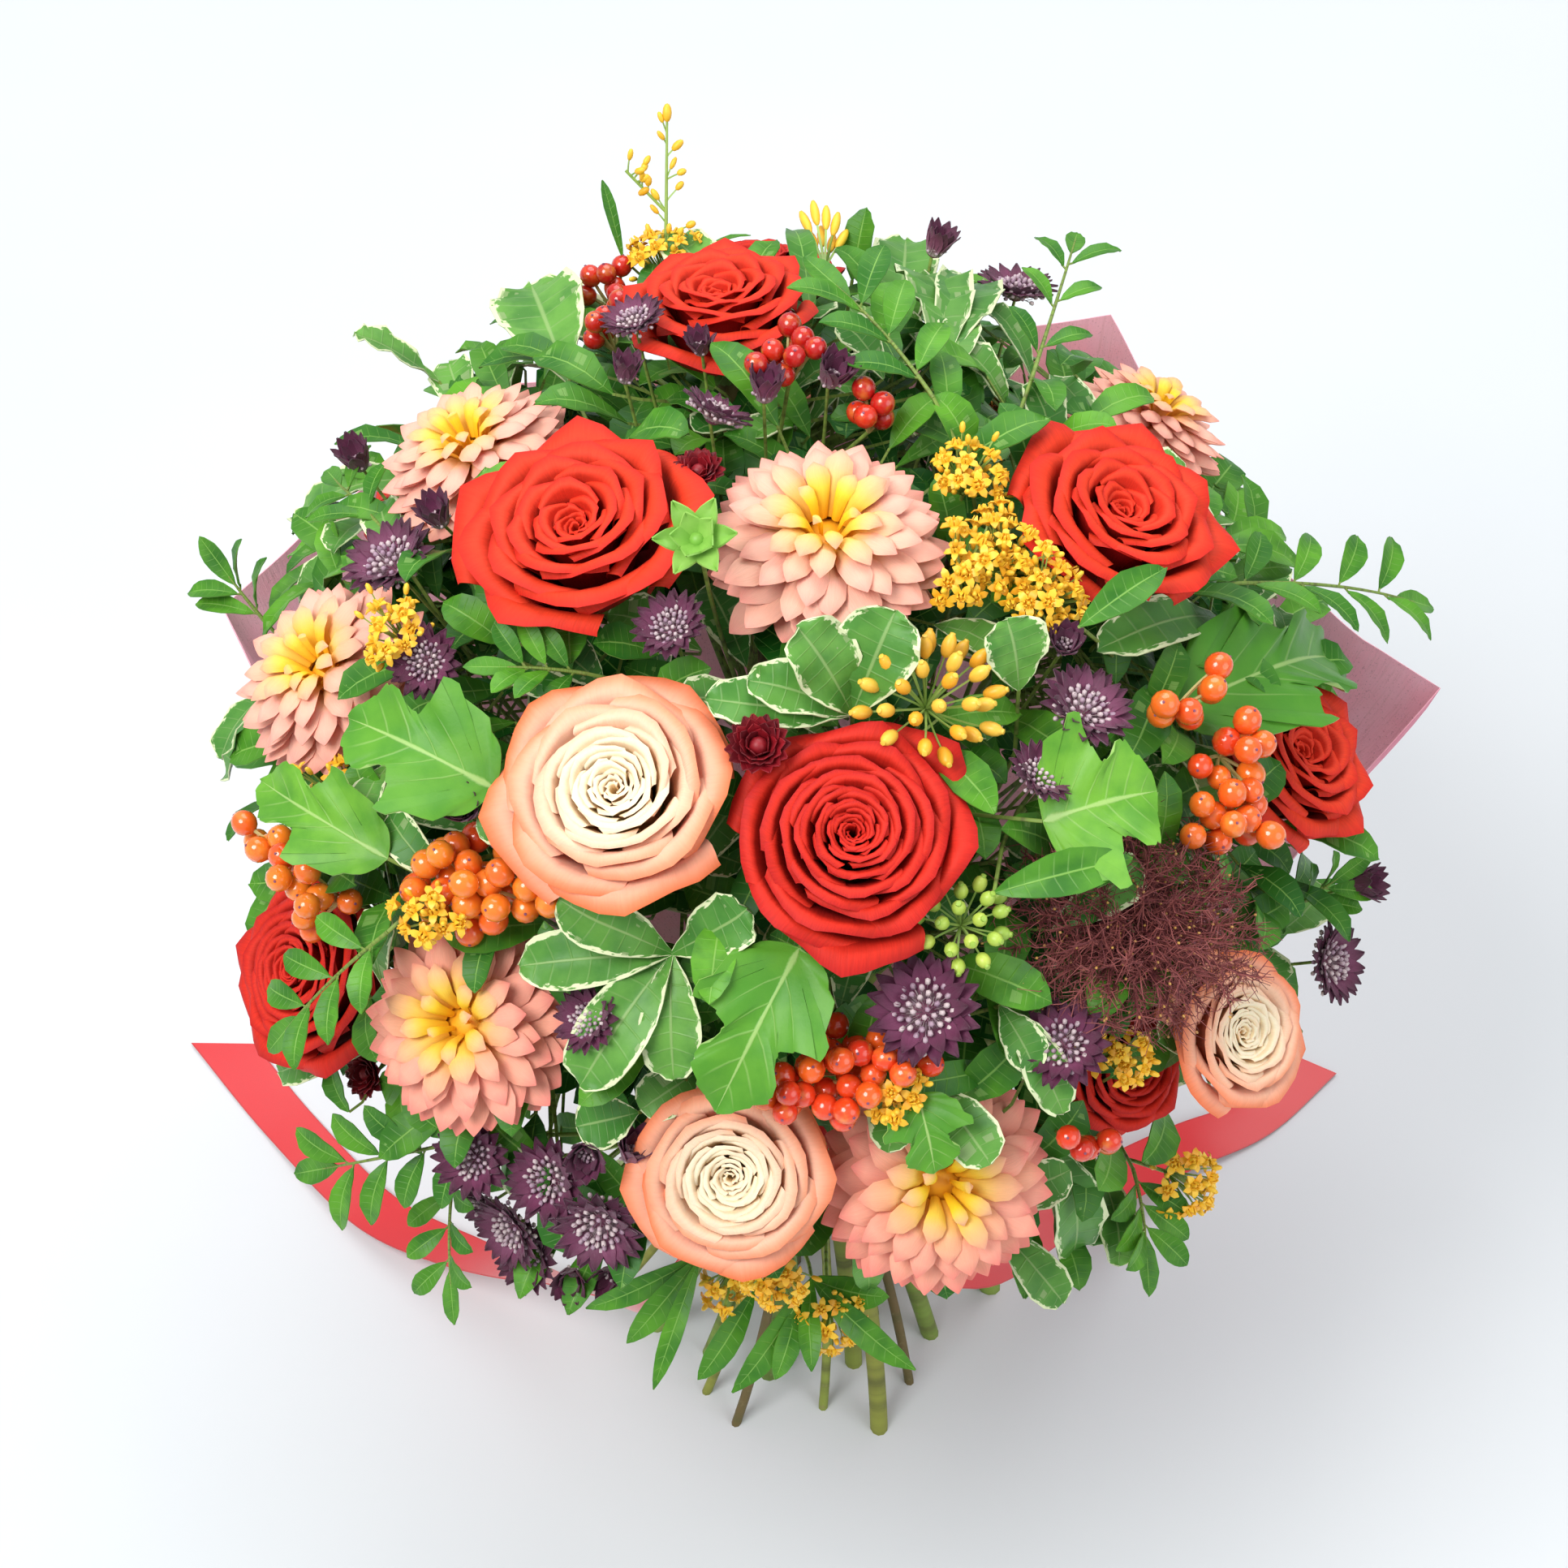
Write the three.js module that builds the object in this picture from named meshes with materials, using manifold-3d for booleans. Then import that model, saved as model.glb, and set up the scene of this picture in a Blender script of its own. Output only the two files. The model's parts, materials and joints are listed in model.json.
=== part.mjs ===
// A hand-tied bouquet of mixed autumn flowers that stands on its own cut stems. Millimetres, +Z up.
// The origin is the centre of the middle stem's cut end. The photograph's viewer looks along +Y.
import * as THREE from "three";
import { mergeVertices } from "three/addons/utils/BufferGeometryUtils.js";
import Module from "manifold-3d";

const wasm = await Module();
wasm.setup();

// Driving dimensions
const DOME = { radius: 172, halfHeight: 150, centreHeight: 300 }; // the rounded head of flowers
const TIE_HEIGHT = 140; // where the ribbon holds the stems together
const TIE_RADIUS = 24; // of the bundle there, about
const TIE_GAP = 0.32; // between one stem and the next
const FAN_HEIGHT = 150; // the flowers' axes all radiate from about this height
const FOOT_SPREAD = 4.2; // how much wider the bundle is at the floor than at the tie
const TWIST_BELOW = THREE.MathUtils.degToRad(20); // the spiral of the stems, from the tie to the floor
const TWIST_ABOVE = THREE.MathUtils.degToRad(25);
const SEAT_GAP = 0.3; // between a bloom and the hip that carries it
const ROOM = 0.3; // what each piece keeps free round itself
const RIBBON_WIDTH = 20;
const SHEET = 0.8; // thickness of paper and ribbon
const LEAF = 0.8; // thickness of a leaf
const GOLDEN = Math.PI * (3 - Math.sqrt(5));

// The viewpoint of the photograph. Pixels are those of its 1932 px frame.
const VIEW = { elevation: THREE.MathUtils.degToRad(51), distance: 1150, focalPx: 4442, domePx: [975, 945] };

const RED = { color: 0xb01318, roughness: 0.6 };
const PEACH = { color: 0xf3a67c, roughness: 0.6 };
const CORAL = { color: 0xf0876a, roughness: 0.6 };
const STEM_GREEN = { color: 0x5b7a2c, roughness: 0.6 };
const PLUM = { color: 0x5a2438, roughness: 0.7 };
const GOLD = { color: 0xf0a020, roughness: 0.6 };
const LIME = { color: 0xc9b83a, roughness: 0.6 };
const SMOKE = { color: 0x6b4450, roughness: 0.9 };
const LEAF_GREEN = { color: 0x4c7a30, roughness: 0.5 };
const PAPER_MAUVE = { color: 0xb98a9a, roughness: 0.9 };
const SATIN_RED = { color: 0xc8141c, roughness: 0.35 };

// Each bloom: where its face is seen in the photograph, or its bearing and slant in degrees where the
// photograph hides it, its width, and how far its face stands out of the dome.
const BLOOMS = [
  { name: "rose_red_front", kind: "rose", look: RED, at: [1050, 1028], width: 64, lift: 5 },
  { name: "rose_red_left", kind: "rose", look: RED, at: [708, 645], width: 64, lift: 9 },
  { name: "rose_red_right", kind: "rose", look: RED, at: [1385, 628], width: 60, lift: 9 },
  { name: "rose_red_top", kind: "rose", look: RED, at: [885, 362], width: 54, lift: 4 },
  { name: "rose_red_far_right", kind: "rose", look: RED, at: [1606, 925], width: 54, lift: -2 },
  { name: "rose_red_far_left", kind: "rose", look: RED, at: [368, 1195], width: 56, lift: 0 },
  { name: "rose_red_low_right", kind: "rose", look: RED, at: [1390, 1312], width: 40, lift: -18 },
  { name: "rose_peach_front", kind: "rose", look: PEACH, at: [757, 972], width: 66, lift: 5 },
  { name: "rose_peach_low", kind: "rose", look: PEACH, at: [900, 1450], width: 56, lift: 0 },
  { name: "rose_peach_side", kind: "rose", look: PEACH, at: [1530, 1272], width: 48, lift: 6 },
  { name: "dahlia_top", kind: "dahlia", look: CORAL, at: [1020, 640], width: 68, lift: 2 },
  { name: "dahlia_upper_left", kind: "dahlia", look: CORAL, at: [570, 535], width: 60, lift: -3 },
  { name: "dahlia_left", kind: "dahlia", look: CORAL, at: [382, 812], width: 64, lift: 0 },
  { name: "dahlia_low_left", kind: "dahlia", look: CORAL, at: [558, 1260], width: 64, lift: 0 },
  { name: "dahlia_low_right", kind: "dahlia", look: CORAL, at: [1165, 1462], width: 68, lift: 2 },
  { name: "dahlia_upper_right", kind: "dahlia", look: CORAL, at: [1432, 497], width: 54, lift: -6 },
  { name: "rose_red_back", kind: "rose", look: RED, bearing: 96, slant: 56, width: 60, lift: 0 },
  { name: "dahlia_back", kind: "dahlia", look: CORAL, bearing: 62, slant: 82, width: 60, lift: -12 },
  { name: "rose_peach_back", kind: "rose", look: PEACH, bearing: 99, slant: 86, width: 56, lift: -14 },
  { name: "rose_red_back_left", kind: "rose", look: RED, bearing: 137, slant: 82, width: 58, lift: -8 },
];

// Star heads of astrantia, each [x px, y px, width]. A head behind the dome is [bearing, slant, width, "back"].
const ASTRANTIA = [
  {
    name: "astrantia_upper",
    heads: [
      [820, 410, 15], [865, 436, 11], [875, 522, 19], [941, 495, 14], [1020, 474, 17], [770, 472, 12],
      [831, 780, 19], [1148, 316, 14],
    ],
  },
  {
    name: "astrantia_left",
    heads: [[490, 705, 25], [546, 648, 16], [447, 578, 17], [528, 815, 19], [575, 1000, 17], [117, 72, 19, "back"]],
  },
  {
    name: "astrantia_low_left",
    heads: [[742, 1500, 25], [640, 1508, 22], [588, 1425, 21], [725, 1415, 17], [706, 1565, 16], [732, 1258, 15]],
  },
  {
    name: "astrantia_right",
    heads: [
      [1142, 1247, 28], [1312, 1290, 23], [1330, 885, 24], [1275, 962, 18], [1310, 800, 13], [1250, 370, 22],
      [1627, 1185, 23], [1660, 1092, 15], [80, 74, 19, "back"],
    ],
  },
];

// Berries in bunches: each bunch runs from one photo point to another and spreads that many mm to each side.
const BERRIES = [
  {
    name: "berries_top",
    look: { color: 0xb5221c, roughness: 0.25 },
    bunches: [
      { from: [732, 338], to: [775, 322], size: 6.8, spread: 3, count: 3, lift: 4 },
      { from: [738, 395], to: [765, 356], size: 6.8, spread: 3, count: 3, lift: 0 },
      { from: [958, 430], to: [996, 412], size: 6.8, spread: 5, count: 6, lift: 10 },
      { from: [1050, 478], to: [1090, 512], size: 7, spread: 4, count: 2, lift: 0 },
    ],
  },
  {
    name: "berries_right",
    look: { color: 0xe0561c, roughness: 0.25 },
    bunches: [
      { from: [1442, 868], to: [1520, 842], size: 8.2, spread: 4, count: 4, lift: 12 },
      { from: [1546, 888], to: [1546, 940], size: 8.2, spread: 6, count: 4, lift: 12 },
      { from: [1528, 978], to: [1530, 1040], size: 8.2, spread: 7, count: 5, lift: 10 },
    ],
  },
  {
    name: "berries_left",
    look: { color: 0xe8741f, roughness: 0.25 },
    bunches: [
      { from: [535, 1062], to: [575, 1090], size: 8.4, spread: 11, count: 7, lift: 4 },
      { from: [592, 1082], to: [665, 1115], size: 8.4, spread: 8, count: 5, lift: 4 },
      { from: [304, 1012], to: [360, 1095], size: 8, spread: 5, count: 5, lift: 8 },
      { from: [385, 1070], to: [378, 1148], size: 8, spread: 6, count: 3, lift: 4 },
    ],
  },
  {
    name: "berries_front",
    look: { color: 0xd2331a, roughness: 0.25 },
    bunches: [
      { from: [975, 1325], to: [1045, 1318], size: 7.6, spread: 9, count: 6, lift: 3 },
      { from: [1060, 1300], to: [1125, 1316], size: 7.6, spread: 5, count: 4, lift: 3 },
      { from: [1322, 1402], to: [1386, 1416], size: 7.2, spread: 3, count: 3, lift: 6 },
    ],
  },
];

// Clusters of small florets, each { at, spread, count, lift }. One has a tall stalk of buds over it.
const BUTTERFLY_WEED = [
  {
    name: "butterfly_weed_right",
    clusters: [
      { at: [1192, 680], spread: 9, count: 5, lift: 6 },
      { at: [1250, 668], spread: 10, count: 6, lift: 8 },
      { at: [1290, 712], spread: 8, count: 5, lift: 10 },
      { at: [1205, 570], spread: 9, count: 4, lift: 4 },
    ],
  },
  {
    name: "butterfly_weed_left",
    clusters: [
      { at: [478, 772], spread: 6, count: 4, lift: 15 },
      { at: [394, 978], spread: 8, count: 5, lift: 0 },
      { at: [520, 1122], spread: 6, count: 3, lift: 13 },
      { at: [815, 292], spread: 9, count: 4, lift: 6, spireTip: [822, 135] },
    ],
  },
  {
    name: "butterfly_weed_low",
    clusters: [
      { at: [890, 1588], spread: 6, count: 3, lift: 0 },
      { at: [950, 1582], spread: 8, count: 5, lift: 2 },
      { at: [1030, 1640], spread: 8, count: 4, lift: 4 },
      { at: [1105, 1342], spread: 6, count: 3, lift: 8 },
      { at: [1392, 1300], spread: 7, count: 3, lift: 2 },
      { at: [1478, 1462], spread: 8, count: 4, lift: 2 },
    ],
  },
];

// Umbels of yellow buds on thin rays.
const UMBELS = {
  name: "umbels",
  umbels: [
    { at: [1150, 850], width: 38, count: 12, lift: 4 },
    { at: [1192, 1135], width: 25, count: 8, lift: 4 },
    { at: [861, 668], width: 22, count: 7, lift: 16 },
  ],
};

const PLUME = { name: "smoke_bush", at: [1392, 1142], width: 70, height: 52, threads: 28 };

// Foliage. Leaves on petioles of their own: kind, photo point of the base, of the tip, width, and lift off the
// dome at the tip. Whorls: where the leaves meet, and the tip, width and lift of each. Leaves behind the dome:
// kind, bearing, slant, width. Sprigs carry pairs of leaflets along a rib.
const FOLIAGE = [
  {
    name: "viburnum_leaves_right",
    leaves: [
      ["lobed", [1285, 1012], [1425, 975], 44, 14],
      ["lobed", [1440, 880], [1645, 812], 40, 4],
      ["lobed", [1130, 1348], [1152, 1445], 22, 16],
      ["oval", [1225, 1100], [1395, 1058], 13, 18],
      ["oval", [1500, 762], [1352, 800], 17, -2],
      ["oval", [1330, 772], [1437, 700], 11, 22],
    ],
    whorls: [],
    back: [["lobed", 30, 84, 44], ["lobed", 78, 60, 36], ["oval", 44, 66, 20], ["oval", 80, 82, 24]],
    sprigs: [
      { from: [1590, 1120], to: [1648, 1082], pairs: 2, leaflet: 15, lift: 0 },
      { from: [1500, 720], to: [1742, 742], pairs: 4, leaflet: 19, lift: 4 },
      { from: [1396, 1440], to: [1412, 1535], pairs: 3, leaflet: 17, lift: 0 },
    ],
  },
  {
    name: "viburnum_leaves_left",
    leaves: [
      ["lobed", [610, 972], [430, 885], 36, 16],
      ["lobed", [478, 1058], [322, 962], 26, 12],
      ["oval", [540, 470], [436, 412], 17, 2],
      ["oval", [336, 850], [272, 935], 16, -10],
    ],
    whorls: [],
    back: [["lobed", 118, 86, 38], ["lobed", 160, 84, 36], ["oval", 148, 62, 22], ["oval", 172, 78, 20]],
    sprigs: [
      { from: [478, 1148], to: [352, 1270], pairs: 3, leaflet: 18, lift: 19 },
      { from: [330, 770], to: [282, 710], pairs: 2, leaflet: 17, lift: -4 },
      { from: [470, 650], to: [412, 590], pairs: 2, leaflet: 16, lift: 0 },
    ],
  },
  {
    name: "pittosporum_low",
    leaves: [
      ["lobed", [985, 1168], [882, 1370], 34, 12],
      ["oval", [1335, 1425], [1346, 1535], 17, -4],
      ["oval", [800, 1380], [710, 1388], 16, 2],
    ],
    whorls: [
      {
        at: [828, 1175],
        tips: [
          [[688, 1108], 17, 6], [[640, 1190], 18, 4], [[715, 1338], 21, 8], [[830, 1330], 18, 2],
          [[960, 1112], 18, 2],
        ],
      },
      { at: [1232, 1240], tips: [[[1275, 1318], 13, 4], [[1310, 1372], 14, 8]] },
    ],
    back: [],
    sprigs: [],
  },
  {
    name: "pittosporum_top",
    leaves: [
      ["oval", [700, 470], [655, 352], 30, -2],
      ["oval", [1050, 345], [1068, 256], 11, 4],
      ["oval", [1255, 850], [1240, 762], 21, 10],
    ],
    whorls: [
      {
        at: [1050, 880],
        tips: [
          [[982, 772], 22, 15], [[1104, 752], 24, 14], [[920, 838], 16, 4], [[862, 880], 16, 2],
        ],
      },
      { at: [1165, 440], tips: [[[1140, 330], 24, -2], [[1200, 350], 22, -6]] },
    ],
    back: [["oval", 118, 44, 24], ["oval", 70, 40, 22], ["oval", 100, 34, 20]],
    sprigs: [
      { from: [1150, 490], to: [1030, 352], pairs: 3, leaflet: 20, lift: 10 },
      { from: [1270, 470], to: [1325, 295], pairs: 3, leaflet: 15, lift: 4 },
      { from: [722, 830], to: [625, 822], pairs: 3, leaflet: 14, lift: 0 },
    ],
  },
  {
    name: "strap_leaves_low",
    leaves: [],
    whorls: [
      { at: [862, 1548], tips: [[[722, 1612], 11, 2], [[772, 1655], 12, 6], [[805, 1712], 9, 4]] },
      {
        at: [1000, 1575],
        tips: [[[902, 1716], 13, 6], [[1128, 1688], 13, 10], [[1095, 1598], 16, -2], [[1000, 1690], 10, 2]],
      },
    ],
    back: [],
    sprigs: [
      { from: [600, 1400], to: [398, 1440], pairs: 4, leaflet: 19, lift: -2 },
      { from: [560, 1440], to: [556, 1585], pairs: 3, leaflet: 15, lift: -6 },
    ],
  },
];

// Corners of the wrapping paper's edge: bearing, radius and height, from the right round the back to the left.
const PAPER_CORNERS = [
  { bearing: -28, radius: 120, height: 205 },
  { bearing: 15, radius: 223, height: 270 },
  { bearing: 38, radius: 196, height: 276 },
  { bearing: 58, radius: 205, height: 330 },
  { bearing: 92, radius: 194, height: 294 },
  { bearing: 122, radius: 208, height: 293 },
  { bearing: 156, radius: 212, height: 280 },
  { bearing: 204, radius: 120, height: 205 },
];
const PAPER_PLEATS = 3; // folds between one corner and the next

// The ribbon's tails, from the knot to the cut end, and how far each stretch stands on edge, in degrees.
const TAIL_LEFT = [
  [-8, -38, 136, 80], [-28, -56, 112, 74], [-54, -62, 72, 64], [-88, -30, 34, 40],
  [-126, -5, 14, 16], [-160, 18, 5, 5], [-194, 56, 1, 0], [-222, 92, 1, 0],
];
const TAIL_RIGHT = [
  [4, -40, 136, 80], [32, -56, 112, 74], [68, -46, 74, 62], [98, -14, 38, 44],
  [128, 18, 15, 20], [155, 42, 5, 6], [182, 64, 1, 0], [208, 90, 1, 0],
];

const UP = new THREE.Vector3(0, 0, 1);
const CENTRE = new THREE.Vector3(0, 0, DOME.centreHeight);
const FAN = new THREE.Vector3(0, 0, FAN_HEIGHT);
const point = (x, y, z) => new THREE.Vector3(x, y, z);
const mix = (a, b, t) => a.clone().lerp(b, t);
const atBearing = (degrees, radius, height) => {
  const turn = THREE.MathUtils.degToRad(degrees);
  return point(radius * Math.cos(turn), radius * Math.sin(turn), height);
};

// Places read from the photograph

const viewBack = point(0, -Math.cos(VIEW.elevation), Math.sin(VIEW.elevation));
const viewUp = point(0, Math.sin(VIEW.elevation), Math.cos(VIEW.elevation));
const eye = CENTRE.clone().addScaledVector(viewBack, VIEW.distance);

// The point of the dome, grown by lift, under a photo point, or the nearest where the dome is missed.
function seen([px, py], lift = 0) {
  const ray = viewBack.clone().multiplyScalar(-VIEW.focalPx)
    .addScaledVector(point(1, 0, 0), px - VIEW.domePx[0])
    .addScaledVector(viewUp, VIEW.domePx[1] - py)
    .normalize();
  const dome = point(DOME.radius + lift, DOME.radius + lift, DOME.halfHeight + lift);
  const start = eye.clone().sub(CENTRE).divide(dome);
  const way = ray.clone().divide(dome);
  const [a, b, c] = [way.dot(way), start.dot(way), start.dot(start) - 1];
  const inside = b * b - a * c;
  return eye.clone().addScaledVector(ray, inside > 0 ? (-b - Math.sqrt(inside)) / a : -b / a);
}

// A point of the dome by its bearing and its slant from the vertical
function behind(bearing, slant, lift = 0) {
  const lean = THREE.MathUtils.degToRad(slant);
  const height = DOME.centreHeight + (DOME.halfHeight + lift) * Math.cos(lean);
  return atBearing(bearing, (DOME.radius + lift) * Math.sin(lean), height);
}

const outward = (place) => place.clone().sub(FAN).normalize();

// Solids from three.js geometry

function solidOf(geometry) {
  const bare = new THREE.BufferGeometry().setAttribute("position", geometry.getAttribute("position"));
  bare.setIndex(geometry.index);
  const merged = mergeVertices(bare, 1e-4);
  const faces = [];
  for (let i = 0; i < merged.index.count; i += 3) {
    const [a, b, c] = merged.index.array.slice(i, i + 3);
    if (a !== b && b !== c && c !== a) faces.push([a, b, c]);
  }
  const make = (list) => new wasm.Manifold(new wasm.Mesh({
    numProp: 3,
    vertProperties: Float32Array.from(merged.attributes.position.array),
    triVerts: Uint32Array.from(list.flat()),
  }));
  const made = make(faces);
  return made.volume() < 0 ? make(faces.map(([a, b, c]) => [a, c, b])) : made;
}

function geometryOf(solid) {
  const mesh = solid.getMesh();
  return new THREE.BufferGeometry()
    .setAttribute("position", new THREE.BufferAttribute(mesh.vertProperties, 3))
    .setIndex(new THREE.BufferAttribute(mesh.triVerts, 1));
}

const indexed = (points, faces) => new THREE.BufferGeometry().setFromPoints(points).setIndex(faces.flat());

const fuse = (solids) => wasm.Manifold.union(solids);

// Stands a shape drawn along +Z on a place, along an axis, turned about it by spin.
function stand(place, axis, spin = 0) {
  const turn = new THREE.Quaternion().setFromUnitVectors(UP, axis);
  turn.multiply(new THREE.Quaternion().setFromAxisAngle(UP, spin));
  return new THREE.Matrix4().compose(place, turn, point(1, 1, 1));
}

// A tube whose sections stand on the given points
function tube(points, radius, sides) {
  const ring = new THREE.Shape();
  for (let i = 0; i < sides; i++) {
    const turn = (2 * Math.PI * i) / sides;
    ring[i ? "lineTo" : "moveTo"](radius * Math.cos(turn), radius * Math.sin(turn));
  }
  const extrudePath = new THREE.CatmullRomCurve3(points);
  extrudePath.getPointAt = extrudePath.getPoint;
  extrudePath.getTangentAt = extrudePath.getTangent;
  return solidOf(new THREE.ExtrudeGeometry(ring, { steps: points.length - 1, bevelEnabled: false, extrudePath }));
}

function turned(profile, sides, frame) {
  const outline = profile.map(([r, z]) => new THREE.Vector2(r, z));
  return solidOf(new THREE.LatheGeometry(outline, sides).rotateX(Math.PI / 2).applyMatrix4(frame));
}

// The triangles between rows of points. A row may be one point, where the skin comes to a tip.
function skin(rows) {
  const faces = [];
  let start = 0;
  for (let j = 0; j + 1 < rows.length; j++) {
    const [low, high] = [rows[j].length, rows[j + 1].length];
    const above = start + low;
    for (let i = 0; i + 1 < Math.max(low, high); i++) {
      const [a, b] = low > 1 ? [start + i, start + i + 1] : [start, start];
      const [c, d] = high > 1 ? [above + i + 1, above + i] : [above, above];
      if (a !== b) faces.push([a, b, c]);
      if (c !== d) faces.push([a, c, d]);
    }
    start = above;
  }
  return { points: rows.flat(), faces };
}

// A skin made solid: the same triangles on both sides, and a rim between them
function thicken({ points, faces }, thickness) {
  const middle = indexed(points, faces);
  middle.computeVertexNormals();
  const normal = (i) => new THREE.Vector3().fromBufferAttribute(middle.attributes.normal, i);
  const front = points.map((p, i) => p.clone().addScaledVector(normal(i), thickness / 2));
  const back = points.map((p, i) => p.clone().addScaledVector(normal(i), -thickness / 2));
  const half = points.length;
  const edges = faces.flatMap(([a, b, c]) => [[a, b], [b, c], [c, a]]);
  const known = new Set(edges.map(([a, b]) => `${a} ${b}`));
  const all = faces.flatMap(([a, b, c]) => [[a, b, c], [half + a, half + c, half + b]]);
  for (const [a, b] of edges) {
    if (!known.has(`${b} ${a}`)) all.push([b, a, half + a], [b, half + a, half + b]);
  }
  return solidOf(indexed([...front, ...back], all));
}

// A solid turned about its axis whose even and odd columns may differ, so that its rims are rings of petals.
// A row is [radius, height], or [radius, height, radius, height] for even and odd columns. Both ends are on
// the axis.
function crown(rows, columns, size, frame) {
  const points = rows.flatMap(([even, evenHeight, odd = even, oddHeight = evenHeight]) => (
    Array.from({ length: even ? columns : 1 }, (_, n) => {
      const [radius, height] = n % 2 ? [odd, oddHeight] : [even, evenHeight];
      const turn = (2 * Math.PI * n) / columns;
      return point(radius * Math.cos(turn), radius * Math.sin(turn), height).multiplyScalar(size);
    })));
  const faces = [];
  const last = points.length - 1;
  for (let n = 0; n < columns; n++) {
    const next = (n + 1) % columns;
    faces.push([0, 1 + next, 1 + n], [last, last - columns + n, last - columns + next]);
    for (let start = 1; start + columns < last; start += columns) {
      const [a, b, c, d] = [start + n, start + next, start + columns + next, start + columns + n];
      if (n % 2) faces.push([a, b, d], [b, c, d]);
      else faces.push([a, b, c], [a, c, d]);
    }
  }
  return solidOf(indexed(points.map((p) => p.applyMatrix4(frame)), faces));
}

// A pointed blade: root and tip as corners, and a cupped diamond across its widest place
function kite(root, tip, widest, up, width, thickness, cup) {
  const way = tip.clone().sub(root).normalize();
  const side = way.clone().cross(up).normalize();
  const lift = side.clone().cross(way).normalize();
  const middle = mix(root, tip, widest);
  const corners = [
    root,
    tip,
    middle.clone().addScaledVector(side, width / 2).addScaledVector(lift, cup),
    middle.clone().addScaledVector(lift, thickness / 2),
    middle.clone().addScaledVector(side, -width / 2).addScaledVector(lift, cup),
    middle.clone().addScaledVector(lift, -thickness / 2),
  ];
  const faces = [];
  for (const [a, b] of [[2, 3], [3, 4], [4, 5], [5, 2]]) faces.push([0, b, a], [1, a, b]);
  return solidOf(indexed(corners, faces));
}

// Blooms, drawn along +Z from the hip, in bloom radii. Each rim row is a ring of petals, with the gaps between
// them over the middles of the ring below.

const ROSE = {
  columns: 10,
  rows: [
    [0, 0], [0.28, 0.02], [0.78, 0.4], [1.06, 0.84, 0.88, 0.62], [0.6, 0.6],
    [0.6, 0.88, 0.7, 1.06], [0.36, 0.72], [0.36, 1.2, 0.28, 1.06], [0, 0.95],
  ],
  room: [[0, 0], [0.34, 0], [0.9, 0.36], [1.12, 0.78], [1.1, 0.92], [0.8, 1.14], [0.4, 1.28], [0, 1.28]],
  depth: 0.9, // hip to face
  balls: { count: 6, ring: 0.62, size: 0.46, up: 0.76 }, // what stands for the bloom when ways are sought
};

const DAHLIA = {
  columns: 14,
  rows: [
    [0, 0], [0.34, 0.02], [1.02, 0.1, 0.7, 0.2], [0.4, 0.24], [0.6, 0.3, 0.92, 0.4], [0.3, 0.36],
    [0.7, 0.68, 0.46, 0.5], [0.22, 0.44], [0.24, 0.58, 0.36, 0.84], [0, 0.5],
  ],
  room: [[0, 0], [0.36, -0.01], [1.08, 0.02], [1.1, 0.3], [0.9, 0.74], [0.4, 0.94], [0, 0.94]],
  depth: 0.55,
  balls: { count: 8, ring: 0.76, size: 0.34, up: 0.24 },
};

const BLOOM_KINDS = { rose: ROSE, dahlia: DAHLIA };

// Ways for stems: everything that a stem must pass clear of is kept as fat straight stretches.

const taken = []; // { from, to, radius, owner }

// The distance between two straight stretches
function gapBetween(a, b, c, d) {
  const [u, v, w] = [b.clone().sub(a), d.clone().sub(c), a.clone().sub(c)];
  const [uu, uv, vv, uw, vw] = [u.dot(u), u.dot(v), v.dot(v), u.dot(w), v.dot(w)];
  const spread = uu * vv - uv * uv;
  const clamp = THREE.MathUtils.clamp;
  let s = spread > 1e-9 ? clamp((uv * vw - vv * uw) / spread, 0, 1) : 0;
  const t = vv > 1e-9 ? clamp((uv * s + vw) / vv, 0, 1) : 0;
  s = uu > 1e-9 ? clamp((uv * t - uw) / uu, 0, 1) : 0;
  return w.addScaledVector(u, s).addScaledVector(v, -t).length();
}

function clearance(points, radius, owner) {
  let least = Infinity;
  for (const t of taken) {
    if (t.owner === owner) continue;
    for (let n = 0; n + 1 < points.length; n++) {
      least = Math.min(least, gapBetween(points[n], points[n + 1], t.from, t.to) - t.radius - radius);
    }
    if (least < -radius) break;
  }
  return least;
}

function take(points, radius, owner) {
  for (let n = 0; n + 1 < points.length; n++) taken.push({ from: points[n], to: points[n + 1], radius, owner });
}

const BOWS = [0, 0.05, 0.1, 0.15, 0.2, 0.27, 0.35, 0.45];

// The points of a curve from one place to another that bows round what is in its way, as little as it can.
// The bow may lie along the whole way or nearer to one end.
function freeWay(from, leave, to, arrive, radius, owner, parts) {
  const span = from.distanceTo(to);
  const way = to.clone().sub(from).normalize();
  const side = way.clone().cross(Math.abs(way.z) < 0.9 ? UP : point(1, 0, 0)).normalize();
  const other = way.clone().cross(side);
  let best = { clear: -Infinity };
  for (const bow of BOWS) {
    for (let turn = 0; turn < (bow ? 12 : 1); turn++) {
      const angle = (2 * Math.PI * turn) / 12;
      const shift = side.clone().multiplyScalar(Math.cos(angle) * bow * span)
        .addScaledVector(other, Math.sin(angle) * bow * span);
      for (const [low, high] of [[1, 1], [1, 0], [0, 1]]) {
        const first = from.clone().addScaledVector(leave, 0.36 * span).addScaledVector(shift, low);
        const second = to.clone().addScaledVector(arrive, -0.36 * span).addScaledVector(shift, high);
        const points = new THREE.CubicBezierCurve3(from, first, second, to).getPoints(parts);
        const clear = clearance(points, radius, owner);
        if (clear > best.clear) best = { points, clear };
        if (clear > ROOM) return best;
      }
    }
  }
  return best;
}

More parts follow.
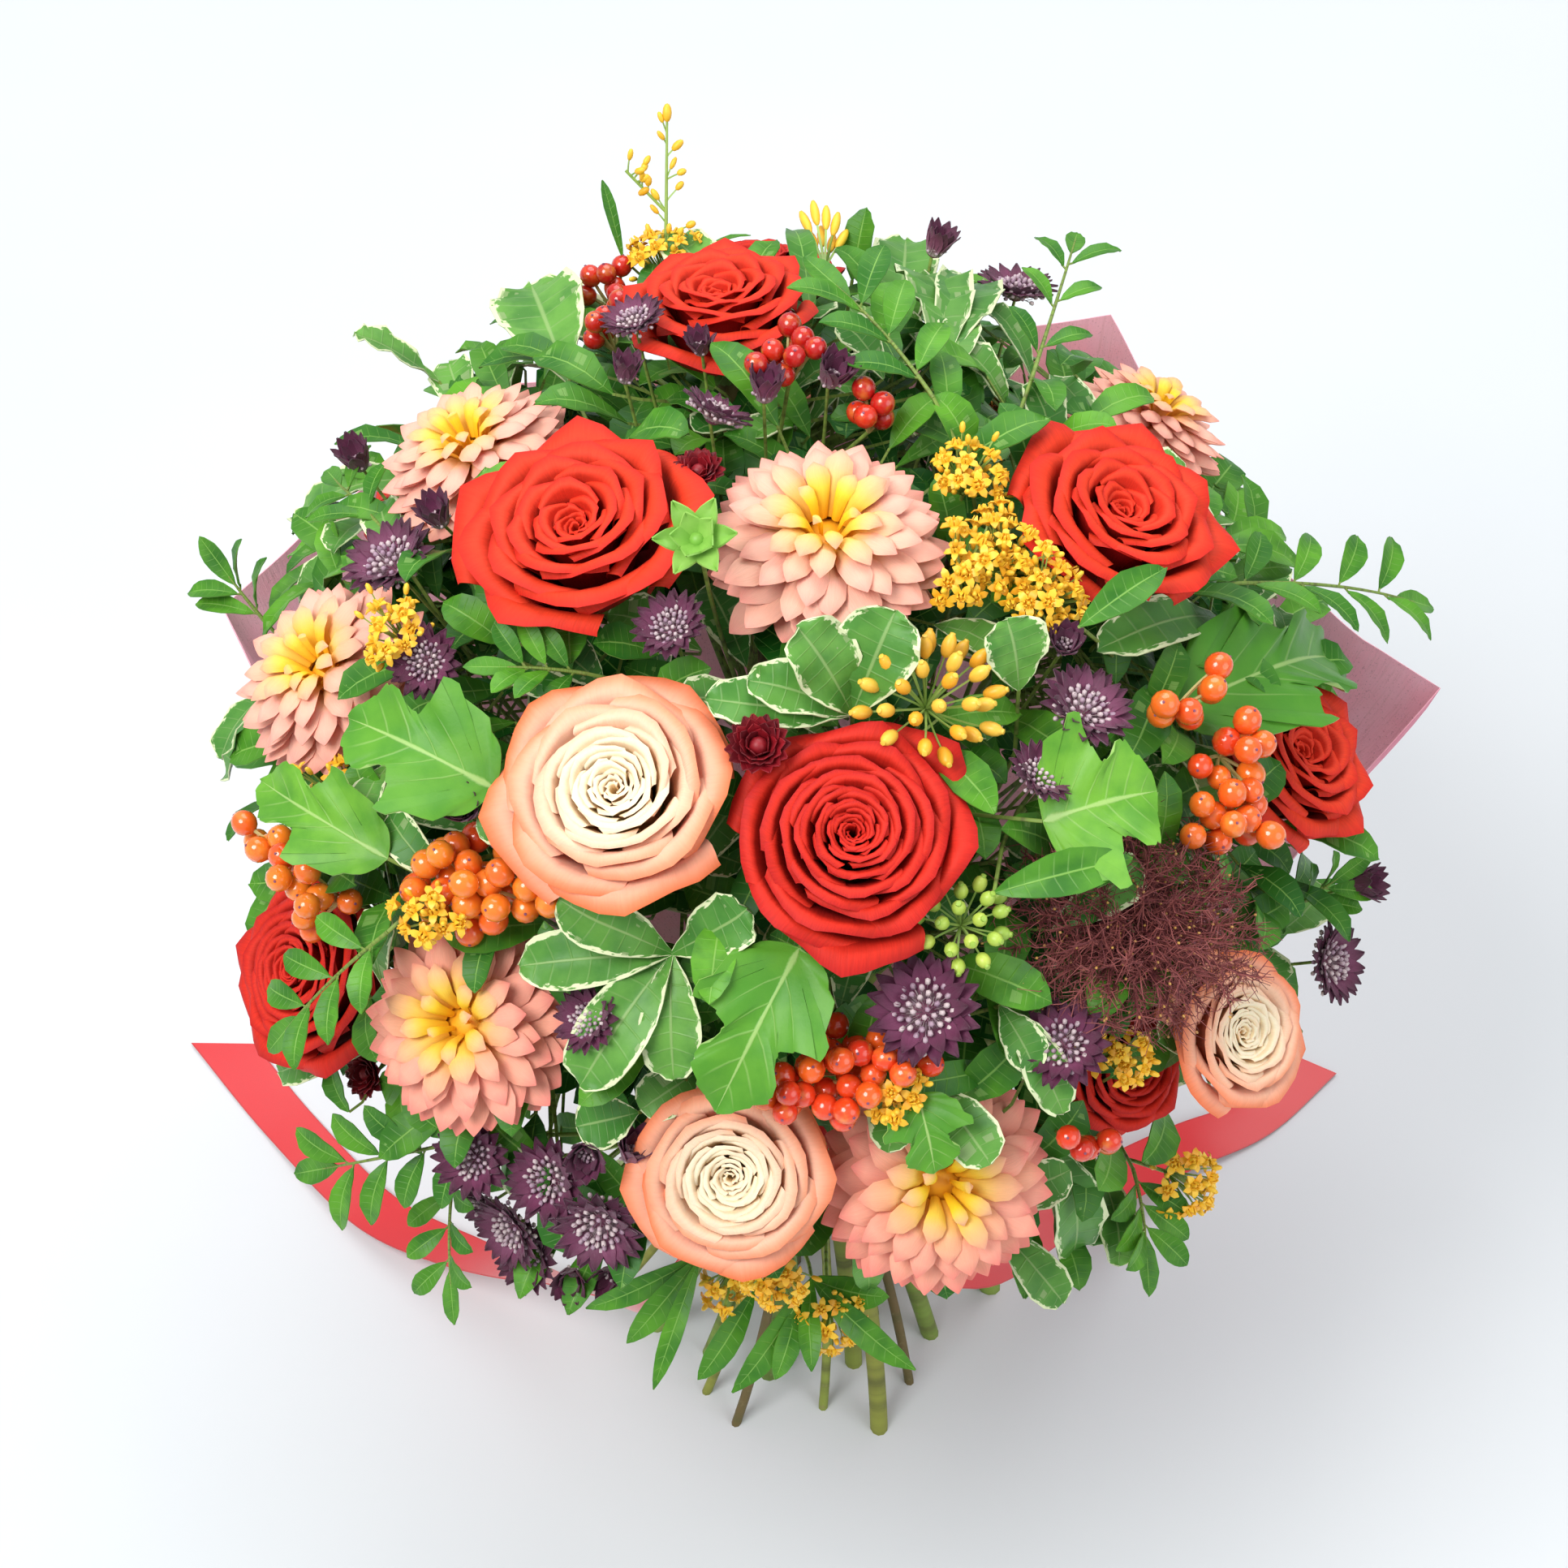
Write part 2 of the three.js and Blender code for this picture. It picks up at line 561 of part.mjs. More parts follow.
// Moves a place off what is already there, so that a thing of that radius has room.
function nudge(place, radius) {
  const free = place.clone();
  for (let round = 0; round < 8; round++) {
    for (const t of taken) {
      const near = new THREE.Line3(t.from, t.to).closestPointToPoint(free, true, point(0, 0, 0));
      const away = free.clone().sub(near);
      const short = t.radius + radius + ROOM - away.length();
      if (short > 0) free.addScaledVector(away.normalize().addScaledVector(outward(free), 0.4).normalize(), short);
    }
  }
  return free;
}

// Packs the stems at the tie: each starts on its own flower's bearing, they are pressed together, and any two of
// one thickness change places where that brings them nearer to where they started.
function packBundle(stems, blooms) {
  const wish = stems.map(({ top }) => new THREE.Vector2(top.x, top.y).multiplyScalar(TIE_RADIUS / DOME.radius)
    .rotateAround(new THREE.Vector2(), -TWIST_ABOVE));
  const spots = wish.map((spot) => spot.clone());
  for (let round = 0; round < 600; round++) {
    if (round < 400) spots.forEach((spot) => spot.multiplyScalar(0.985));
    spots.forEach((a, i) => spots.slice(0, i).forEach((b, j) => {
      const apart = b.clone().sub(a);
      const short = stems[i].radius + stems[j].radius + TIE_GAP - apart.length();
      if (short <= 0) return;
      apart.setLength(short / 2);
      a.sub(apart);
      b.add(apart);
    }));
  }
  for (let round = 0; round < 4; round++) {
    spots.forEach((a, i) => spots.slice(0, i).forEach((b, j) => {
      if (stems[i].radius !== stems[j].radius) return;
      const kept = spots[i].dot(wish[i]) + spots[j].dot(wish[j]);
      const swapped = spots[j].dot(wish[i]) + spots[i].dot(wish[j]);
      if (swapped > kept) [spots[i], spots[j]] = [spots[j], spots[i]];
    }));
  }
  const middle = spots.slice(0, blooms).reduce((a, b) => (b.length() < a.length() ? b : a)).clone();
  spots.forEach((spot) => spot.sub(middle));
  return spots;
}

const FLARE = TIE_HEIGHT / Math.sqrt(FOOT_SPREAD ** 2 - 1); // the height over which the bundle opens

// Where a stem that passes the tie at spot is, at a height at or below the tie
function belowTie(spot, height) {
  const drop = TIE_HEIGHT - height;
  const flat = spot.clone().multiplyScalar(Math.hypot(1, drop / FLARE));
  flat.rotateAround(new THREE.Vector2(), (-TWIST_BELOW * drop) / TIE_HEIGHT);
  return point(flat.x, flat.y, height);
}

const LOW_HEIGHTS = [-10, 70, TIE_HEIGHT]; // every stem has its sections here, so that none meet
const floorBlock = solidOf(new THREE.BoxGeometry(600, 600, 100).translate(0, 0, -50));

function stemSolid(stem, grow) {
  const low = LOW_HEIGHTS.map((height) => belowTie(stem.spot, height));
  return tube([...low, ...stem.above.slice(1)], stem.radius + grow, stem.sides).subtract(floorBlock);
}

// Each piece is kept clear of the room of those made before it. build(grow) lists its solids, grown for its room.

const made = []; // { name, look, solid, room, box }

function add(name, look, build) {
  const whole = fuse(build(0));
  const { min, max } = whole.boundingBox();
  const box = new THREE.Box3(point(...min), point(...max)).expandByScalar(1);
  const inWay = made.filter((m) => m.box.intersectsBox(box)).map((m) => m.room);
  const cut = inWay.length ? whole.subtract(fuse(inWay)) : whole;
  const [solid] = cut.decompose().sort((a, b) => b.volume() - a.volume());
  made.push({ name, look, solid, room: fuse(build(ROOM)), box });
}

// Where each bloom sits: its face on the dome, its hip below that on its own axis

for (const bloom of BLOOMS) {
  const { depth, balls } = BLOOM_KINDS[bloom.kind];
  const size = bloom.width / 2;
  bloom.face = bloom.at ? seen(bloom.at, bloom.lift) : behind(bloom.bearing, bloom.slant, bloom.lift);
  bloom.axis = outward(bloom.face);
  bloom.hip = bloom.face.clone().addScaledVector(bloom.axis, -depth * size);
  bloom.top = bloom.hip.clone().addScaledVector(bloom.axis, -SEAT_GAP);
  bloom.frame = stand(bloom.hip, bloom.axis, bloom.face.x);
  const fill = (place, radius) => take([place.applyMatrix4(bloom.frame), place], radius, bloom.name);
  fill(point(0, 0, 0.3 * size), 0.4 * size);
  fill(point(0, 0, balls.up * size), 0.5 * size);
  for (let n = 0; n < balls.count; n++) {
    const turn = (2 * Math.PI * n) / balls.count;
    const reach = balls.ring * size;
    fill(point(reach * Math.cos(turn), reach * Math.sin(turn), balls.up * size), balls.size * size);
  }
}

// The heads, bunches and leaves of each spray, as places first

const backLeafEnds = (bearing, slant) => [behind(bearing, slant, -24), behind(bearing + 6, slant + 17, 12)];

const SPRAY_KINDS = {
  astrantia: (spray) => spray.heads.map(([x, y, , mark]) => (mark ? behind(x, y, 0) : seen([x, y], 0))),
  berries: (spray) => spray.bunches.map(({ from, to, lift }) => mix(seen(from, lift), seen(to, lift), 0.5)),
  florets: (spray) => spray.clusters.map(({ at, lift }) => seen(at, lift)),
  umbels: (spray) => spray.umbels.map(({ at, lift }) => seen(at, lift)),
  plume: (spray) => [seen(spray.at, 0)],
  foliage: (spray) => [
    ...spray.leaves.map(([, base, , , lift]) => seen(base, lift - 12)),
    ...spray.whorls.map(({ at }) => seen(at, -8)),
    ...spray.back.map(([, bearing, slant]) => backLeafEnds(bearing, slant)[0]),
    ...spray.sprigs.map(({ from, lift }) => seen(from, lift - 8)),
  ],
};

const spraysOf = (list, kind, look) => list.map((spray) => ({ look, ...spray, kind }));
const SPRAYS = [
  ...spraysOf(ASTRANTIA, "astrantia", PLUM),
  ...spraysOf(BERRIES, "berries"),
  ...spraysOf(BUTTERFLY_WEED, "florets", GOLD),
  ...spraysOf([UMBELS], "umbels", LIME),
  ...spraysOf([PLUME], "plume", SMOKE),
  ...spraysOf(FOLIAGE, "foliage", LEAF_GREEN),
];

// Stems: one for each bloom and each spray, all through the tie

const FORK_SHARES = [0.5, 0.44, 0.56, 0.38, 0.62]; // how far up its fan a spray's stem goes before it forks

for (const bloom of BLOOMS) {
  Object.assign(bloom, { radius: bloom.kind === "dahlia" ? 3.8 : 3.2, sides: 5, parts: 3 });
}
for (const spray of SPRAYS) {
  const places = SPRAY_KINDS[spray.kind](spray);
  spray.middle = places.reduce((sum, place) => sum.add(place), point(0, 0, 0)).divideScalar(places.length);
  Object.assign(spray, { axis: outward(spray.middle), top: spray.middle, radius: 1.8, sides: 3, parts: 3 });
}
const STEMS = [...BLOOMS, ...SPRAYS];
packBundle(STEMS, BLOOMS.length).forEach((spot, n) => { STEMS[n].spot = spot; });
const bundleRadius = Math.max(...STEMS.map(({ spot, radius }) => spot.length() + radius));

// The way of a stem above the tie. A spray's stem may end lower or higher, where it finds its way best.
function stemWay(stem) {
  const tie = belowTie(stem.spot, TIE_HEIGHT);
  let best = { clear: -Infinity };
  for (const share of stem.middle ? FORK_SHARES : [1]) {
    const top = stem.middle ? mix(FAN, stem.middle, share) : stem.top;
    const found = freeWay(tie, UP, top, stem.axis, stem.radius, stem.name, stem.parts);
    if (found.clear > best.clear) best = { ...found, top };
    if (found.clear > ROOM) break;
  }
  return best;
}

for (const stem of STEMS) {
  const { points, top } = stemWay(stem);
  Object.assign(stem, { above: points, top });
  take(points, stem.radius, stem.name);
}

// Spray parts. Each pushes its limbs, as functions of grow, on spray.limbs.

const FORK_STEP = 5; // between one fork of a spray's stem and the next

// Where the next fork of a spray's stem is
function nextFork(spray) {
  const down = spray.above.at(-2).clone().sub(spray.top).normalize();
  spray.forks += 1;
  return spray.top.clone().addScaledVector(down, FORK_STEP * spray.forks - 3);
}

function branch(spray, to, arrive, radius = 1, parts = 3) {
  const from = nextFork(spray);
  const leave = to.clone().sub(from).normalize();
  const { points } = freeWay(from, leave, to, arrive, radius, spray.name, parts);
  take(points, radius, spray.name);
  spray.limbs.push((grow) => tube(points, radius + grow, 3));
}

// A star of bracts round a low cushion, with a flat underside between the gaps
function star(size, frame) {
  const points = 8;
  const corners = Array.from({ length: 2 * points }, (_, n) => {
    const turn = (Math.PI * n) / points;
    const [reach, height] = n % 2 ? [0.68, 0.12] : [1, 0.24];
    return point(reach * Math.cos(turn), reach * Math.sin(turn), height);
  });
  const top = corners.push(point(0, 0, 0.46)) - 1;
  const faces = [];
  for (let n = 0; n < 2 * points; n++) faces.push([top, n, (n + 1) % top]);
  for (let n = 1; n < 2 * points; n += 2) faces.push([n, (n + 2) % top, (n + 1) % top]);
  for (let n = 3; n + 2 < 2 * points; n += 2) faces.push([1, n + 2, n]);
  return solidOf(indexed(corners.map((p) => p.multiplyScalar(size).applyMatrix4(frame)), faces));
}

function growAstrantia(spray) {
  SPRAY_KINDS.astrantia(spray).forEach((rough, n) => {
    const width = spray.heads[n][2];
    const place = nudge(rough, 0.3 * width);
    const axis = outward(place);
    const frame = stand(place, axis, n);
    spray.limbs.push((grow) => star(width / 2 + grow, frame));
    take([place, place], 0.4 * width, spray.name);
    branch(spray, place.clone().addScaledVector(axis, 0.13 * width), axis, 1, 2);
  });
}

// The places of a cluster's items: a golden spiral on a low mound along the way from one point to another
function mound({ from, to, spread, count, lift }) {
  return Array.from({ length: count }, (_, n) => {
    const share = (n * 0.618) % 1;
    const place = mix(seen(from, lift), seen(to, lift), share);
    const axis = outward(place);
    const out = spread * Math.sqrt((n + 0.5) / count);
    const side = axis.clone().cross(point(0, 1, 0.3)).normalize();
    place.addScaledVector(side, out * Math.cos(n * GOLDEN));
    place.addScaledVector(side.clone().cross(axis), out * Math.sin(n * GOLDEN));
    return place.addScaledVector(axis, -0.3 * out);
  });
}

const bud = (place, radius) => solidOf(new THREE.OctahedronGeometry(radius, 0).translate(...place.toArray()));

// A stalk that grows from a hub and swells at its end: three-sided, then six-sided round its widest, then a tip
function stalked(hub, place, stalkEnd, radius, beyond, grow) {
  const frame = stand(hub, place.clone().sub(hub).normalize());
  const length = hub.distanceTo(place);
  const ring = (count, reach, height) => Array.from({ length: count }, (_, n) => {
    const turn = (2 * Math.PI * n) / count;
    return point(reach * Math.cos(turn), reach * Math.sin(turn), height);
  });
  const corners = [
    point(0, 0, 0), ...ring(3, 0.8 + grow, length - stalkEnd - grow), ...ring(6, radius + grow, length),
    point(0, 0, length + beyond + grow),
  ];
  const faces = [];
  for (let n = 0; n < 3; n++) {
    const [low, next] = [1 + n, 1 + ((n + 1) % 3)];
    const wide = [5, 0, 1].map((k) => 4 + ((2 * n + k) % 6));
    faces.push([0, next, low], [low, wide[1], wide[0]], [low, wide[2], wide[1]], [low, next, wide[2]]);
    faces.push([10, wide[0], wide[1]], [10, wide[1], wide[2]]);
  }
  return solidOf(indexed(corners.map((p) => p.applyMatrix4(frame)), faces));
}

// A cluster: its items from one hub, which a branch carries. item(hub, place, grow) makes one with its stalk.
function growCluster(spray, layout, size, depth, item) {
  const places = mound(layout).map((rough) => {
    const place = nudge(rough, 0.5 * size);
    take([place, place], 0.48 * size, spray.name);
    return place;
  });
  const middle = places.reduce((sum, place) => sum.add(place), point(0, 0, 0)).divideScalar(places.length);
  const axis = outward(middle);
  const hub = nudge(middle.addScaledVector(axis, -depth), 1.5);
  branch(spray, hub, axis, 1, 2);
  spray.limbs.push((grow) => bud(hub, 2 + grow));
  for (const place of places) {
    take([hub, place], 0.6, spray.name);
    spray.limbs.push((grow) => item(hub, place, grow));
  }
  return hub;
}

function growBerries(spray) {
  for (const bunch of spray.bunches) {
    growCluster(spray, bunch, bunch.size, 14, (hub, place, grow) => (
      stalked(hub, place, 0.5 * bunch.size, 0.54 * bunch.size, 0.5 * bunch.size, grow)));
  }
}

const FLORET = 7;

// A tall stalk of buds: they sit on either side of it above its middle, and one at its tip
function growSpire(spray, hub, tip) {
  const leave = tip.clone().sub(hub).normalize();
  const { points } = freeWay(hub, leave, tip, leave, 1, spray.name, 3);
  take(points, 1, spray.name);
  spray.limbs.push((grow) => tube(points, 1 + grow, 3));
  const side = leave.clone().cross(point(0, -1, 0)).normalize();
  for (let n = 0; n < 7; n++) {
    const place = n < 3 ? mix(points[1], points[2], 0.4 + 0.3 * n) : mix(points[2], points[3], (n - 3) / 3);
    if (n < 6) place.addScaledVector(side, n % 2 ? 1.8 : -1.8);
    spray.limbs.push((grow) => bud(place, 2.2 + grow));
  }
}

function growFlorets(spray) {
  for (const { at, spread, count, lift, spireTip } of spray.clusters) {
    const hub = growCluster(spray, { from: at, to: at, spread, count, lift }, FLORET, 13, (from, place, grow) => (
      stalked(from, place, 0.5 * FLORET, 0.4 * FLORET, 1.5, grow)));
    if (spireTip) growSpire(spray, hub, seen(spireTip, lift));
  }
}

function growUmbels(spray) {
  for (const { at, width, count, lift } of spray.umbels) {
    const place = nudge(seen(at, lift), 4);
    const axis = outward(place);
    const hub = place.clone().addScaledVector(axis, -0.34 * width);
    const frame = stand(hub, axis);
    branch(spray, hub.clone().addScaledVector(axis, 1), axis, 1.2);
    for (let n = 0; n < count; n++) {
      const lean = 1.25 * Math.sqrt((n + 0.5) / count);
      const flat = 0.5 * width * Math.sin(lean);
      const high = 0.5 * width * Math.cos(lean);
      const head = point(flat * Math.cos(n * GOLDEN), flat * Math.sin(n * GOLDEN), high).applyMatrix4(frame);
      take([hub, head], 1.5, spray.name);
      spray.limbs.push((grow) => kite(hub, head, 0.82, axis, 4.6 + 2 * grow, 4.6 + 2 * grow, 0));
    }
  }
}

function growPlume(spray) {
  const place = seen(spray.at, -6);
  const axis = outward(place);
  const frame = stand(place, axis);
  const [wide, tall, deep] = [spray.width / 2, spray.height / 2, 16];
  const core = (grow) => new THREE.IcosahedronGeometry(1, 0)
    .scale(0.62 * wide + grow, 0.62 * tall + grow, 0.7 * deep + grow).applyMatrix4(frame);
  spray.limbs.push((grow) => solidOf(core(grow)));
  branch(spray, place.clone(), axis, 1.2);
  for (let n = 0; n < spray.threads; n++) {
    const high = 1 - (1.3 * (n + 0.5)) / spray.threads;
    const flat = Math.sqrt(1 - high * high);
    const way = point(flat * Math.cos(n * GOLDEN) * wide, flat * Math.sin(n * GOLDEN) * tall, high * deep * 1.2);
    const tip = way.clone().multiplyScalar(0.86 + 0.14 * Math.sin(n * 7)).applyMatrix4(frame);
    const root = way.multiplyScalar(0.3).applyMatrix4(frame);
    spray.limbs.push((grow) => kite(root, tip, 0.5, axis, 2.6 + 2 * grow, 2.2 + 2 * grow, 0));
  }
}

// Half widths of each kind of leaf between its foot and its tip, as shares of its width
const OUTLINES = { oval: [0.42, 0.46], lobed: [0.5, 0.32, 0.46, 0.2] };
const FOLDS = { oval: 0, lobed: 0.28 };
const PETIOLE = 1.6; // width of a leaf's own stalk

// A thin blade along a spine, with its half width at each point of it, folded up along the middle
function blade(spine, halves, fold, grow) {
  const edges = fold ? [-1, 0, 1] : [-1, 1];
  const rows = spine.map((place, n) => {
    if (n === 0 || n === spine.length - 1) return [place];
    const way = spine[n + 1].clone().sub(spine[n - 1]).normalize();
    const side = way.clone().cross(outward(place)).normalize();
    const face = side.clone().cross(way);
    return edges.map((edge) => place.clone()
      .addScaledVector(side, edge * (halves[n] + grow))
      .addScaledVector(face, Math.abs(edge) * fold * halves[n]));
  });
  return thicken(skin(rows), LEAF + 2 * grow);
}

// The points of an arched leaf from its foot to its tip, bent clear of what is there
function leafSpine(kind, foot, tip) {
  const face = outward(mix(foot, tip, 0.5));
  const steps = OUTLINES[kind].length + 1;
  const arch = 0.14 * foot.distanceTo(tip);
  return Array.from({ length: steps + 1 }, (_, n) => {
    const place = mix(foot, tip, n / steps).addScaledVector(face, arch * Math.sin((Math.PI * n) / steps));
    return n ? nudge(place, 2.5) : place;
  });
}

const leafHalves = (kind, width) => [PETIOLE / 2, ...OUTLINES[kind].map((half) => half * width), 0];

// A blade on a stalk of its own, from the next fork of the spray's stem
function growStalked(spray, spine, halves, fold) {
  const fork = nextFork(spray);
  const leave = spine[0].clone().sub(fork).normalize();
  const arrive = spine[1].clone().sub(spine[0]).normalize();
  const { points } = freeWay(fork, leave, spine[0], arrive, 1, spray.name, 2);
  const stalk = points.slice(0, -1);
  const whole = [...stalk, ...spine];
  const wide = [...stalk.map(() => PETIOLE / 2), ...halves];
  take(whole, 1, spray.name);
  spray.limbs.push((grow) => blade(whole, wide, fold, grow));
}

function growLeaf(spray, kind, base, tip, width) {
  growStalked(spray, leafSpine(kind, nudge(base, 1.5), tip), leafHalves(kind, width), FOLDS[kind]);
}

function growWhorl(spray, { at, tips }) {
  const hub = nudge(seen(at, -8), 2);
  branch(spray, hub, outward(hub), 1, 2);
  spray.limbs.push((grow) => bud(hub, 2 + grow));
  for (const [tip, width, lift] of tips) {
    const spine = leafSpine("oval", hub, seen(tip, lift));
    take(spine.slice(1), 1, spray.name);
    spray.limbs.push((grow) => blade(spine, leafHalves("oval", width), FOLDS.oval, grow));
  }
}

// A sprig: leaflets in pairs along a rib, cut to the rib in one blade's outline
function growSprig(spray, { from, to, pairs, leaflet, lift }) {
  const [start, end] = [seen(from, lift - 8), seen(to, lift + 4)];
  const bend = mix(start, end, 0.5).addScaledVector(outward(mix(start, end, 0.5)), 0.1 * start.distanceTo(end));
  const rib = new THREE.QuadraticBezierCurve3(start, bend, end);
  const spine = Array.from({ length: 2 * pairs + 2 }, (_, n) => nudge(rib.getPoint(n / (2 * pairs + 1)), 1.5));
  growStalked(spray, spine, spine.map((_, n) => (n % 2 ? 0.72 * leaflet : 1)), 0);
}

function growFoliage(spray) {
  for (const whorl of spray.whorls) growWhorl(spray, whorl);
  for (const [kind, base, tip, width, lift] of spray.leaves) {
    growLeaf(spray, kind, seen(base, lift - 12), seen(tip, lift), width);
  }
  for (const [kind, bearing, slant, width] of spray.back) {
    growLeaf(spray, kind, ...backLeafEnds(bearing, slant), width);
  }
  for (const sprig of spray.sprigs) growSprig(spray, sprig);
}

const GROW = {
  astrantia: growAstrantia,
  berries: growBerries,
  florets: growFlorets,
  umbels: growUmbels,
  plume: growPlume,
  foliage: growFoliage,
};

// Wrapping paper: straight edges between its corners, gathered at the tie, outside the stems

function paperSolid(grow) {
  const neck = bundleRadius + 3.2;
  const columns = (PAPER_CORNERS.length - 1) * PAPER_PLEATS;
  const steps = 5;
  const rows = Array.from({ length: steps + 1 }, () => []);
  for (let n = 0; n <= columns; n++) {
    const i = Math.min(Math.floor(n / PAPER_PLEATS), PAPER_CORNERS.length - 2);
    const [a, b] = [PAPER_CORNERS[i], PAPER_CORNERS[i + 1]].map((c) => atBearing(c.bearing, c.radius, c.height));
    const edge = mix(a, b, n / PAPER_PLEATS - i);
    const out = point(edge.x, edge.y, 0);
    const reach = out.length();
    out.normalize();
    const start = out.clone().multiplyScalar(neck).setZ(TIE_HEIGHT + 9);
    const flare = out.clone().multiplyScalar(neck + 5).setZ(TIE_HEIGHT + 18);
    const belly = out.clone().multiplyScalar(0.86 * reach).setZ(TIE_HEIGHT + 34);
    const profile = new THREE.CubicBezierCurve3(start, flare, belly, edge);
    rows[0].push(start.clone().setZ(TIE_HEIGHT - 12));
    for (let j = 1; j <= steps; j++) {
      const t = (j - 1) / (steps - 1);
      const pleat = (n % 2 ? 2.4 : -2.4) * Math.min(1, 3 * t);
      rows[j].push(profile.getPoint(t).addScaledVector(out, pleat * (j < steps ? 1 : 0.6)));
    }
  }
  return thicken(skin(rows), SHEET + 2 * grow);
}

// Ribbon: strips of one width, each point [x, y, z, degrees on edge]

function strip(points, grow, width = RIBBON_WIDTH) {
  const places = points.map(([x, y, z]) => point(x, y, z));
  const rows = places.map((place, n) => {
    const way = places[Math.min(n + 1, places.length - 1)].clone().sub(places[Math.max(n - 1, 0)]).normalize();
    const flat = way.clone().cross(UP).normalize();
    const across = flat.applyAxisAngle(way, THREE.MathUtils.degToRad(points[n][3]));
    return [-1, 1].map((side) => place.clone().addScaledVector(across, side * (width / 2 + grow)));
  });
  return thicken(skin(rows), SHEET + 2 * grow);
}

const BAND_HEIGHT = TIE_HEIGHT - 3;

// The band round the stems and the paper's gathered foot: a closed ring
function band(grow) {
  const inner = bundleRadius + 4.7 - grow;
  const outer = inner + SHEET + 2 * grow;
  const half = RIBBON_WIDTH / 2 + grow;
  const profile = [[inner, -half], [outer, -half], [outer, half], [inner, half], [inner, -half]];
  return turned(profile, 20, stand(point(0, 0, BAND_HEIGHT), UP));
}

const LOOP = [[3, -1], [24, 14], [48, 17], [58, 6], [48, -6], [24, -8], [3, -5]]; // [to the side, above the knot]

function loop(side, grow) {
  const y = -bundleRadius - 13;
  return strip(LOOP.map(([x, z]) => [side * x, y, BAND_HEIGHT + z, 0]), grow, 0.8 * RIBBON_WIDTH);
}

function ribbonSolids(grow) {
  const knot = new THREE.IcosahedronGeometry(1, 0).scale(9 + grow, 8 + grow, 11 + grow)
    .translate(0, -bundleRadius - 11, BAND_HEIGHT);
  return [band(grow), solidOf(knot), loop(-1, grow), loop(1, grow), strip(TAIL_LEFT, grow), strip(TAIL_RIGHT, grow)];
}

// The order of making

for (const bloom of BLOOMS) {
  const { rows, columns, room } = BLOOM_KINDS[bloom.kind];
  const size = bloom.width / 2;
  add(bloom.name, bloom.look, (grow) => [grow
    ? turned(room.map(([r, z]) => [r * size, z * size]), 9, bloom.frame)
    : crown(rows, columns, size, bloom.frame)]);
}
for (const bloom of BLOOMS) add(`${bloom.name}_stem`, STEM_GREEN, (grow) => [stemSolid(bloom, grow)]);
add("wrapping_paper", PAPER_MAUVE, (grow) => [paperSolid(grow)]);
add("ribbon", SATIN_RED, ribbonSolids);
for (const spray of SPRAYS) {
  spray.forks = 0;
  spray.limbs = [(grow) => stemSolid(spray, grow)];
  GROW[spray.kind](spray);
  add(spray.name, spray.look, (grow) => spray.limbs.map((limb) => limb(grow)));
}

const bouquet = new THREE.Group();
for (const { name, look, solid } of made) {
  const material = new THREE.MeshStandardMaterial({ metalness: 0, ...look });
  const mesh = new THREE.Mesh(geometryOf(solid), material);
  mesh.name = name;
  bouquet.add(mesh);
}

export default bouquet;
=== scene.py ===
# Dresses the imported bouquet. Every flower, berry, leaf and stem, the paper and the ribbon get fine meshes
# and procedural materials. Places and ways repeat those of the solids, in millimetres.
import json
import math
import bpy
import numpy as np
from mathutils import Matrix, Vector

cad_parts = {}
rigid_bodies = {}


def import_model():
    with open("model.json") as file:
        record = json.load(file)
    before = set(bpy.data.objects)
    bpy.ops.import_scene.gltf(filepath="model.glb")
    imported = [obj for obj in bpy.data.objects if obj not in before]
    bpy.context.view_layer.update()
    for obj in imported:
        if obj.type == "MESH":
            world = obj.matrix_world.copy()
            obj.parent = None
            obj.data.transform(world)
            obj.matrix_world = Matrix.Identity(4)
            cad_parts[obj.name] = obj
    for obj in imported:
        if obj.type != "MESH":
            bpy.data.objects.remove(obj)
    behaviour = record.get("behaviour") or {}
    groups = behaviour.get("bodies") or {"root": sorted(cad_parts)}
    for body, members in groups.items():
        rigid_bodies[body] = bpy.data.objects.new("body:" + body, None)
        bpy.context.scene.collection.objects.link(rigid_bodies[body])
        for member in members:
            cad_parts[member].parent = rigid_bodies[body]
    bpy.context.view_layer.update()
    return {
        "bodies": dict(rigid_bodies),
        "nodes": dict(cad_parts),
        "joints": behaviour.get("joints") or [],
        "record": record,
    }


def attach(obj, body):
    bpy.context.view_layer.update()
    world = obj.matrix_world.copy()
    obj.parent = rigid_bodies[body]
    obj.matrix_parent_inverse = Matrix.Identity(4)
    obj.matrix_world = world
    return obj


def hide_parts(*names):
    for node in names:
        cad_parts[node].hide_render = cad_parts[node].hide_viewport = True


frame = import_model()

# One millimetre in metres
MM = 0.001
TINY = 1e-9

# Driving dimensions, the same as those of the solids
DOME_RADIUS, DOME_HALF_HEIGHT, DOME_CENTRE = 172, 150, 300
TIE_HEIGHT = 140
TIE_RADIUS = 24
TIE_GAP = 0.32
FAN_HEIGHT = 150
FOOT_SPREAD = 4.2
TWIST_BELOW = math.radians(20)
TWIST_ABOVE = math.radians(25)
SEAT_GAP = 0.3
ROOM = 0.3
RIBBON_WIDTH = 20
GOLDEN = math.pi * (3 - math.sqrt(5))
BLOOM_STEM_RADIUS = {"rose": 3.2, "dahlia": 3.8}
SPRAY_STEM_RADIUS = 1.8

# The viewpoint of the photograph. Pixels are those of its 1932 px frame.
IMAGE = 1932
VIEW_ELEVATION = math.radians(51)
VIEW_DISTANCE = 1150
FOCAL_PX = 4442
DOME_PX = (975, 945)

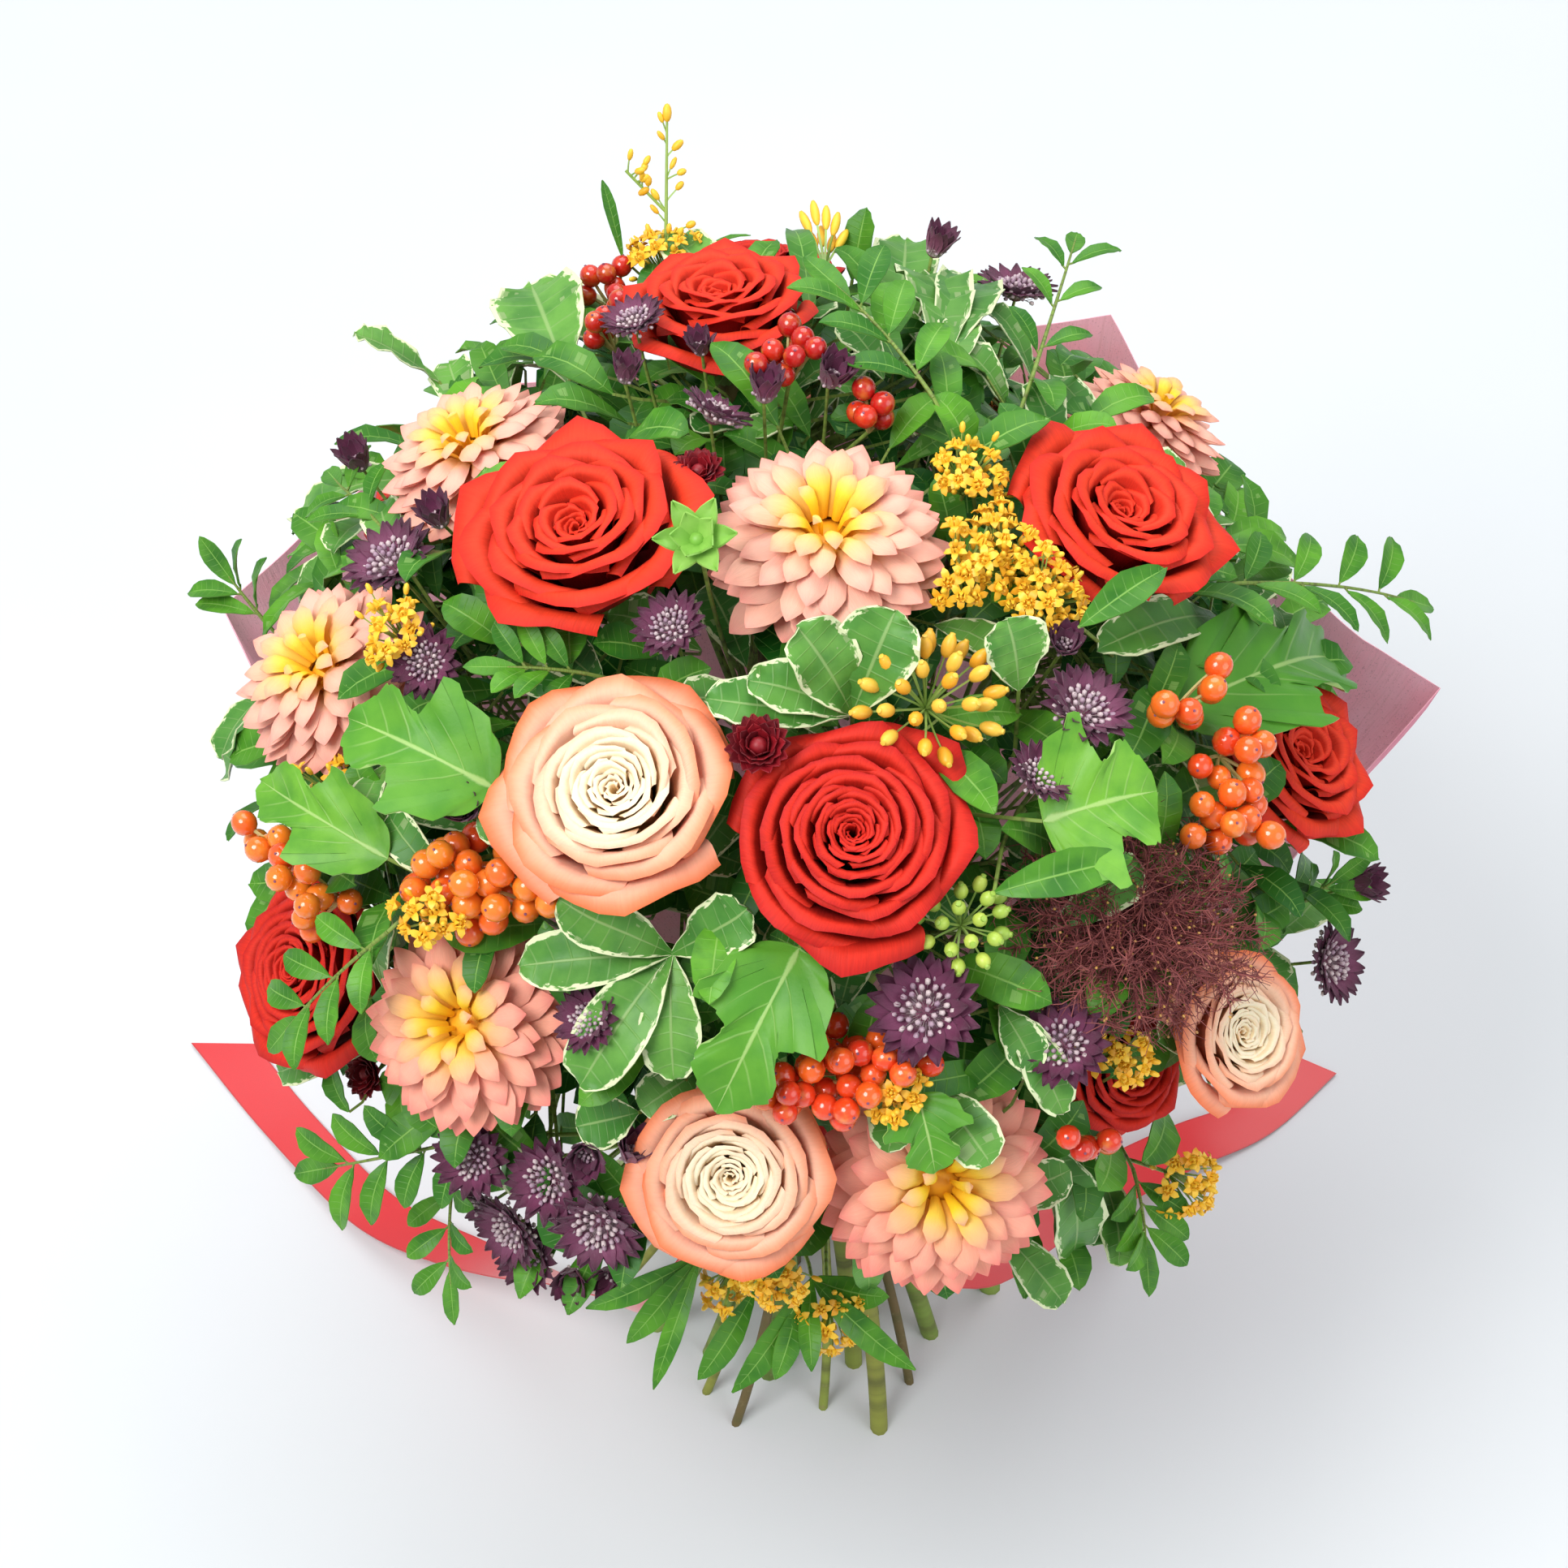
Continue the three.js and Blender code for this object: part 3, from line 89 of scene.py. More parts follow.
# Each bloom: name, where its face is seen in the photograph, width, lift
BLOOMS_IN_VIEW = [
    ("rose_red_front", (1050, 1028), 64, 5),
    ("rose_red_left", (708, 645), 64, 9),
    ("rose_red_right", (1385, 628), 60, 9),
    ("rose_red_top", (885, 362), 54, 4),
    ("rose_red_far_right", (1606, 925), 54, -2),
    ("rose_red_far_left", (368, 1195), 56, 0),
    ("rose_red_low_right", (1390, 1312), 40, -18),
    ("rose_peach_front", (757, 972), 66, 5),
    ("rose_peach_low", (900, 1450), 56, 0),
    ("rose_peach_side", (1530, 1272), 48, 6),
    ("dahlia_top", (1020, 640), 68, 2),
    ("dahlia_upper_left", (570, 535), 60, -3),
    ("dahlia_left", (382, 812), 64, 0),
    ("dahlia_low_left", (558, 1260), 64, 0),
    ("dahlia_low_right", (1165, 1462), 68, 2),
    ("dahlia_upper_right", (1432, 497), 54, -6),
]

# The blooms behind: name, bearing and slant of the face, width, lift
BLOOMS_BEHIND = [
    ("rose_red_back", (96, 56), 60, 0),
    ("dahlia_back", (62, 82), 60, -12),
    ("rose_peach_back", (99, 86), 56, -14),
    ("rose_red_back_left", (137, 82), 58, -8),
]

# Star heads of astrantia, each (x px, y px, width), or (bearing, slant, width, "back") behind the dome
ASTRANTIA = [
    {"name": "astrantia_upper", "heads": [
        (820, 410, 15), (865, 436, 11), (875, 522, 19), (941, 495, 14), (1020, 474, 17), (770, 472, 12),
        (831, 780, 19), (1148, 316, 14)]},
    {"name": "astrantia_left", "heads": [
        (490, 705, 25), (546, 648, 16), (447, 578, 17), (528, 815, 19), (575, 1000, 17),
        (117, 72, 19, "back")]},
    {"name": "astrantia_low_left", "heads": [
        (742, 1500, 25), (640, 1508, 22), (588, 1425, 21), (725, 1415, 17), (706, 1565, 16),
        (732, 1258, 15)]},
    {"name": "astrantia_right", "heads": [
        (1142, 1247, 28), (1312, 1290, 23), (1330, 885, 24), (1275, 962, 18), (1310, 800, 13),
        (1250, 370, 22), (1627, 1185, 23), (1660, 1092, 15), (80, 74, 19, "back")]},
]

# Berries in bunches: from one photo point to another, size, spread to each side, count, lift
BERRIES = [
    {"name": "berries_top", "slot": "red_berries", "tone": 0.95, "bunches": [
        ((732, 338), (775, 322), 6.8, 3, 3, 4), ((738, 395), (765, 356), 6.8, 3, 3, 0),
        ((958, 430), (996, 412), 6.8, 5, 6, 10), ((1050, 478), (1090, 512), 7, 4, 2, 0)]},
    {"name": "berries_right", "slot": "orange_berries", "tone": 0.4, "bunches": [
        ((1442, 868), (1520, 842), 8.2, 4, 4, 12), ((1546, 888), (1546, 940), 8.2, 6, 4, 12),
        ((1528, 978), (1530, 1040), 8.2, 7, 5, 10)]},
    {"name": "berries_left", "slot": "orange_berries", "tone": 0.22, "bunches": [
        ((535, 1062), (575, 1090), 8.4, 11, 7, 4), ((592, 1082), (665, 1115), 8.4, 8, 5, 4),
        ((304, 1012), (360, 1095), 8, 5, 5, 8), ((385, 1070), (378, 1148), 8, 6, 3, 4)]},
    {"name": "berries_front", "slot": "red_berries", "tone": 0.6, "bunches": [
        ((975, 1325), (1045, 1318), 7.6, 9, 6, 3), ((1060, 1300), (1125, 1316), 7.6, 5, 4, 3),
        ((1322, 1402), (1386, 1416), 7.2, 3, 3, 6)]},
]

# Clusters of small florets: at, spread, count, lift
BUTTERFLY_WEED = [
    {"name": "butterfly_weed_right", "clusters": [
        ((1192, 680), 9, 5, 6), ((1250, 668), 10, 6, 8), ((1290, 712), 8, 5, 10), ((1205, 570), 9, 4, 4)]},
    {"name": "butterfly_weed_left", "clusters": [
        ((478, 772), 6, 4, 15), ((394, 978), 8, 5, 0), ((520, 1122), 6, 3, 13), ((815, 292), 9, 4, 6)],
     "spire": (3, (822, 135), 6)},
    {"name": "butterfly_weed_low", "clusters": [
        ((890, 1588), 6, 3, 0), ((950, 1582), 8, 5, 2), ((1030, 1640), 8, 4, 4), ((1105, 1342), 6, 3, 8),
        ((1392, 1300), 7, 3, 2), ((1478, 1462), 8, 4, 2)]},
]

# Umbels of buds on thin rays: at, width, count, lift
UMBELS = {"name": "umbels", "umbels": [
    ((1150, 850), 38, 12, 4), ((1192, 1135), 25, 8, 4), ((861, 668), 22, 7, 16)]}

PLUME = {"name": "smoke_bush", "at": (1392, 1142), "width": 70, "height": 52}

# Foliage: leaves (kind, base, tip, width, lift), whorls (at, tips (at, width, lift)), leaves behind the dome
# (kind, bearing, slant, width) and sprigs (start, end, pairs of leaflets, leaflet, lift)
FOLIAGE = [
    {"name": "viburnum_leaves_right",
     "leaves": [
         ("lobed", (1285, 1012), (1425, 975), 44, 14), ("lobed", (1440, 880), (1645, 812), 40, 4),
         ("lobed", (1130, 1348), (1152, 1445), 22, 16), ("oval", (1225, 1100), (1395, 1058), 13, 18),
         ("oval", (1500, 762), (1352, 800), 17, -2), ("oval", (1330, 772), (1437, 700), 11, 22)],
     "whorls": [],
     "back": [("lobed", 30, 84, 44), ("lobed", 78, 60, 36), ("oval", 44, 66, 20), ("oval", 80, 82, 24)],
     "sprigs": [
         ((1590, 1120), (1648, 1082), 2, 15, 0), ((1500, 720), (1742, 742), 4, 19, 4),
         ((1396, 1440), (1412, 1535), 3, 17, 0)]},
    {"name": "viburnum_leaves_left",
     "leaves": [
         ("lobed", (610, 972), (430, 885), 36, 16), ("lobed", (478, 1058), (322, 962), 26, 12),
         ("oval", (540, 470), (436, 412), 17, 2), ("oval", (336, 850), (272, 935), 16, -10)],
     "whorls": [],
     "back": [("lobed", 118, 86, 38), ("lobed", 160, 84, 36), ("oval", 148, 62, 22), ("oval", 172, 78, 20)],
     "sprigs": [
         ((478, 1148), (352, 1270), 3, 18, 19), ((330, 770), (282, 710), 2, 17, -4),
         ((470, 650), (412, 590), 2, 16, 0)]},
    {"name": "pittosporum_low",
     "leaves": [
         ("lobed", (985, 1168), (882, 1370), 34, 12), ("oval", (1335, 1425), (1346, 1535), 17, -4),
         ("oval", (800, 1380), (710, 1388), 16, 2)],
     "whorls": [
         ((828, 1175), [
             ((688, 1108), 17, 6), ((640, 1190), 18, 4), ((715, 1338), 21, 8), ((830, 1330), 18, 2),
             ((960, 1112), 18, 2)]),
         ((1232, 1240), [((1275, 1318), 13, 4), ((1310, 1372), 14, 8)])],
     "back": [],
     "sprigs": []},
    {"name": "pittosporum_top",
     "leaves": [
         ("oval", (700, 470), (655, 352), 30, -2), ("oval", (1050, 345), (1068, 256), 11, 4),
         ("oval", (1255, 850), (1240, 762), 21, 10)],
     "whorls": [
         ((1050, 880), [
             ((982, 772), 22, 15), ((1104, 752), 24, 14), ((920, 838), 16, 4), ((862, 880), 16, 2)]),
         ((1165, 440), [((1140, 330), 24, -2), ((1200, 350), 22, -6)])],
     "back": [("oval", 118, 44, 24), ("oval", 70, 40, 22), ("oval", 100, 34, 20)],
     "sprigs": [
         ((1150, 490), (1030, 352), 3, 20, 10), ((1270, 470), (1325, 295), 3, 15, 4),
         ((722, 830), (625, 822), 3, 14, 0)]},
    {"name": "strap_leaves_low",
     "leaves": [],
     "whorls": [
         ((862, 1548), [((722, 1612), 11, 2), ((772, 1655), 12, 6), ((805, 1712), 9, 4)]),
         ((1000, 1575), [
             ((902, 1716), 13, 6), ((1128, 1688), 13, 10), ((1095, 1598), 16, -2), ((1000, 1690), 10, 2)])],
     "back": [],
     "sprigs": [((600, 1400), (398, 1440), 4, 19, -2), ((560, 1440), (556, 1585), 3, 15, -6)]},
]

# Corners of the wrapping paper's edge: bearing, radius, height
PAPER_CORNERS = [
    (-28, 120, 205), (15, 223, 270), (38, 196, 276), (58, 205, 330), (92, 194, 294), (122, 208, 293),
    (156, 212, 280), (204, 120, 205),
]
PAPER_PLEATS = 3

# The ribbon's tails: x, y, z, degrees on edge
TAIL_LEFT = [
    (-8, -38, 136, 80), (-28, -56, 112, 74), (-54, -62, 72, 64), (-88, -30, 34, 40),
    (-126, -5, 14, 16), (-160, 18, 5, 5), (-194, 56, 1, 0), (-222, 92, 1, 0),
]
TAIL_RIGHT = [
    (4, -40, 136, 80), (32, -56, 112, 74), (68, -46, 74, 62), (98, -6, 40, 44),
    (126, 26, 16, 20), (154, 48, 5, 6), (182, 64, 1, 0), (208, 90, 1, 0),
]
LOOP = [(3, -1), (24, 14), (48, 17), (58, 6), (48, -6), (24, -8), (3, -5)]
BAND_HEIGHT = TIE_HEIGHT - 3


# Places

def point(x, y, z):
    return np.array([x, y, z], dtype=float)


UP = point(0, 0, 1)
CENTRE = point(0, 0, DOME_CENTRE)
FAN = point(0, 0, FAN_HEIGHT)


def unit(v):
    return v / np.linalg.norm(v)


def units(vectors):
    """Each vector of an array, made 1 long"""
    return vectors / np.maximum(np.linalg.norm(vectors, axis=-1, keepdims=True), TINY)


def mix(a, b, t):
    return a + (b - a) * t


def at_bearing(degrees, radius, height):
    turn = math.radians(degrees)
    return point(radius * math.cos(turn), radius * math.sin(turn), height)


VIEW_BACK = point(0, -math.cos(VIEW_ELEVATION), math.sin(VIEW_ELEVATION))
VIEW_UP = point(0, math.sin(VIEW_ELEVATION), math.cos(VIEW_ELEVATION))
EYE = CENTRE + VIEW_BACK * VIEW_DISTANCE


def seen(px, lift=0):
    """The point of the dome, grown by lift, under a photo point, or the nearest where the dome is missed."""
    ray = unit(-FOCAL_PX * VIEW_BACK + point(px[0] - DOME_PX[0], 0, 0) + VIEW_UP * (DOME_PX[1] - px[1]))
    dome = point(DOME_RADIUS + lift, DOME_RADIUS + lift, DOME_HALF_HEIGHT + lift)
    start = (EYE - CENTRE) / dome
    way = ray / dome
    a, b, c = way @ way, start @ way, start @ start - 1
    inside = b * b - a * c
    return EYE + ray * ((-b - math.sqrt(inside)) / a if inside > 0 else -b / a)


def behind(bearing, slant, lift=0):
    """The point of the dome, grown by lift, at a bearing and at a slant from upright, in degrees"""
    lean = math.radians(slant)
    height = DOME_CENTRE + (DOME_HALF_HEIGHT + lift) * math.cos(lean)
    return at_bearing(bearing, (DOME_RADIUS + lift) * math.sin(lean), height)


def outward(place):
    """The way in which a thing at a place grows, out of the fan of stems"""
    return unit(place - FAN)


def turn_about_z(angle):
    c, s = math.cos(angle), math.sin(angle)
    return np.array([[c, -s, 0], [s, c, 0], [0, 0, 1]])


def facing(axis):
    """The shortest turn that takes +Z to an axis, as a matrix"""
    v = np.cross(UP, axis)
    k = np.array([[0, -v[2], v[1]], [v[2], 0, -v[0]], [-v[1], v[0], 0]])
    return np.eye(3) + k + k @ k / (1 + UP @ axis)


class Frame:
    """Stands a shape drawn along +Z on a place, along an axis, turned about it by spin."""

    def __init__(self, place, axis, spin=0.0):
        self.place = place
        self.axis = axis
        self.turn = facing(axis) @ turn_about_z(spin)

    def put(self, points):
        return self.place + np.asarray(points) @ self.turn.T

    def put_grid(self, grid, spin, size):
        """A grid of points, turned about +Z by spin and scaled before it is put in place"""
        return self.put((grid.reshape(-1, 3) @ turn_about_z(spin).T) * size).reshape(grid.shape)


# Ways for stems, clear of everything that is kept as fat straight stretches

class Taken:
    def __init__(self):
        self.starts, self.ends, self.radii, self.owners = [], [], [], []
        self.arrays = None

    def take(self, points, radius, owner):
        for a, b in zip(points[:-1], points[1:]):
            self.starts.append(a)
            self.ends.append(b)
            self.radii.append(radius)
            self.owners.append(owner)
        self.arrays = None

    def take_ball(self, place, radius, owner):
        self.take([place, place], radius, owner)

    def packed(self):
        if self.arrays is None:
            self.arrays = (
                np.array(self.starts), np.array(self.ends), np.array(self.radii), np.array(self.owners))
        return self.arrays

    def others(self, owner):
        starts, ends, radii, owners = self.packed()
        keep = owners != owner
        return starts[keep], ends[keep], radii[keep]


taken = Taken()


def gaps_between(a, b, starts, ends):
    """The distances between one straight stretch and many"""
    u, v, w = b - a, ends - starts, a - starts
    uu, uv, vv = u @ u, v @ u, np.einsum("ij,ij->i", v, v)
    uw, vw = w @ u, np.einsum("ij,ij->i", v, w)
    spread = uu * vv - uv * uv
    safe = np.where(spread > TINY, spread, 1)
    s = np.where(spread > TINY, np.clip((uv * vw - vv * uw) / safe, 0, 1), 0)
    safe = np.where(vv > TINY, vv, 1)
    t = np.where(vv > TINY, np.clip((uv * s + vw) / safe, 0, 1), 0)
    s = np.clip((uv * t - uw) / uu, 0, 1) if uu > TINY else np.zeros(len(v))
    return np.linalg.norm(w + u * s[:, None] - v * t[:, None], axis=1)


def clearance(points, radius, others):
    """The room that a thing of that radius has along its points, or less where it runs through another"""
    starts, ends, radii = others
    if not len(radii):
        return math.inf
    gaps = [gaps_between(a, b, starts, ends) for a, b in zip(points[:-1], points[1:])]
    least = np.minimum.accumulate(np.min(gaps, axis=0) - radii - radius)
    crossed = np.nonzero(least < -radius)[0]
    return least[crossed[0]] if len(crossed) else least[-1]


def bezier(controls, count):
    a, b, c, d = controls
    t = np.linspace(0, 1, count)[:, None]
    return a * (1 - t) ** 3 + 3 * b * (1 - t) ** 2 * t + 3 * c * (1 - t) * t ** 2 + d * t ** 3


# A way bows by these shares of its span, to so many sides. Its handles reach a share of the span too.
BOWS = (0, 0.05, 0.1, 0.15, 0.2, 0.27, 0.35, 0.45)
BOW_SIDES = 12
HANDLE = 0.36


def free_way(start, leave, end, arrive, radius, owner, parts):
    """(control points, points, clearance) of a curve that bows round what is in its way, but not more"""
    span = np.linalg.norm(end - start)
    way = unit(end - start)
    side = unit(np.cross(way, UP if abs(way[2]) < 0.9 else point(1, 0, 0)))
    other = np.cross(way, side)
    others = taken.others(owner)
    best = (None, None, -math.inf)
    for bow in BOWS:
        for turn in range(BOW_SIDES if bow else 1):
            angle = 2 * math.pi * turn / BOW_SIDES
            shift = (side * math.cos(angle) + other * math.sin(angle)) * bow * span
            for low, high in ((1, 1), (1, 0), (0, 1)):
                first = start + leave * HANDLE * span + shift * low
                second = end - arrive * HANDLE * span + shift * high
                controls = (start, first, second, end)
                points = bezier(controls, parts + 1)
                clear = clearance(points, radius, others)
                if clear > best[2]:
                    best = (controls, points, clear)
                if clear > ROOM:
                    return best
    return best


NUDGES = 8
NUDGE_REACH = 30
NUDGE_OUTWARD = 0.4


def nudge(place, radius):
    """Moves a place off what is already there, so that a thing of that radius has room."""
    free = place.copy()
    starts, ends, radii, _ = taken.packed()
    spans = ends - starts
    squares = np.einsum("ij,ij->i", spans, spans)
    safe = np.where(squares > 0, squares, 1)
    share = np.clip(np.where(squares > 0, np.einsum("ij,ij->i", spans, free - starts) / safe, 0), 0, 1)
    near = np.linalg.norm(free - starts - spans * share[:, None], axis=1) - radii - radius
    for _ in range(NUDGES):
        for i in np.nonzero(near < NUDGE_REACH)[0]:
            t = 0 if squares[i] == 0 else min(1, max(0, spans[i] @ (free - starts[i]) / squares[i]))
            away = free - starts[i] - spans[i] * t
            short = radii[i] + radius + ROOM - math.sqrt(away @ away)
            if short > 0:
                free = free + unit(unit(away) + NUDGE_OUTWARD * outward(free)) * short
    return free


def rotated(spot, angle):
    c, s = math.cos(angle), math.sin(angle)
    return np.array([spot[0] * c - spot[1] * s, spot[0] * s + spot[1] * c])


PACK_TURNS = 600
PULL_TURNS = 400
PULL = 0.985
SWAP_ROUNDS = 4


def pack_bundle(stems, blooms):
    """Where the stems cross the tie: pulled in, pushed apart, then swapped towards their places above"""
    wish = [rotated(stem["top"][:2] * TIE_RADIUS / DOME_RADIUS, -TWIST_ABOVE) for stem in stems]
    spots = [spot.tolist() for spot in wish]
    apart = [[a["radius"] + b["radius"] + TIE_GAP for b in stems] for a in stems]
    for turn in range(PACK_TURNS):
        if turn < PULL_TURNS:
            for spot in spots:
                spot[0] *= PULL
                spot[1] *= PULL
        for i, a in enumerate(spots):
            for j in range(i):
                b = spots[j]
                x, y = b[0] - a[0], b[1] - a[1]
                length = math.sqrt(x * x + y * y)
                short = apart[i][j] - length
                if short <= 0:
                    continue
                x, y = x / length * short / 2, y / length * short / 2
                a[0] -= x
                a[1] -= y
                b[0] += x
                b[1] += y
    spots = [np.array(spot) for spot in spots]
    for _ in range(SWAP_ROUNDS):
        for i in range(len(spots)):
            for j in range(i):
                if stems[i]["radius"] != stems[j]["radius"]:
                    continue
                kept = spots[i] @ wish[i] + spots[j] @ wish[j]
                swapped = spots[j] @ wish[i] + spots[i] @ wish[j]
                if swapped > kept:
                    spots[i], spots[j] = spots[j], spots[i]
    middle = min(spots[:blooms], key=np.linalg.norm).copy()
    return [spot - middle for spot in spots]


FLARE = TIE_HEIGHT / math.sqrt(FOOT_SPREAD ** 2 - 1)


def below_tie(spot, height):
    """Where a stem that crosses the tie at a spot is at a height below it: they splay and twist"""
    drop = TIE_HEIGHT - height
    flat = rotated(spot * math.hypot(1, drop / FLARE), -TWIST_BELOW * drop / TIE_HEIGHT)
    return point(flat[0], flat[1], height)


# Meshes

class Heap:
    """The points, faces and marks of one piece. Marks are along, across, shade and side.
    Faces get the material that use() named last."""

    def __init__(self, *materials):
        self.points, self.marks, self.faces, self.paints = [], [], [], []
        self.count = 0
        self.materials = materials
        self.use(materials[0])

    def use(self, material):
        self.paint = self.materials.index(material)

    def add(self, points, marks, *face_sets):
        points = np.asarray(points).reshape(-1, 3)
        self.points.append(points)
        self.marks.append(np.asarray(marks).reshape(-1, 4))
        for faces in face_sets:
            self.faces.extend((np.asarray(faces) + self.count).tolist())
            self.paints.append(np.full(len(faces), self.paint))
        self.count += len(points)

    def build(self, name, slot, node, sharp=50):
        mesh = bpy.data.meshes.new(name)
        mesh.from_pydata(np.concatenate(self.points) * MM, [], self.faces)
        marks = np.concatenate(self.marks)
        for n, label in enumerate(("along", "across", "shade", "side")):
            layer = mesh.attributes.new(label, "FLOAT", "POINT")
            layer.data.foreach_set("value", marks[:, n].astype(np.float32))
        for material in self.materials:
            mesh.materials.append(material)
        mesh.polygons.foreach_set("material_index", np.concatenate(self.paints).astype(np.int32))
        mesh.shade_smooth()
        mesh.set_sharp_from_angle(angle=math.radians(sharp))
        mesh.update()
        piece = bpy.data.objects.new(name, mesh)
        bpy.context.scene.collection.objects.link(piece)
        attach(piece, "root")
        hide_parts(node)
        return piece


def strip_faces(first, second, closed=False):
    """Quads between two equal rows of point numbers"""
    a, b = np.asarray(first), np.asarray(second)
    if closed:
        return np.stack([a, np.roll(a, -1), np.roll(b, -1), b], axis=1)
    return np.stack([a[:-1], a[1:], b[1:], b[:-1]], axis=1)


def ring_faces(number):
    """Quads between closed rings of point numbers"""
    return np.concatenate([strip_faces(a, b, True) for a, b in zip(number[:-1], number[1:])])


def marks_along(along, shade):
    marks = np.zeros((len(along), 4))
    marks[:, 0] = along
    marks[:, 2] = shade
    return marks


SHEET_FACES = {}


def sheet_faces(rows, columns):
    """Faces of a grid of points made solid: its front, its back and the rim between them"""
    if (rows, columns) not in SHEET_FACES:
        front = np.arange(rows * columns).reshape(rows, columns)
        back = front + rows * columns
        strips = [strip_faces(front[i + 1], front[i]) for i in range(rows - 1)]
        strips += [strip_faces(back[i], back[i + 1]) for i in range(rows - 1)]
        strips += [strip_faces(front[0], back[0]), strip_faces(back[-1], front[-1])]
        strips += [strip_faces(back[:, 0], front[:, 0]), strip_faces(front[:, -1], back[:, -1])]
        SHEET_FACES[rows, columns] = np.concatenate(strips)
    return SHEET_FACES[rows, columns]


def sheet(heap, grid, thickness, along, across, shade):
    """A grid of points made solid. along and across are marks of its rows and columns, or whole grids."""
    rows, columns = grid.shape[:2]
    normal = units(np.cross(np.gradient(grid, axis=0), np.gradient(grid, axis=1)))
    along = np.asarray(along).reshape(-1, 1) if np.ndim(along) < 2 else along
    marks = np.zeros((rows, columns, 4))
    marks[:, :, 0] = along
    marks[:, :, 1] = across
    marks[:, :, 2] = shade
    under = marks.copy()
    under[:, :, 3] = 1
    half = np.asarray(thickness).reshape(-1, 1, 1) / 2 if np.ndim(thickness) else thickness / 2
    points = np.concatenate([(grid + normal * half).reshape(-1, 3), (grid - normal * half).reshape(-1, 3)])
    marks = np.concatenate([marks.reshape(-1, 4), under.reshape(-1, 4)])
    heap.add(points, marks, sheet_faces(rows, columns))


def blade(frame, line, half, v, spin, size, lift=0):
    """Grid of a small petal: a line in the plane y = 0, as wide to each side as half says, lifted by lift"""
    grid = line[:, None, :] + point(0, 1, 0) * (v[None, :] * half[:, None])[:, :, None]
    grid[:, :, 2] += lift
    return frame.put_grid(grid, spin, size)


def closed_skin(heap, points, sides, along, shade):
    """A skin over points that are one end, rings with that many sides, and the other end"""
    last = len(points) - 1
    rings = np.arange(1, last).reshape(-1, sides)
    low, high = rings[0], rings[-1]
    caps = np.concatenate([
        np.stack([np.zeros(sides, int), np.roll(low, -1), low], axis=1),
        np.stack([np.full(sides, last), high, np.roll(high, -1)], axis=1)])
    heap.add(points, marks_along(along, shade), ring_faces(rings), caps)


def turned(heap, profile, frame, sides, shade, size=1):
    """A solid of revolution along +Z of a frame. The profile's two ends lie on the axis."""
    profile = np.asarray(profile, dtype=float) * size
    turn = np.arange(sides) * 2 * math.pi / sides
    inner = profile[1:-1]
    heights = np.repeat(inner[:, 1:], sides, axis=1)
    rings = np.stack([inner[:, :1] * np.cos(turn), inner[:, :1] * np.sin(turn), heights], axis=2)
    points = np.concatenate([[[0, 0, profile[0, 1]]], rings.reshape(-1, 3), [[0, 0, profile[-1, 1]]]])
    steps = np.linspace(0, 1, len(profile))
    along = np.concatenate([[0], np.repeat(steps[1:-1], sides), [1]])
    closed_skin(heap, frame.put(points), sides, along, shade)


def ball(heap, place, axis, radius, length, sides, rows, shade):
    """An egg round a place, its long axis along axis"""
    lean = np.linspace(0, math.pi, rows)
    profile = np.stack([radius * np.sin(lean), -length * np.cos(lean)], axis=1)
    turned(heap, profile, Frame(place, axis), sides, shade)


def rings_along(points, radii, sides):
    """Rings of points round a line, without twist"""
    points = np.asarray(points)
    ways = units(np.gradient(points, axis=0))
    side = unit(np.cross(ways[0], point(0.3, 0.9, 0.2)))
    turn = np.arange(sides) * 2 * math.pi / sides
    rings = []
    for place, way, radius in zip(points, ways, np.broadcast_to(radii, len(points))):
        side = unit(side - way * (side @ way))
        other = np.cross(way, side)
        rings.append(place + radius * (np.cos(turn)[:, None] * side + np.sin(turn)[:, None] * other))
    return np.array(rings), ways


def tube(heap, points, radii, sides, shade, foot=False):
    """A closed tube. With foot, its start is cut level with the floor and marked as a cut end."""
    rings, ways = rings_along(points, radii, sides)
    if foot:
        rings[0] -= ways[0] * (rings[0][:, 2:] / ways[0][2])
    rows = len(rings)
    along = np.repeat(np.linspace(0, 1, rows), sides)
    heap.add(rings, marks_along(along, shade), ring_faces(np.arange(rows * sides).reshape(rows, sides)))
    for ring, order in ((rings[0], 1), (rings[-1], -1)):
        centre = ring.mean(axis=0)
        cut = 1.0 if foot and order == 1 else 0.0
        marks = np.full((sides + 1, 4), [0.5, 0, shade, cut])
        n = np.arange(sides)
        after = (n + 1) % sides
        fan = np.stack([np.full(sides, sides), after, n], axis=1)[:, ::order]
        heap.add(np.concatenate([ring, [centre]]), marks, fan)


def hairs(heap, lines, radii, shade):
    """Many fine three-sided tubes at once. lines is hairs by points by 3, radii one for each point."""
    count, steps = lines.shape[:2]
    ways = np.gradient(lines, axis=1)
    side = units(np.cross(ways, point(0.37, 0.61, 0.7)))
    other = units(np.cross(ways, side))
    turn = np.arange(3) * 2 * math.pi / 3
    ring = np.cos(turn)[:, None] * side[:, :, None] + np.sin(turn)[:, None] * other[:, :, None]
    points = lines[:, :, None] + ring * np.asarray(radii)[None, :, None, None]
    number = np.arange(count * steps * 3).reshape(count, steps, 3)
    low, high = number[:, :-1], number[:, 1:]
    faces = np.stack([low, np.roll(low, -1, axis=2), np.roll(high, -1, axis=2), high], axis=3).reshape(-1, 4)
    along = np.broadcast_to(np.linspace(0, 1, steps)[None, :, None], (count, steps, 3)).ravel()
    shades = np.broadcast_to(np.asarray(shade).reshape(-1, 1, 1), (count, steps, 3)).ravel()
    heap.add(points, marks_along(along, shades), faces)


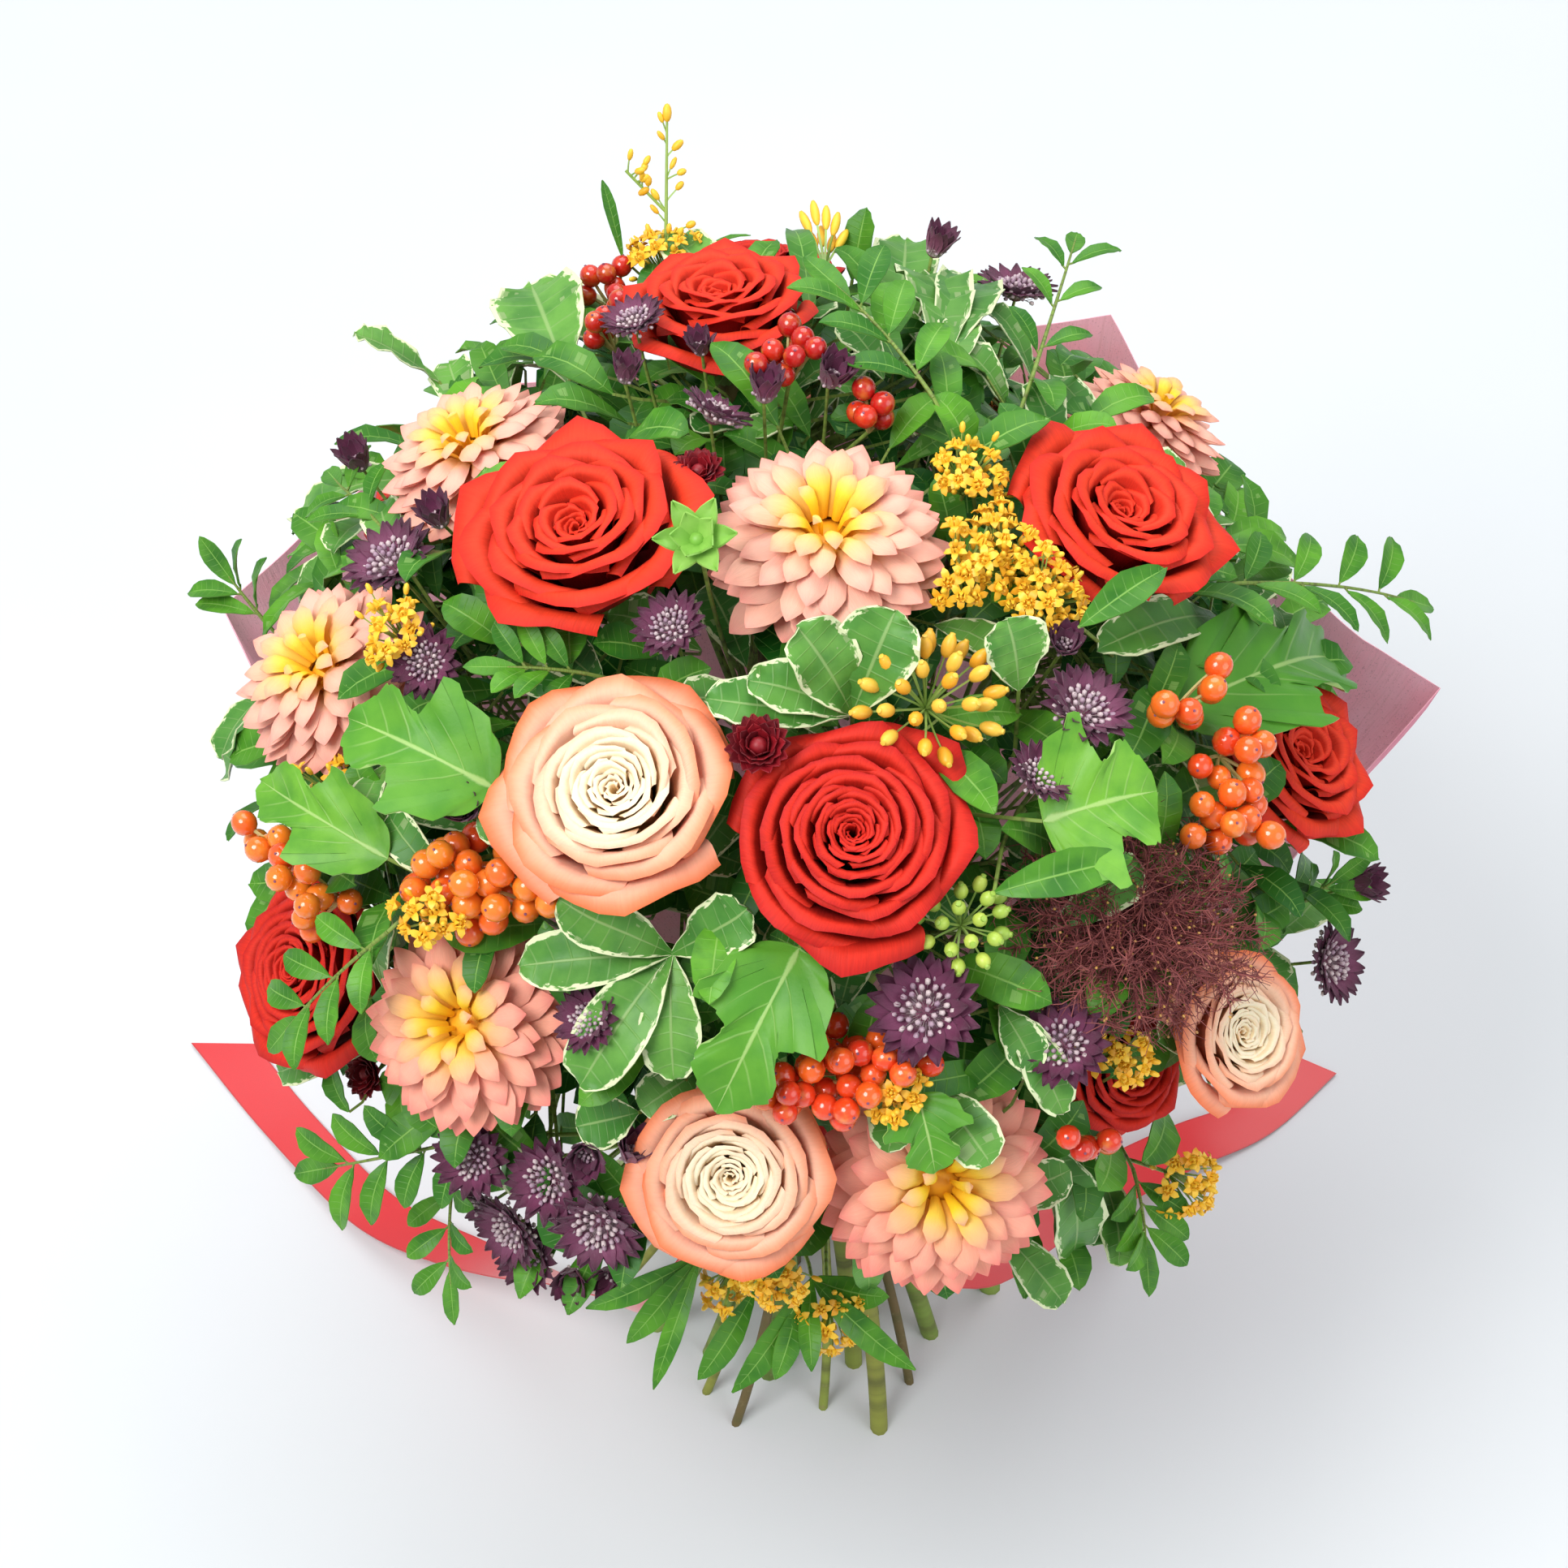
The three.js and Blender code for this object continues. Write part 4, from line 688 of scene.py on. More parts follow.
def smooth_line(points, count):
    """A smooth line through points, with the same number of steps between each two"""
    points = np.asarray(points, dtype=float)
    before = np.concatenate([[2 * points[0] - points[1]], points, [2 * points[-1] - points[-2]]])
    places = np.linspace(0, len(points) - 1, count)
    whole = np.minimum(places.astype(int), len(points) - 2)
    t = (places - whole)[:, None]
    a, b, c, d = (before[whole + k] for k in range(4))
    bend = 2 * a - 5 * b + 4 * c - d
    return 0.5 * (2 * b + (c - a) * t + bend * t ** 2 + (3 * b - a - 3 * c + d) * t ** 3)


def ease(t):
    t = np.clip(t, 0, 1)
    return t * t * (3 - 2 * t)


def dice(name):
    """Random draws of a thing's own, the same each time"""
    return np.random.default_rng(sum(ord(letter) * (n + 1) for n, letter in enumerate(name)))


# Materials

class Shader:
    """A material with its nodes at hand"""

    def __init__(self, name, **settings):
        self.material = bpy.data.materials.new(name)
        self.material.use_nodes = True
        self.tree = self.material.node_tree
        self.surface = self.tree.nodes["Principled BSDF"]
        for socket, value in settings.items():
            label = socket.replace("_", " ").title().replace("Ior", "IOR")
            self.surface.inputs[label].default_value = value

    def node(self, kind, **settings):
        node = self.tree.nodes.new(kind)
        for key, value in settings.items():
            setattr(node, key, value)
        return node

    def link(self, source, target):
        if isinstance(source, bpy.types.NodeSocket):
            self.tree.links.new(source, target)
        else:
            target.default_value = source

    def mark(self, name):
        return self.node("ShaderNodeAttribute", attribute_name=name).outputs["Fac"]

    def maths(self, operation, a, b=0.0):
        node = self.node("ShaderNodeMath", operation=operation)
        self.link(a, node.inputs[0])
        self.link(b, node.inputs[1])
        return node.outputs[0]

    def between(self, value, low, high):
        """0 below low, 1 above high, eased between"""
        node = self.node("ShaderNodeMapRange", interpolation_type="SMOOTHSTEP")
        self.link(value, node.inputs["Value"])
        node.inputs["From Min"].default_value = low
        node.inputs["From Max"].default_value = high
        return node.outputs["Result"]

    def ramp(self, value, stops):
        node = self.node("ShaderNodeValToRGB")
        self.link(value, node.inputs["Fac"])
        elements = node.color_ramp.elements
        for n, (place, colour) in enumerate(stops):
            element = elements[n] if n < 2 else elements.new(place)
            element.position = place
            element.color = (*colour, 1)
        return node.outputs["Color"]

    def blend(self, share, a, b, kind="MIX"):
        node = self.node("ShaderNodeMix", data_type="RGBA", blend_type=kind)
        self.link(share, node.inputs["Factor"])
        for value, target in ((a, node.inputs["A"]), (b, node.inputs["B"])):
            self.link(value if isinstance(value, bpy.types.NodeSocket) else (*value, 1), target)
        return node.outputs["Result"]

    def over(self, colour, other, where, share):
        """A colour with another over it where a value is high, as strong as share at most"""
        return self.blend(self.maths("MULTIPLY", where, share), colour, other)

    def place(self):
        return self.node("ShaderNodeTexCoord").outputs["Object"]

    def on_marks(self, along, across, shade):
        """Coordinates that run with a petal or leaf, stretched as asked"""
        node = self.node("ShaderNodeCombineXYZ")
        factors = (("along", along), ("across", across), ("shade", shade))
        for socket, (name, factor) in zip(node.inputs, factors):
            self.link(self.maths("MULTIPLY", self.mark(name), factor), socket)
        return node.outputs["Vector"]

    def noise(self, scale, where=None, detail=3.0):
        node = self.node("ShaderNodeTexNoise")
        self.link(where or self.place(), node.inputs["Vector"])
        node.inputs["Scale"].default_value = scale
        node.inputs["Detail"].default_value = detail
        return node.outputs["Fac"]

    def bump(self, height, strength, distance, below=None):
        node = self.node("ShaderNodeBump")
        node.inputs["Strength"].default_value = strength
        node.inputs["Distance"].default_value = distance
        self.link(height, node.inputs["Height"])
        if below is not None:
            self.link(below, node.inputs["Normal"])
        return node.outputs["Normal"]

    def finish(self, colour, normal=None):
        self.link(colour, self.surface.inputs["Base Color"])
        if normal is not None:
            self.link(normal, self.surface.inputs["Normal"])
        return self.material


def petal_material(name, inner, outer, under, streak, **settings):
    """Colours run along the petal, from one set in the heart of the bloom to another outside.
    The undersides of the outer petals have a deeper colour of their own."""
    shader = Shader(name, specular_ior_level=0.25, **settings)
    along, shade = shader.mark("along"), shader.mark("shade")
    colour = shader.blend(shade, shader.ramp(along, inner), shader.ramp(along, outer))
    below = shader.maths("MULTIPLY", shader.mark("side"), shader.between(shade, 0.2, 0.8))
    colour = shader.over(colour, under, below, 0.8)
    fibres = shader.noise(5, shader.on_marks(0.8, 7, 31), 4)
    tone = shader.ramp(fibres, [(0.35, (0.62, 0.6, 0.6)), (0.65, (1.1, 1.08, 1.06))])
    colour = shader.blend(streak, colour, tone, "MULTIPLY")
    normal = shader.bump(fibres, 0.25, 0.0006)
    normal = shader.bump(shader.noise(1400), 0.12, 0.0002, normal)
    return shader.finish(colour, normal)


def red_petals(name, deep):
    # Both ramps darken down the petal's wall to near black at its base: painted shade deep in the bloom.
    dark = (0.30, 0.003, 0.005) if deep else (0.42, 0.006, 0.005)
    full = (0.72, 0.026, 0.010) if deep else (0.82, 0.048, 0.014)
    rim = (0.50, 0.010, 0.008) if deep else (0.66, 0.020, 0.010)
    return petal_material(
        name,
        [(0.0, (0.06, 0.001, 0.002)), (0.5, dark), (0.84, full), (1.0, rim)],
        [(0.0, (0.12, 0.002, 0.003)), (0.45, dark), (0.8, full), (1.0, rim)],
        (0.40, 0.004, 0.006), 0.3, roughness=0.62)


def peach_petals():
    return petal_material(
        "peach_petal",
        [(0.0, (1.0, 0.48, 0.14)), (0.45, (1.0, 0.70, 0.36)), (0.8, (1.0, 0.84, 0.60)),
         (1.0, (1.0, 0.80, 0.58))],
        [(0.0, (1.0, 0.58, 0.40)), (0.5, (1.0, 0.58, 0.44)), (0.78, (1.0, 0.45, 0.30)),
         (0.92, (0.97, 0.27, 0.13)), (1.0, (0.92, 0.18, 0.06))],
        (0.90, 0.25, 0.13), 0.12, roughness=0.5, subsurface_weight=0.14, subsurface_scale=0.003)


def dahlia_petals(name, deep):
    middle = (1.0, 0.40, 0.29) if deep else (1.0, 0.50, 0.38)
    tip = (0.93, 0.24, 0.20) if deep else (0.99, 0.37, 0.30)
    return petal_material(
        name,
        [(0.0, (0.95, 0.48, 0.01)), (0.36, (1.0, 0.70, 0.03)), (0.62, (1.0, 0.58, 0.16)),
         (1.0, (1.0, 0.48, 0.30))],
        [(0.0, (1.0, 0.58, 0.06)), (0.26, (1.0, 0.56, 0.20)), (0.55, middle), (0.8, middle), (1.0, tip)],
        (0.80, 0.17, 0.17), 0.22, roughness=0.5, subsurface_weight=0.1, subsurface_scale=0.003)


def leaf_material(name, main, dark, under, vein, veins=9.0, margin=None):
    """A leaf with a rib, side veins and a paler underside, and a ragged margin if it has a colour for one"""
    shader = Shader(name, roughness=0.42, specular_ior_level=0.28)
    along, across = shader.mark("along"), shader.mark("across")
    far = shader.maths("ABSOLUTE", across)
    patches = shader.noise(90, detail=4)
    # The shade mark blends main towards dark: each leaf's own tone, and for the small leaves deep in the
    # head painted shade as well.
    shaded = shader.blend(shader.mark("shade"), main, dark)
    colour = shader.over(shaded, dark, shader.between(patches, 0.35, 0.7), 0.7)
    step = shader.maths("FRACT", shader.maths("MULTIPLY", along, veins))
    rung = shader.maths("ABSOLUTE", shader.maths("SUBTRACT", step, 0.5))
    line = shader.maths("MULTIPLY", shader.between(rung, 0.42, 0.5), shader.between(far, 1.0, 0.5))
    rib = shader.between(far, 0.07, 0.02)
    drawn = shader.maths("MAXIMUM", shader.maths("MULTIPLY", line, 0.28), shader.maths("MULTIPLY", rib, 0.7))
    colour = shader.blend(drawn, colour, vein)
    if margin is not None:
        ragged = shader.noise(6, shader.on_marks(2.4, 1.2, 17), 4)
        edge = shader.maths("ADD", far, shader.maths("MULTIPLY", shader.maths("SUBTRACT", ragged, 0.5), 0.7))
        at_tip = shader.maths("MULTIPLY", shader.between(along, 0.85, 1.05), edge)
        edge = shader.maths("MAXIMUM", edge, at_tip)
        colour = shader.blend(shader.between(edge, 0.84, 0.92), colour, margin)
    colour = shader.over(colour, under, shader.mark("side"), 0.75)
    normal = shader.bump(shader.maths("MAXIMUM", line, rib), 0.35, 0.0004)
    normal = shader.bump(shader.noise(900, detail=2), 0.15, 0.0003, normal)
    return shader.finish(colour, normal)


def stem_material():
    shader = Shader("stem_bark", roughness=0.5, specular_ior_level=0.35)
    base = shader.ramp(shader.mark("shade"), [
        (0.0, (0.10, 0.19, 0.03)), (0.35, (0.23, 0.34, 0.06)), (0.6, (0.28, 0.30, 0.05)),
        (0.8, (0.16, 0.11, 0.04)), (1.0, (0.30, 0.40, 0.12))])
    fibres = shader.noise(30, shader.on_marks(1.5, 1, 40), 4)
    flecks = shader.noise(350, detail=4)
    colour = shader.blend(shader.between(fibres, 0.4, 0.75), base, (0.10, 0.10, 0.03))
    colour = shader.over(colour, (0.3, 0.25, 0.12), shader.between(flecks, 0.6, 0.75), 0.4)
    colour = shader.blend(shader.mark("side"), colour, (0.55, 0.56, 0.33))
    return shader.finish(colour, shader.bump(flecks, 0.3, 0.0004))


def plain_material(name, colour, spread, scale=500, **settings):
    """One colour that wanders to a second with noise and with each item's shade"""
    shader = Shader(name, **settings)
    patches = shader.noise(scale)
    wander = shader.maths("MULTIPLY", patches, 0.6)
    tone = shader.maths("ADD", wander, shader.maths("MULTIPLY", shader.mark("shade"), 0.6))
    mixed = shader.blend(shader.between(tone, 0.2, 0.9), colour, spread)
    return shader.finish(mixed, shader.bump(patches, 0.2, 0.0003))


def berry_material():
    shader = Shader("berry_skin", roughness=0.16, specular_ior_level=0.55, coat_weight=0.5,
                    coat_roughness=0.12, subsurface_weight=0.15, subsurface_scale=0.003)
    base = shader.ramp(shader.mark("shade"), [
        (0.0, (0.93, 0.26, 0.02)), (0.35, (0.90, 0.14, 0.015)), (0.65, (0.82, 0.05, 0.012)),
        (1.0, (0.52, 0.012, 0.01))])
    clouds = shader.noise(220)
    colour = shader.over(base, (0.95, 0.5, 0.08), shader.between(clouds, 0.5, 0.8), 0.35)
    colour = shader.blend(shader.between(shader.mark("along"), 0.955, 0.985), colour, (0.05, 0.03, 0.015))
    return shader.finish(colour, shader.bump(clouds, 0.04, 0.0005))


def bract_material():
    shader = Shader("astrantia_bract", roughness=0.5, sheen_weight=0.15)
    dark = (0.07, 0.01, 0.035)
    base = shader.ramp(shader.mark("along"), [
        (0.0, (0.5, 0.42, 0.4)), (0.3, (0.28, 0.07, 0.16)), (0.7, (0.17, 0.025, 0.085)), (1.0, dark)])
    veins = shader.noise(4, shader.on_marks(0.6, 9, 23), 3)
    colour = shader.blend(shader.between(veins, 0.5, 0.75), base, dark)
    colour = shader.over(colour, (0.05, 0.006, 0.02), shader.mark("shade"), 0.5)
    return shader.finish(colour, shader.bump(veins, 0.4, 0.0004))


def paper_material():
    shader = Shader("mauve_paper", roughness=0.85)
    cloud = shader.between(shader.noise(60, detail=5), 0.3, 0.75)
    fibres = shader.noise(14, shader.on_marks(2, 26, 1), 6)
    specks = shader.noise(1500, detail=2)
    # The inside is painted lighter than the outside: painted light that makes up for the shade the head
    # casts on it.
    inside = shader.blend(cloud, (1.0, 0.56, 0.67), (1.0, 0.47, 0.58))
    outside = shader.blend(cloud, (0.70, 0.25, 0.33), (0.6, 0.18, 0.25))
    colour = shader.blend(shader.mark("side"), inside, outside)
    colour = shader.over(colour, (0.82, 0.42, 0.48), shader.between(fibres, 0.5, 0.72), 0.5)
    colour = shader.over(colour, (0.36, 0.11, 0.17), shader.between(specks, 0.6, 0.7), 0.35)
    normal = shader.bump(fibres, 0.35, 0.0006)
    return shader.finish(colour, shader.bump(specks, 0.25, 0.0003, normal))


def satin_material():
    shader = Shader("red_satin", roughness=0.3, specular_ior_level=0.55, sheen_weight=0.3, anisotropic=0.5)
    weave = shader.noise(40, shader.on_marks(30, 3, 1), 2)
    colour = shader.blend(shader.between(weave, 0.35, 0.65), (0.72, 0.012, 0.02), (0.62, 0.008, 0.014))
    edge = shader.between(shader.maths("ABSOLUTE", shader.mark("across")), 0.93, 0.96)
    colour = shader.over(colour, (0.45, 0.006, 0.01), edge, 0.5)
    normal = shader.bump(weave, 0.12, 0.0002)
    return shader.finish(colour, shader.bump(shader.noise(30, detail=2), 0.1, 0.001, normal))


RED_BRIGHT = red_petals("red_petal", False)
RED_DEEP = red_petals("crimson_petal", True)
PEACH_PETAL = peach_petals()
CORAL_PETAL = dahlia_petals("coral_petal", True)
BLUSH_PETAL = dahlia_petals("blush_petal", False)
STEM_BARK = stem_material()
SEPAL = leaf_material("sepal", (0.14, 0.27, 0.05), (0.09, 0.19, 0.035), (0.22, 0.33, 0.1), (0.2, 0.32, 0.08))
LOBED_LEAF = leaf_material(
    "lobed_leaf", (0.17, 0.42, 0.035), (0.06, 0.24, 0.02), (0.36, 0.54, 0.16), (0.42, 0.6, 0.2), 6)
EDGED_LEAF = leaf_material(
    "cream_edged_leaf", (0.15, 0.37, 0.06), (0.04, 0.18, 0.025), (0.26, 0.38, 0.15), (0.3, 0.46, 0.16), 8,
    (0.74, 0.8, 0.48))
SLIM_LEAF = leaf_material(
    "slim_leaf", (0.12, 0.36, 0.022), (0.012, 0.11, 0.010), (0.18, 0.36, 0.08), (0.26, 0.5, 0.1), 10)
BERRY_SKIN = berry_material()
PALE_STALK = plain_material("pale_stalk", (0.62, 0.42, 0.16), (0.45, 0.42, 0.14), roughness=0.5)
BRACT = bract_material()
CUSHION = plain_material("astrantia_cushion", (0.36, 0.22, 0.31), (0.66, 0.54, 0.54), 900, roughness=0.6)
DARK_THREAD = plain_material("dark_thread", (0.14, 0.02, 0.06), (0.3, 0.1, 0.17), roughness=0.6)
RUFFLE_PETAL = plain_material("ruffle_petal", (0.30, 0.006, 0.014), (0.12, 0.003, 0.008), roughness=0.5)
GOLDEN_PETAL = plain_material(
    "golden_petal", (0.92, 0.42, 0.015), (0.96, 0.6, 0.04), 300, roughness=0.45)
YELLOW_BUD = plain_material("yellow_bud", (0.93, 0.42, 0.02), (0.93, 0.58, 0.07), 300, roughness=0.4)
GREEN_BUD = plain_material("green_bud", (0.55, 0.66, 0.10), (0.34, 0.52, 0.07), 300, roughness=0.4)
STAR_GREEN = plain_material("star_green", (0.20, 0.45, 0.06), (0.34, 0.6, 0.12), 200, roughness=0.45)
GREEN_RAY = plain_material("green_ray", (0.36, 0.50, 0.12), (0.26, 0.42, 0.08), 300, roughness=0.45)
SMOKE_THREAD = plain_material("smoke_thread", (0.12, 0.018, 0.024), (0.32, 0.085, 0.075), 250, roughness=0.7)
SMOKE_SEED = plain_material("smoke_seed", (0.6, 0.33, 0.07), (0.4, 0.2, 0.06), 250, roughness=0.5)
MAUVE_PAPER = paper_material()
RED_SATIN = satin_material()


# The paper's form comes first, because the leaves lie against it

PAPER_ROWS = 38
SKIRT_ROWS = 6
PLEAT_STEPS = 7


def paper_form(bundle_radius):
    """Rows up from the tie by columns round the bouquet"""
    rng = dice("paper")
    neck = bundle_radius + 3.2
    columns = (len(PAPER_CORNERS) - 1) * PAPER_PLEATS * PLEAT_STEPS
    heights = np.linspace(0, 1, PAPER_ROWS)
    grid = np.zeros((PAPER_ROWS, columns + 1, 3))
    wander = rng.uniform(0, 6, 6)
    for n in range(columns + 1):
        pleats = n / PLEAT_STEPS
        i = min(int(pleats / PAPER_PLEATS), len(PAPER_CORNERS) - 2)
        a, b = (at_bearing(*PAPER_CORNERS[k]) for k in (i, i + 1))
        edge = mix(a, b, pleats / PAPER_PLEATS - i)
        out = unit(point(edge[0], edge[1], 0))
        reach = math.hypot(edge[0], edge[1])
        start = out * neck + UP * (TIE_HEIGHT + 9)
        flare = out * (neck + 5) + UP * (TIE_HEIGHT + 18)
        belly = out * 0.86 * reach + UP * (TIE_HEIGHT + 34)
        line = bezier([start, flare, belly, edge], PAPER_ROWS - SKIRT_ROWS)
        levels = np.linspace(TIE_HEIGHT - 12, TIE_HEIGHT + 7, SKIRT_ROWS)
        skirt = np.array([out * neck + UP * level for level in levels])
        grid[:, n] = np.concatenate([skirt, line])
        saw = abs((pleats % 2) - 1) * 2 - 1
        turn = n / columns * 12
        t = np.clip((heights - 0.12) / 0.88, 0, 1)
        fold = -2.4 * saw * np.minimum(1, 3 * t) * (1 - 0.4 * t)
        broad = np.sin(turn * 1.9 + wander[0] + 7 * t) * np.sin(5 * t + wander[1])
        small = 0.6 * np.sin(turn * 4.3 + wander[2] - 9 * t)
        crumple = 1.3 * t * (broad + small) + 0.35 * t * np.sin(turn * 11 + wander[3])
        gather = 0.7 * np.sin(turn * 15 + wander[4]) * (1 - ease(t * 4))
        grid[:, n] += out * (fold + crumple * (1 - 0.5 * t) + gather)[:, None]
    return grid


PAPER_ROOM = 2.5
LEVELS = 400
FIRST_BEARING, LAST_BEARING = PAPER_CORNERS[0][0], PAPER_CORNERS[-1][0]


def paper_limits(form):
    """The paper's radius by whole degrees of bearing and whole millimetres of height"""
    bearings = np.unwrap(np.arctan2(form[-1, :, 1], form[-1, :, 0])) * 180 / math.pi
    levels = np.arange(LEVELS)
    table = np.full((LAST_BEARING - FIRST_BEARING + 1, LEVELS), math.inf)
    for row in range(len(table)):
        column = min(np.searchsorted(bearings, FIRST_BEARING + row), form.shape[1] - 1)
        heights = form[:, column, 2]
        held = (levels >= heights[0]) & (levels <= heights[-1] + 3)
        radii = np.hypot(form[:, column, 0], form[:, column, 1])
        table[row, held] = np.interp(levels[held], heights, radii) - PAPER_ROOM
    return table


def within_paper(points):
    """Brings points that would pierce the paper in against it"""
    last = LAST_BEARING - FIRST_BEARING
    radius = np.maximum(np.hypot(points[..., 0], points[..., 1]), TINY)
    bearing = np.degrees(np.arctan2(points[..., 1], points[..., 0]))
    row = np.round((bearing - FIRST_BEARING) % 360).astype(int)
    level = np.clip(np.round(points[..., 2]), 0, LEVELS - 1).astype(int)
    limit = np.where(row <= last, PAPER_LIMITS[np.minimum(row, last), level], math.inf)
    share = np.minimum(1, limit / radius)
    tucked = np.array(points)
    tucked[..., :2] *= share[..., None]
    return tucked


# Blooms

# How deep a bloom's hip lies under its face, and the ring of balls that it fills: their count, how far out,
# radius and height, in bloom radii
BLOOM_KINDS = {"rose": (0.9, 6, 0.62, 0.46, 0.76), "dahlia": (0.55, 8, 0.76, 0.34, 0.24)}


def place_bloom(name, face, width):
    """A bloom's places and its stem's. What the bloom fills is kept free as balls."""
    kind = name.split("_")[0]
    depth, count, ring, radius, up = BLOOM_KINDS[kind]
    size = width / 2
    axis = outward(face)
    hip = face - axis * depth * size
    stand = Frame(hip, axis, face[0])
    balls = [((0, 0, 0.3 * size), 0.4 * size), ((0, 0, up * size), 0.5 * size)]
    for n in range(count):
        turn = 2 * math.pi * n / count
        where = (ring * size * math.cos(turn), ring * size * math.sin(turn), up * size)
        balls.append((where, radius * size))
    for where, reach in balls:
        taken.take_ball(stand.put(where), reach, name)
    return {"name": name, "kind": kind, "size": size, "axis": axis, "frame": stand,
            "top": hip - axis * SEAT_GAP, "radius": BLOOM_STEM_RADIUS[kind], "parts": 3}


WALL_ROWS = 6
LIP_ROWS = 5


def rose_petal(t, rng, style):
    """One rose petal in bloom radii: a wall up from the hip, then a lip that rolls out over the next petal.
    Gives angles, radii and heights of its grid, and its marks. t is 0 in the heart and 1 outside."""
    v = np.linspace(-1, 1, 9)
    sizes = ("rims", "tops", "lips", "drops", "curls")
    rim, top, lip, drop, curl = (np.interp(t, style["keys"], style[k]) for k in sizes)
    rim *= 1 + rng.normal(0, 0.03 * t)
    top += rng.normal(0, 0.014)
    lean = math.radians(4 + 34 * t + rng.normal(0, 5 * t))
    base = (0.03 + 0.18 * t, 0.08)
    end = (rim - 0.8 * lip, top - 0.4 * lip)
    grip = 0.42 * (end[1] - base[1])
    wall = bezier([
        point(*base, 0),
        point(base[0] + 0.05 + 0.55 * t * rim, base[1] + 0.1 * t + 0.05, 0),
        point(end[0] - grip * math.sin(lean), end[1] - grip * math.cos(lean), 0),
        point(*end, 0)], WALL_ROWS)
    radius = np.repeat(wall[:, :1], len(v), axis=1)
    height = base[1] + (wall[:, 1:2] - base[1]) * (1 - drop * np.abs(v) ** 2.6)
    s = np.linspace(0, 1, LIP_ROWS + 1)[1:, None]
    down = np.radians(curl) * (style["corner"] + (1 - style["corner"]) * np.abs(v) ** 1.3) - math.radians(8)
    slope = (math.pi / 2 - lean) * (1 - ease(s)) - down * ease(s)
    long = 1.5 * lip * (1 + style["tip"] * t * np.exp(-(v / 0.3) ** 2)) / LIP_ROWS
    radius = np.concatenate([radius, radius[-1] + np.cumsum(np.cos(slope) * long, axis=0)])
    height = np.concatenate([height, height[-1] + np.cumsum(np.sin(slope) * long, axis=0)])
    u = np.concatenate([np.linspace(0, 0.66, WALL_ROWS), np.linspace(0.73, 1, LIP_ROWS)])
    wide = style["wrap"][0] + (style["wrap"][1] - style["wrap"][0]) * t ** 0.7
    shape = wide * (0.35 + 0.65 * ease(u / 0.5)) * (1 - 0.12 * ease((u - 0.7) / 0.3))
    angle = v[None, :] * shape[:, None]
    radius = radius + style["spiral"] * (0.3 + 0.7 * t) * v[None, :] * u[:, None]
    start, waves = rng.uniform(0, 6, 3), rng.uniform(2.2, 4.5)
    swing = np.sin(waves * angle + start[0]) * u[:, None] ** 2
    radius = radius + 0.018 * (0.4 + t) * swing
    height = height + 0.024 * (0.4 + t) * np.sin(1.6 * waves * angle + start[1]) * u[:, None] ** 3
    radius = radius + 0.009 * np.sin(9 * angle + start[2]) * u[:, None] ** 6
    return angle, radius, height, u, v


# How the petals of each kind of rose change from the heart to the rim, at the shares in keys: how far out
# and how high they reach, how wide the lip is, how far its corners drop and how many degrees it curls
ROSE_STYLES = {
    "full": {
        "count": 52, "corner": 0.3, "tip": 0.6, "wrap": (1.5, 0.75), "spiral": 0.06,
        "keys": [0, 0.15, 0.3, 0.5, 0.7, 0.86, 1],
        "rims": [0.05, 0.15, 0.27, 0.46, 0.68, 0.86, 1.03],
        "tops": [0.98, 1.05, 1.09, 1.07, 1.0, 0.9, 0.76],
        "lips": [0.015, 0.026, 0.036, 0.048, 0.062, 0.085, 0.14],
        "drops": [0.02, 0.03, 0.04, 0.06, 0.09, 0.13, 0.18],
        "curls": [15, 22, 28, 34, 42, 55, 80]},
    "open": {
        "count": 38, "corner": 0.22, "tip": 0.9, "wrap": (1.5, 0.86), "spiral": 0.08,
        "keys": [0, 0.15, 0.28, 0.42, 0.64, 0.84, 1],
        "rims": [0.05, 0.13, 0.22, 0.4, 0.64, 0.86, 1.06],
        "tops": [0.84, 0.9, 1.0, 1.08, 1.04, 0.93, 0.75],
        "lips": [0.015, 0.03, 0.05, 0.07, 0.09, 0.115, 0.15],
        "drops": [0.02, 0.04, 0.06, 0.08, 0.1, 0.14, 0.18],
        "curls": [15, 25, 32, 38, 46, 58, 80]},
    "peach": {
        "count": 41, "corner": 0.5, "tip": 0.3, "wrap": (1.4, 0.95), "spiral": 0.05,
        "keys": [0, 0.22, 0.44, 0.6, 0.75, 0.88, 1],
        "rims": [0.04, 0.2, 0.38, 0.52, 0.7, 0.88, 1.02],
        "tops": [0.93, 1.0, 1.07, 1.1, 1.08, 0.98, 0.8],
        "lips": [0.02, 0.034, 0.044, 0.054, 0.09, 0.14, 0.2],
        "drops": [0.02, 0.03, 0.05, 0.06, 0.08, 0.12, 0.18],
        "curls": [8, 16, 22, 28, 38, 56, 82]},
}
OPEN_ROSES = ("rose_red_left", "rose_red_right", "rose_red_top", "rose_red_far_right", "rose_red_back_left")
DEEP_ROSES = ("rose_red_front", "rose_red_far_left", "rose_red_low_right", "rose_red_back")
ROSE_HIP = [(0, 0), (0.2, 0.01), (0.3, 0.12), (0.24, 0.3), (0.1, 0.62), (0, 0.7)]


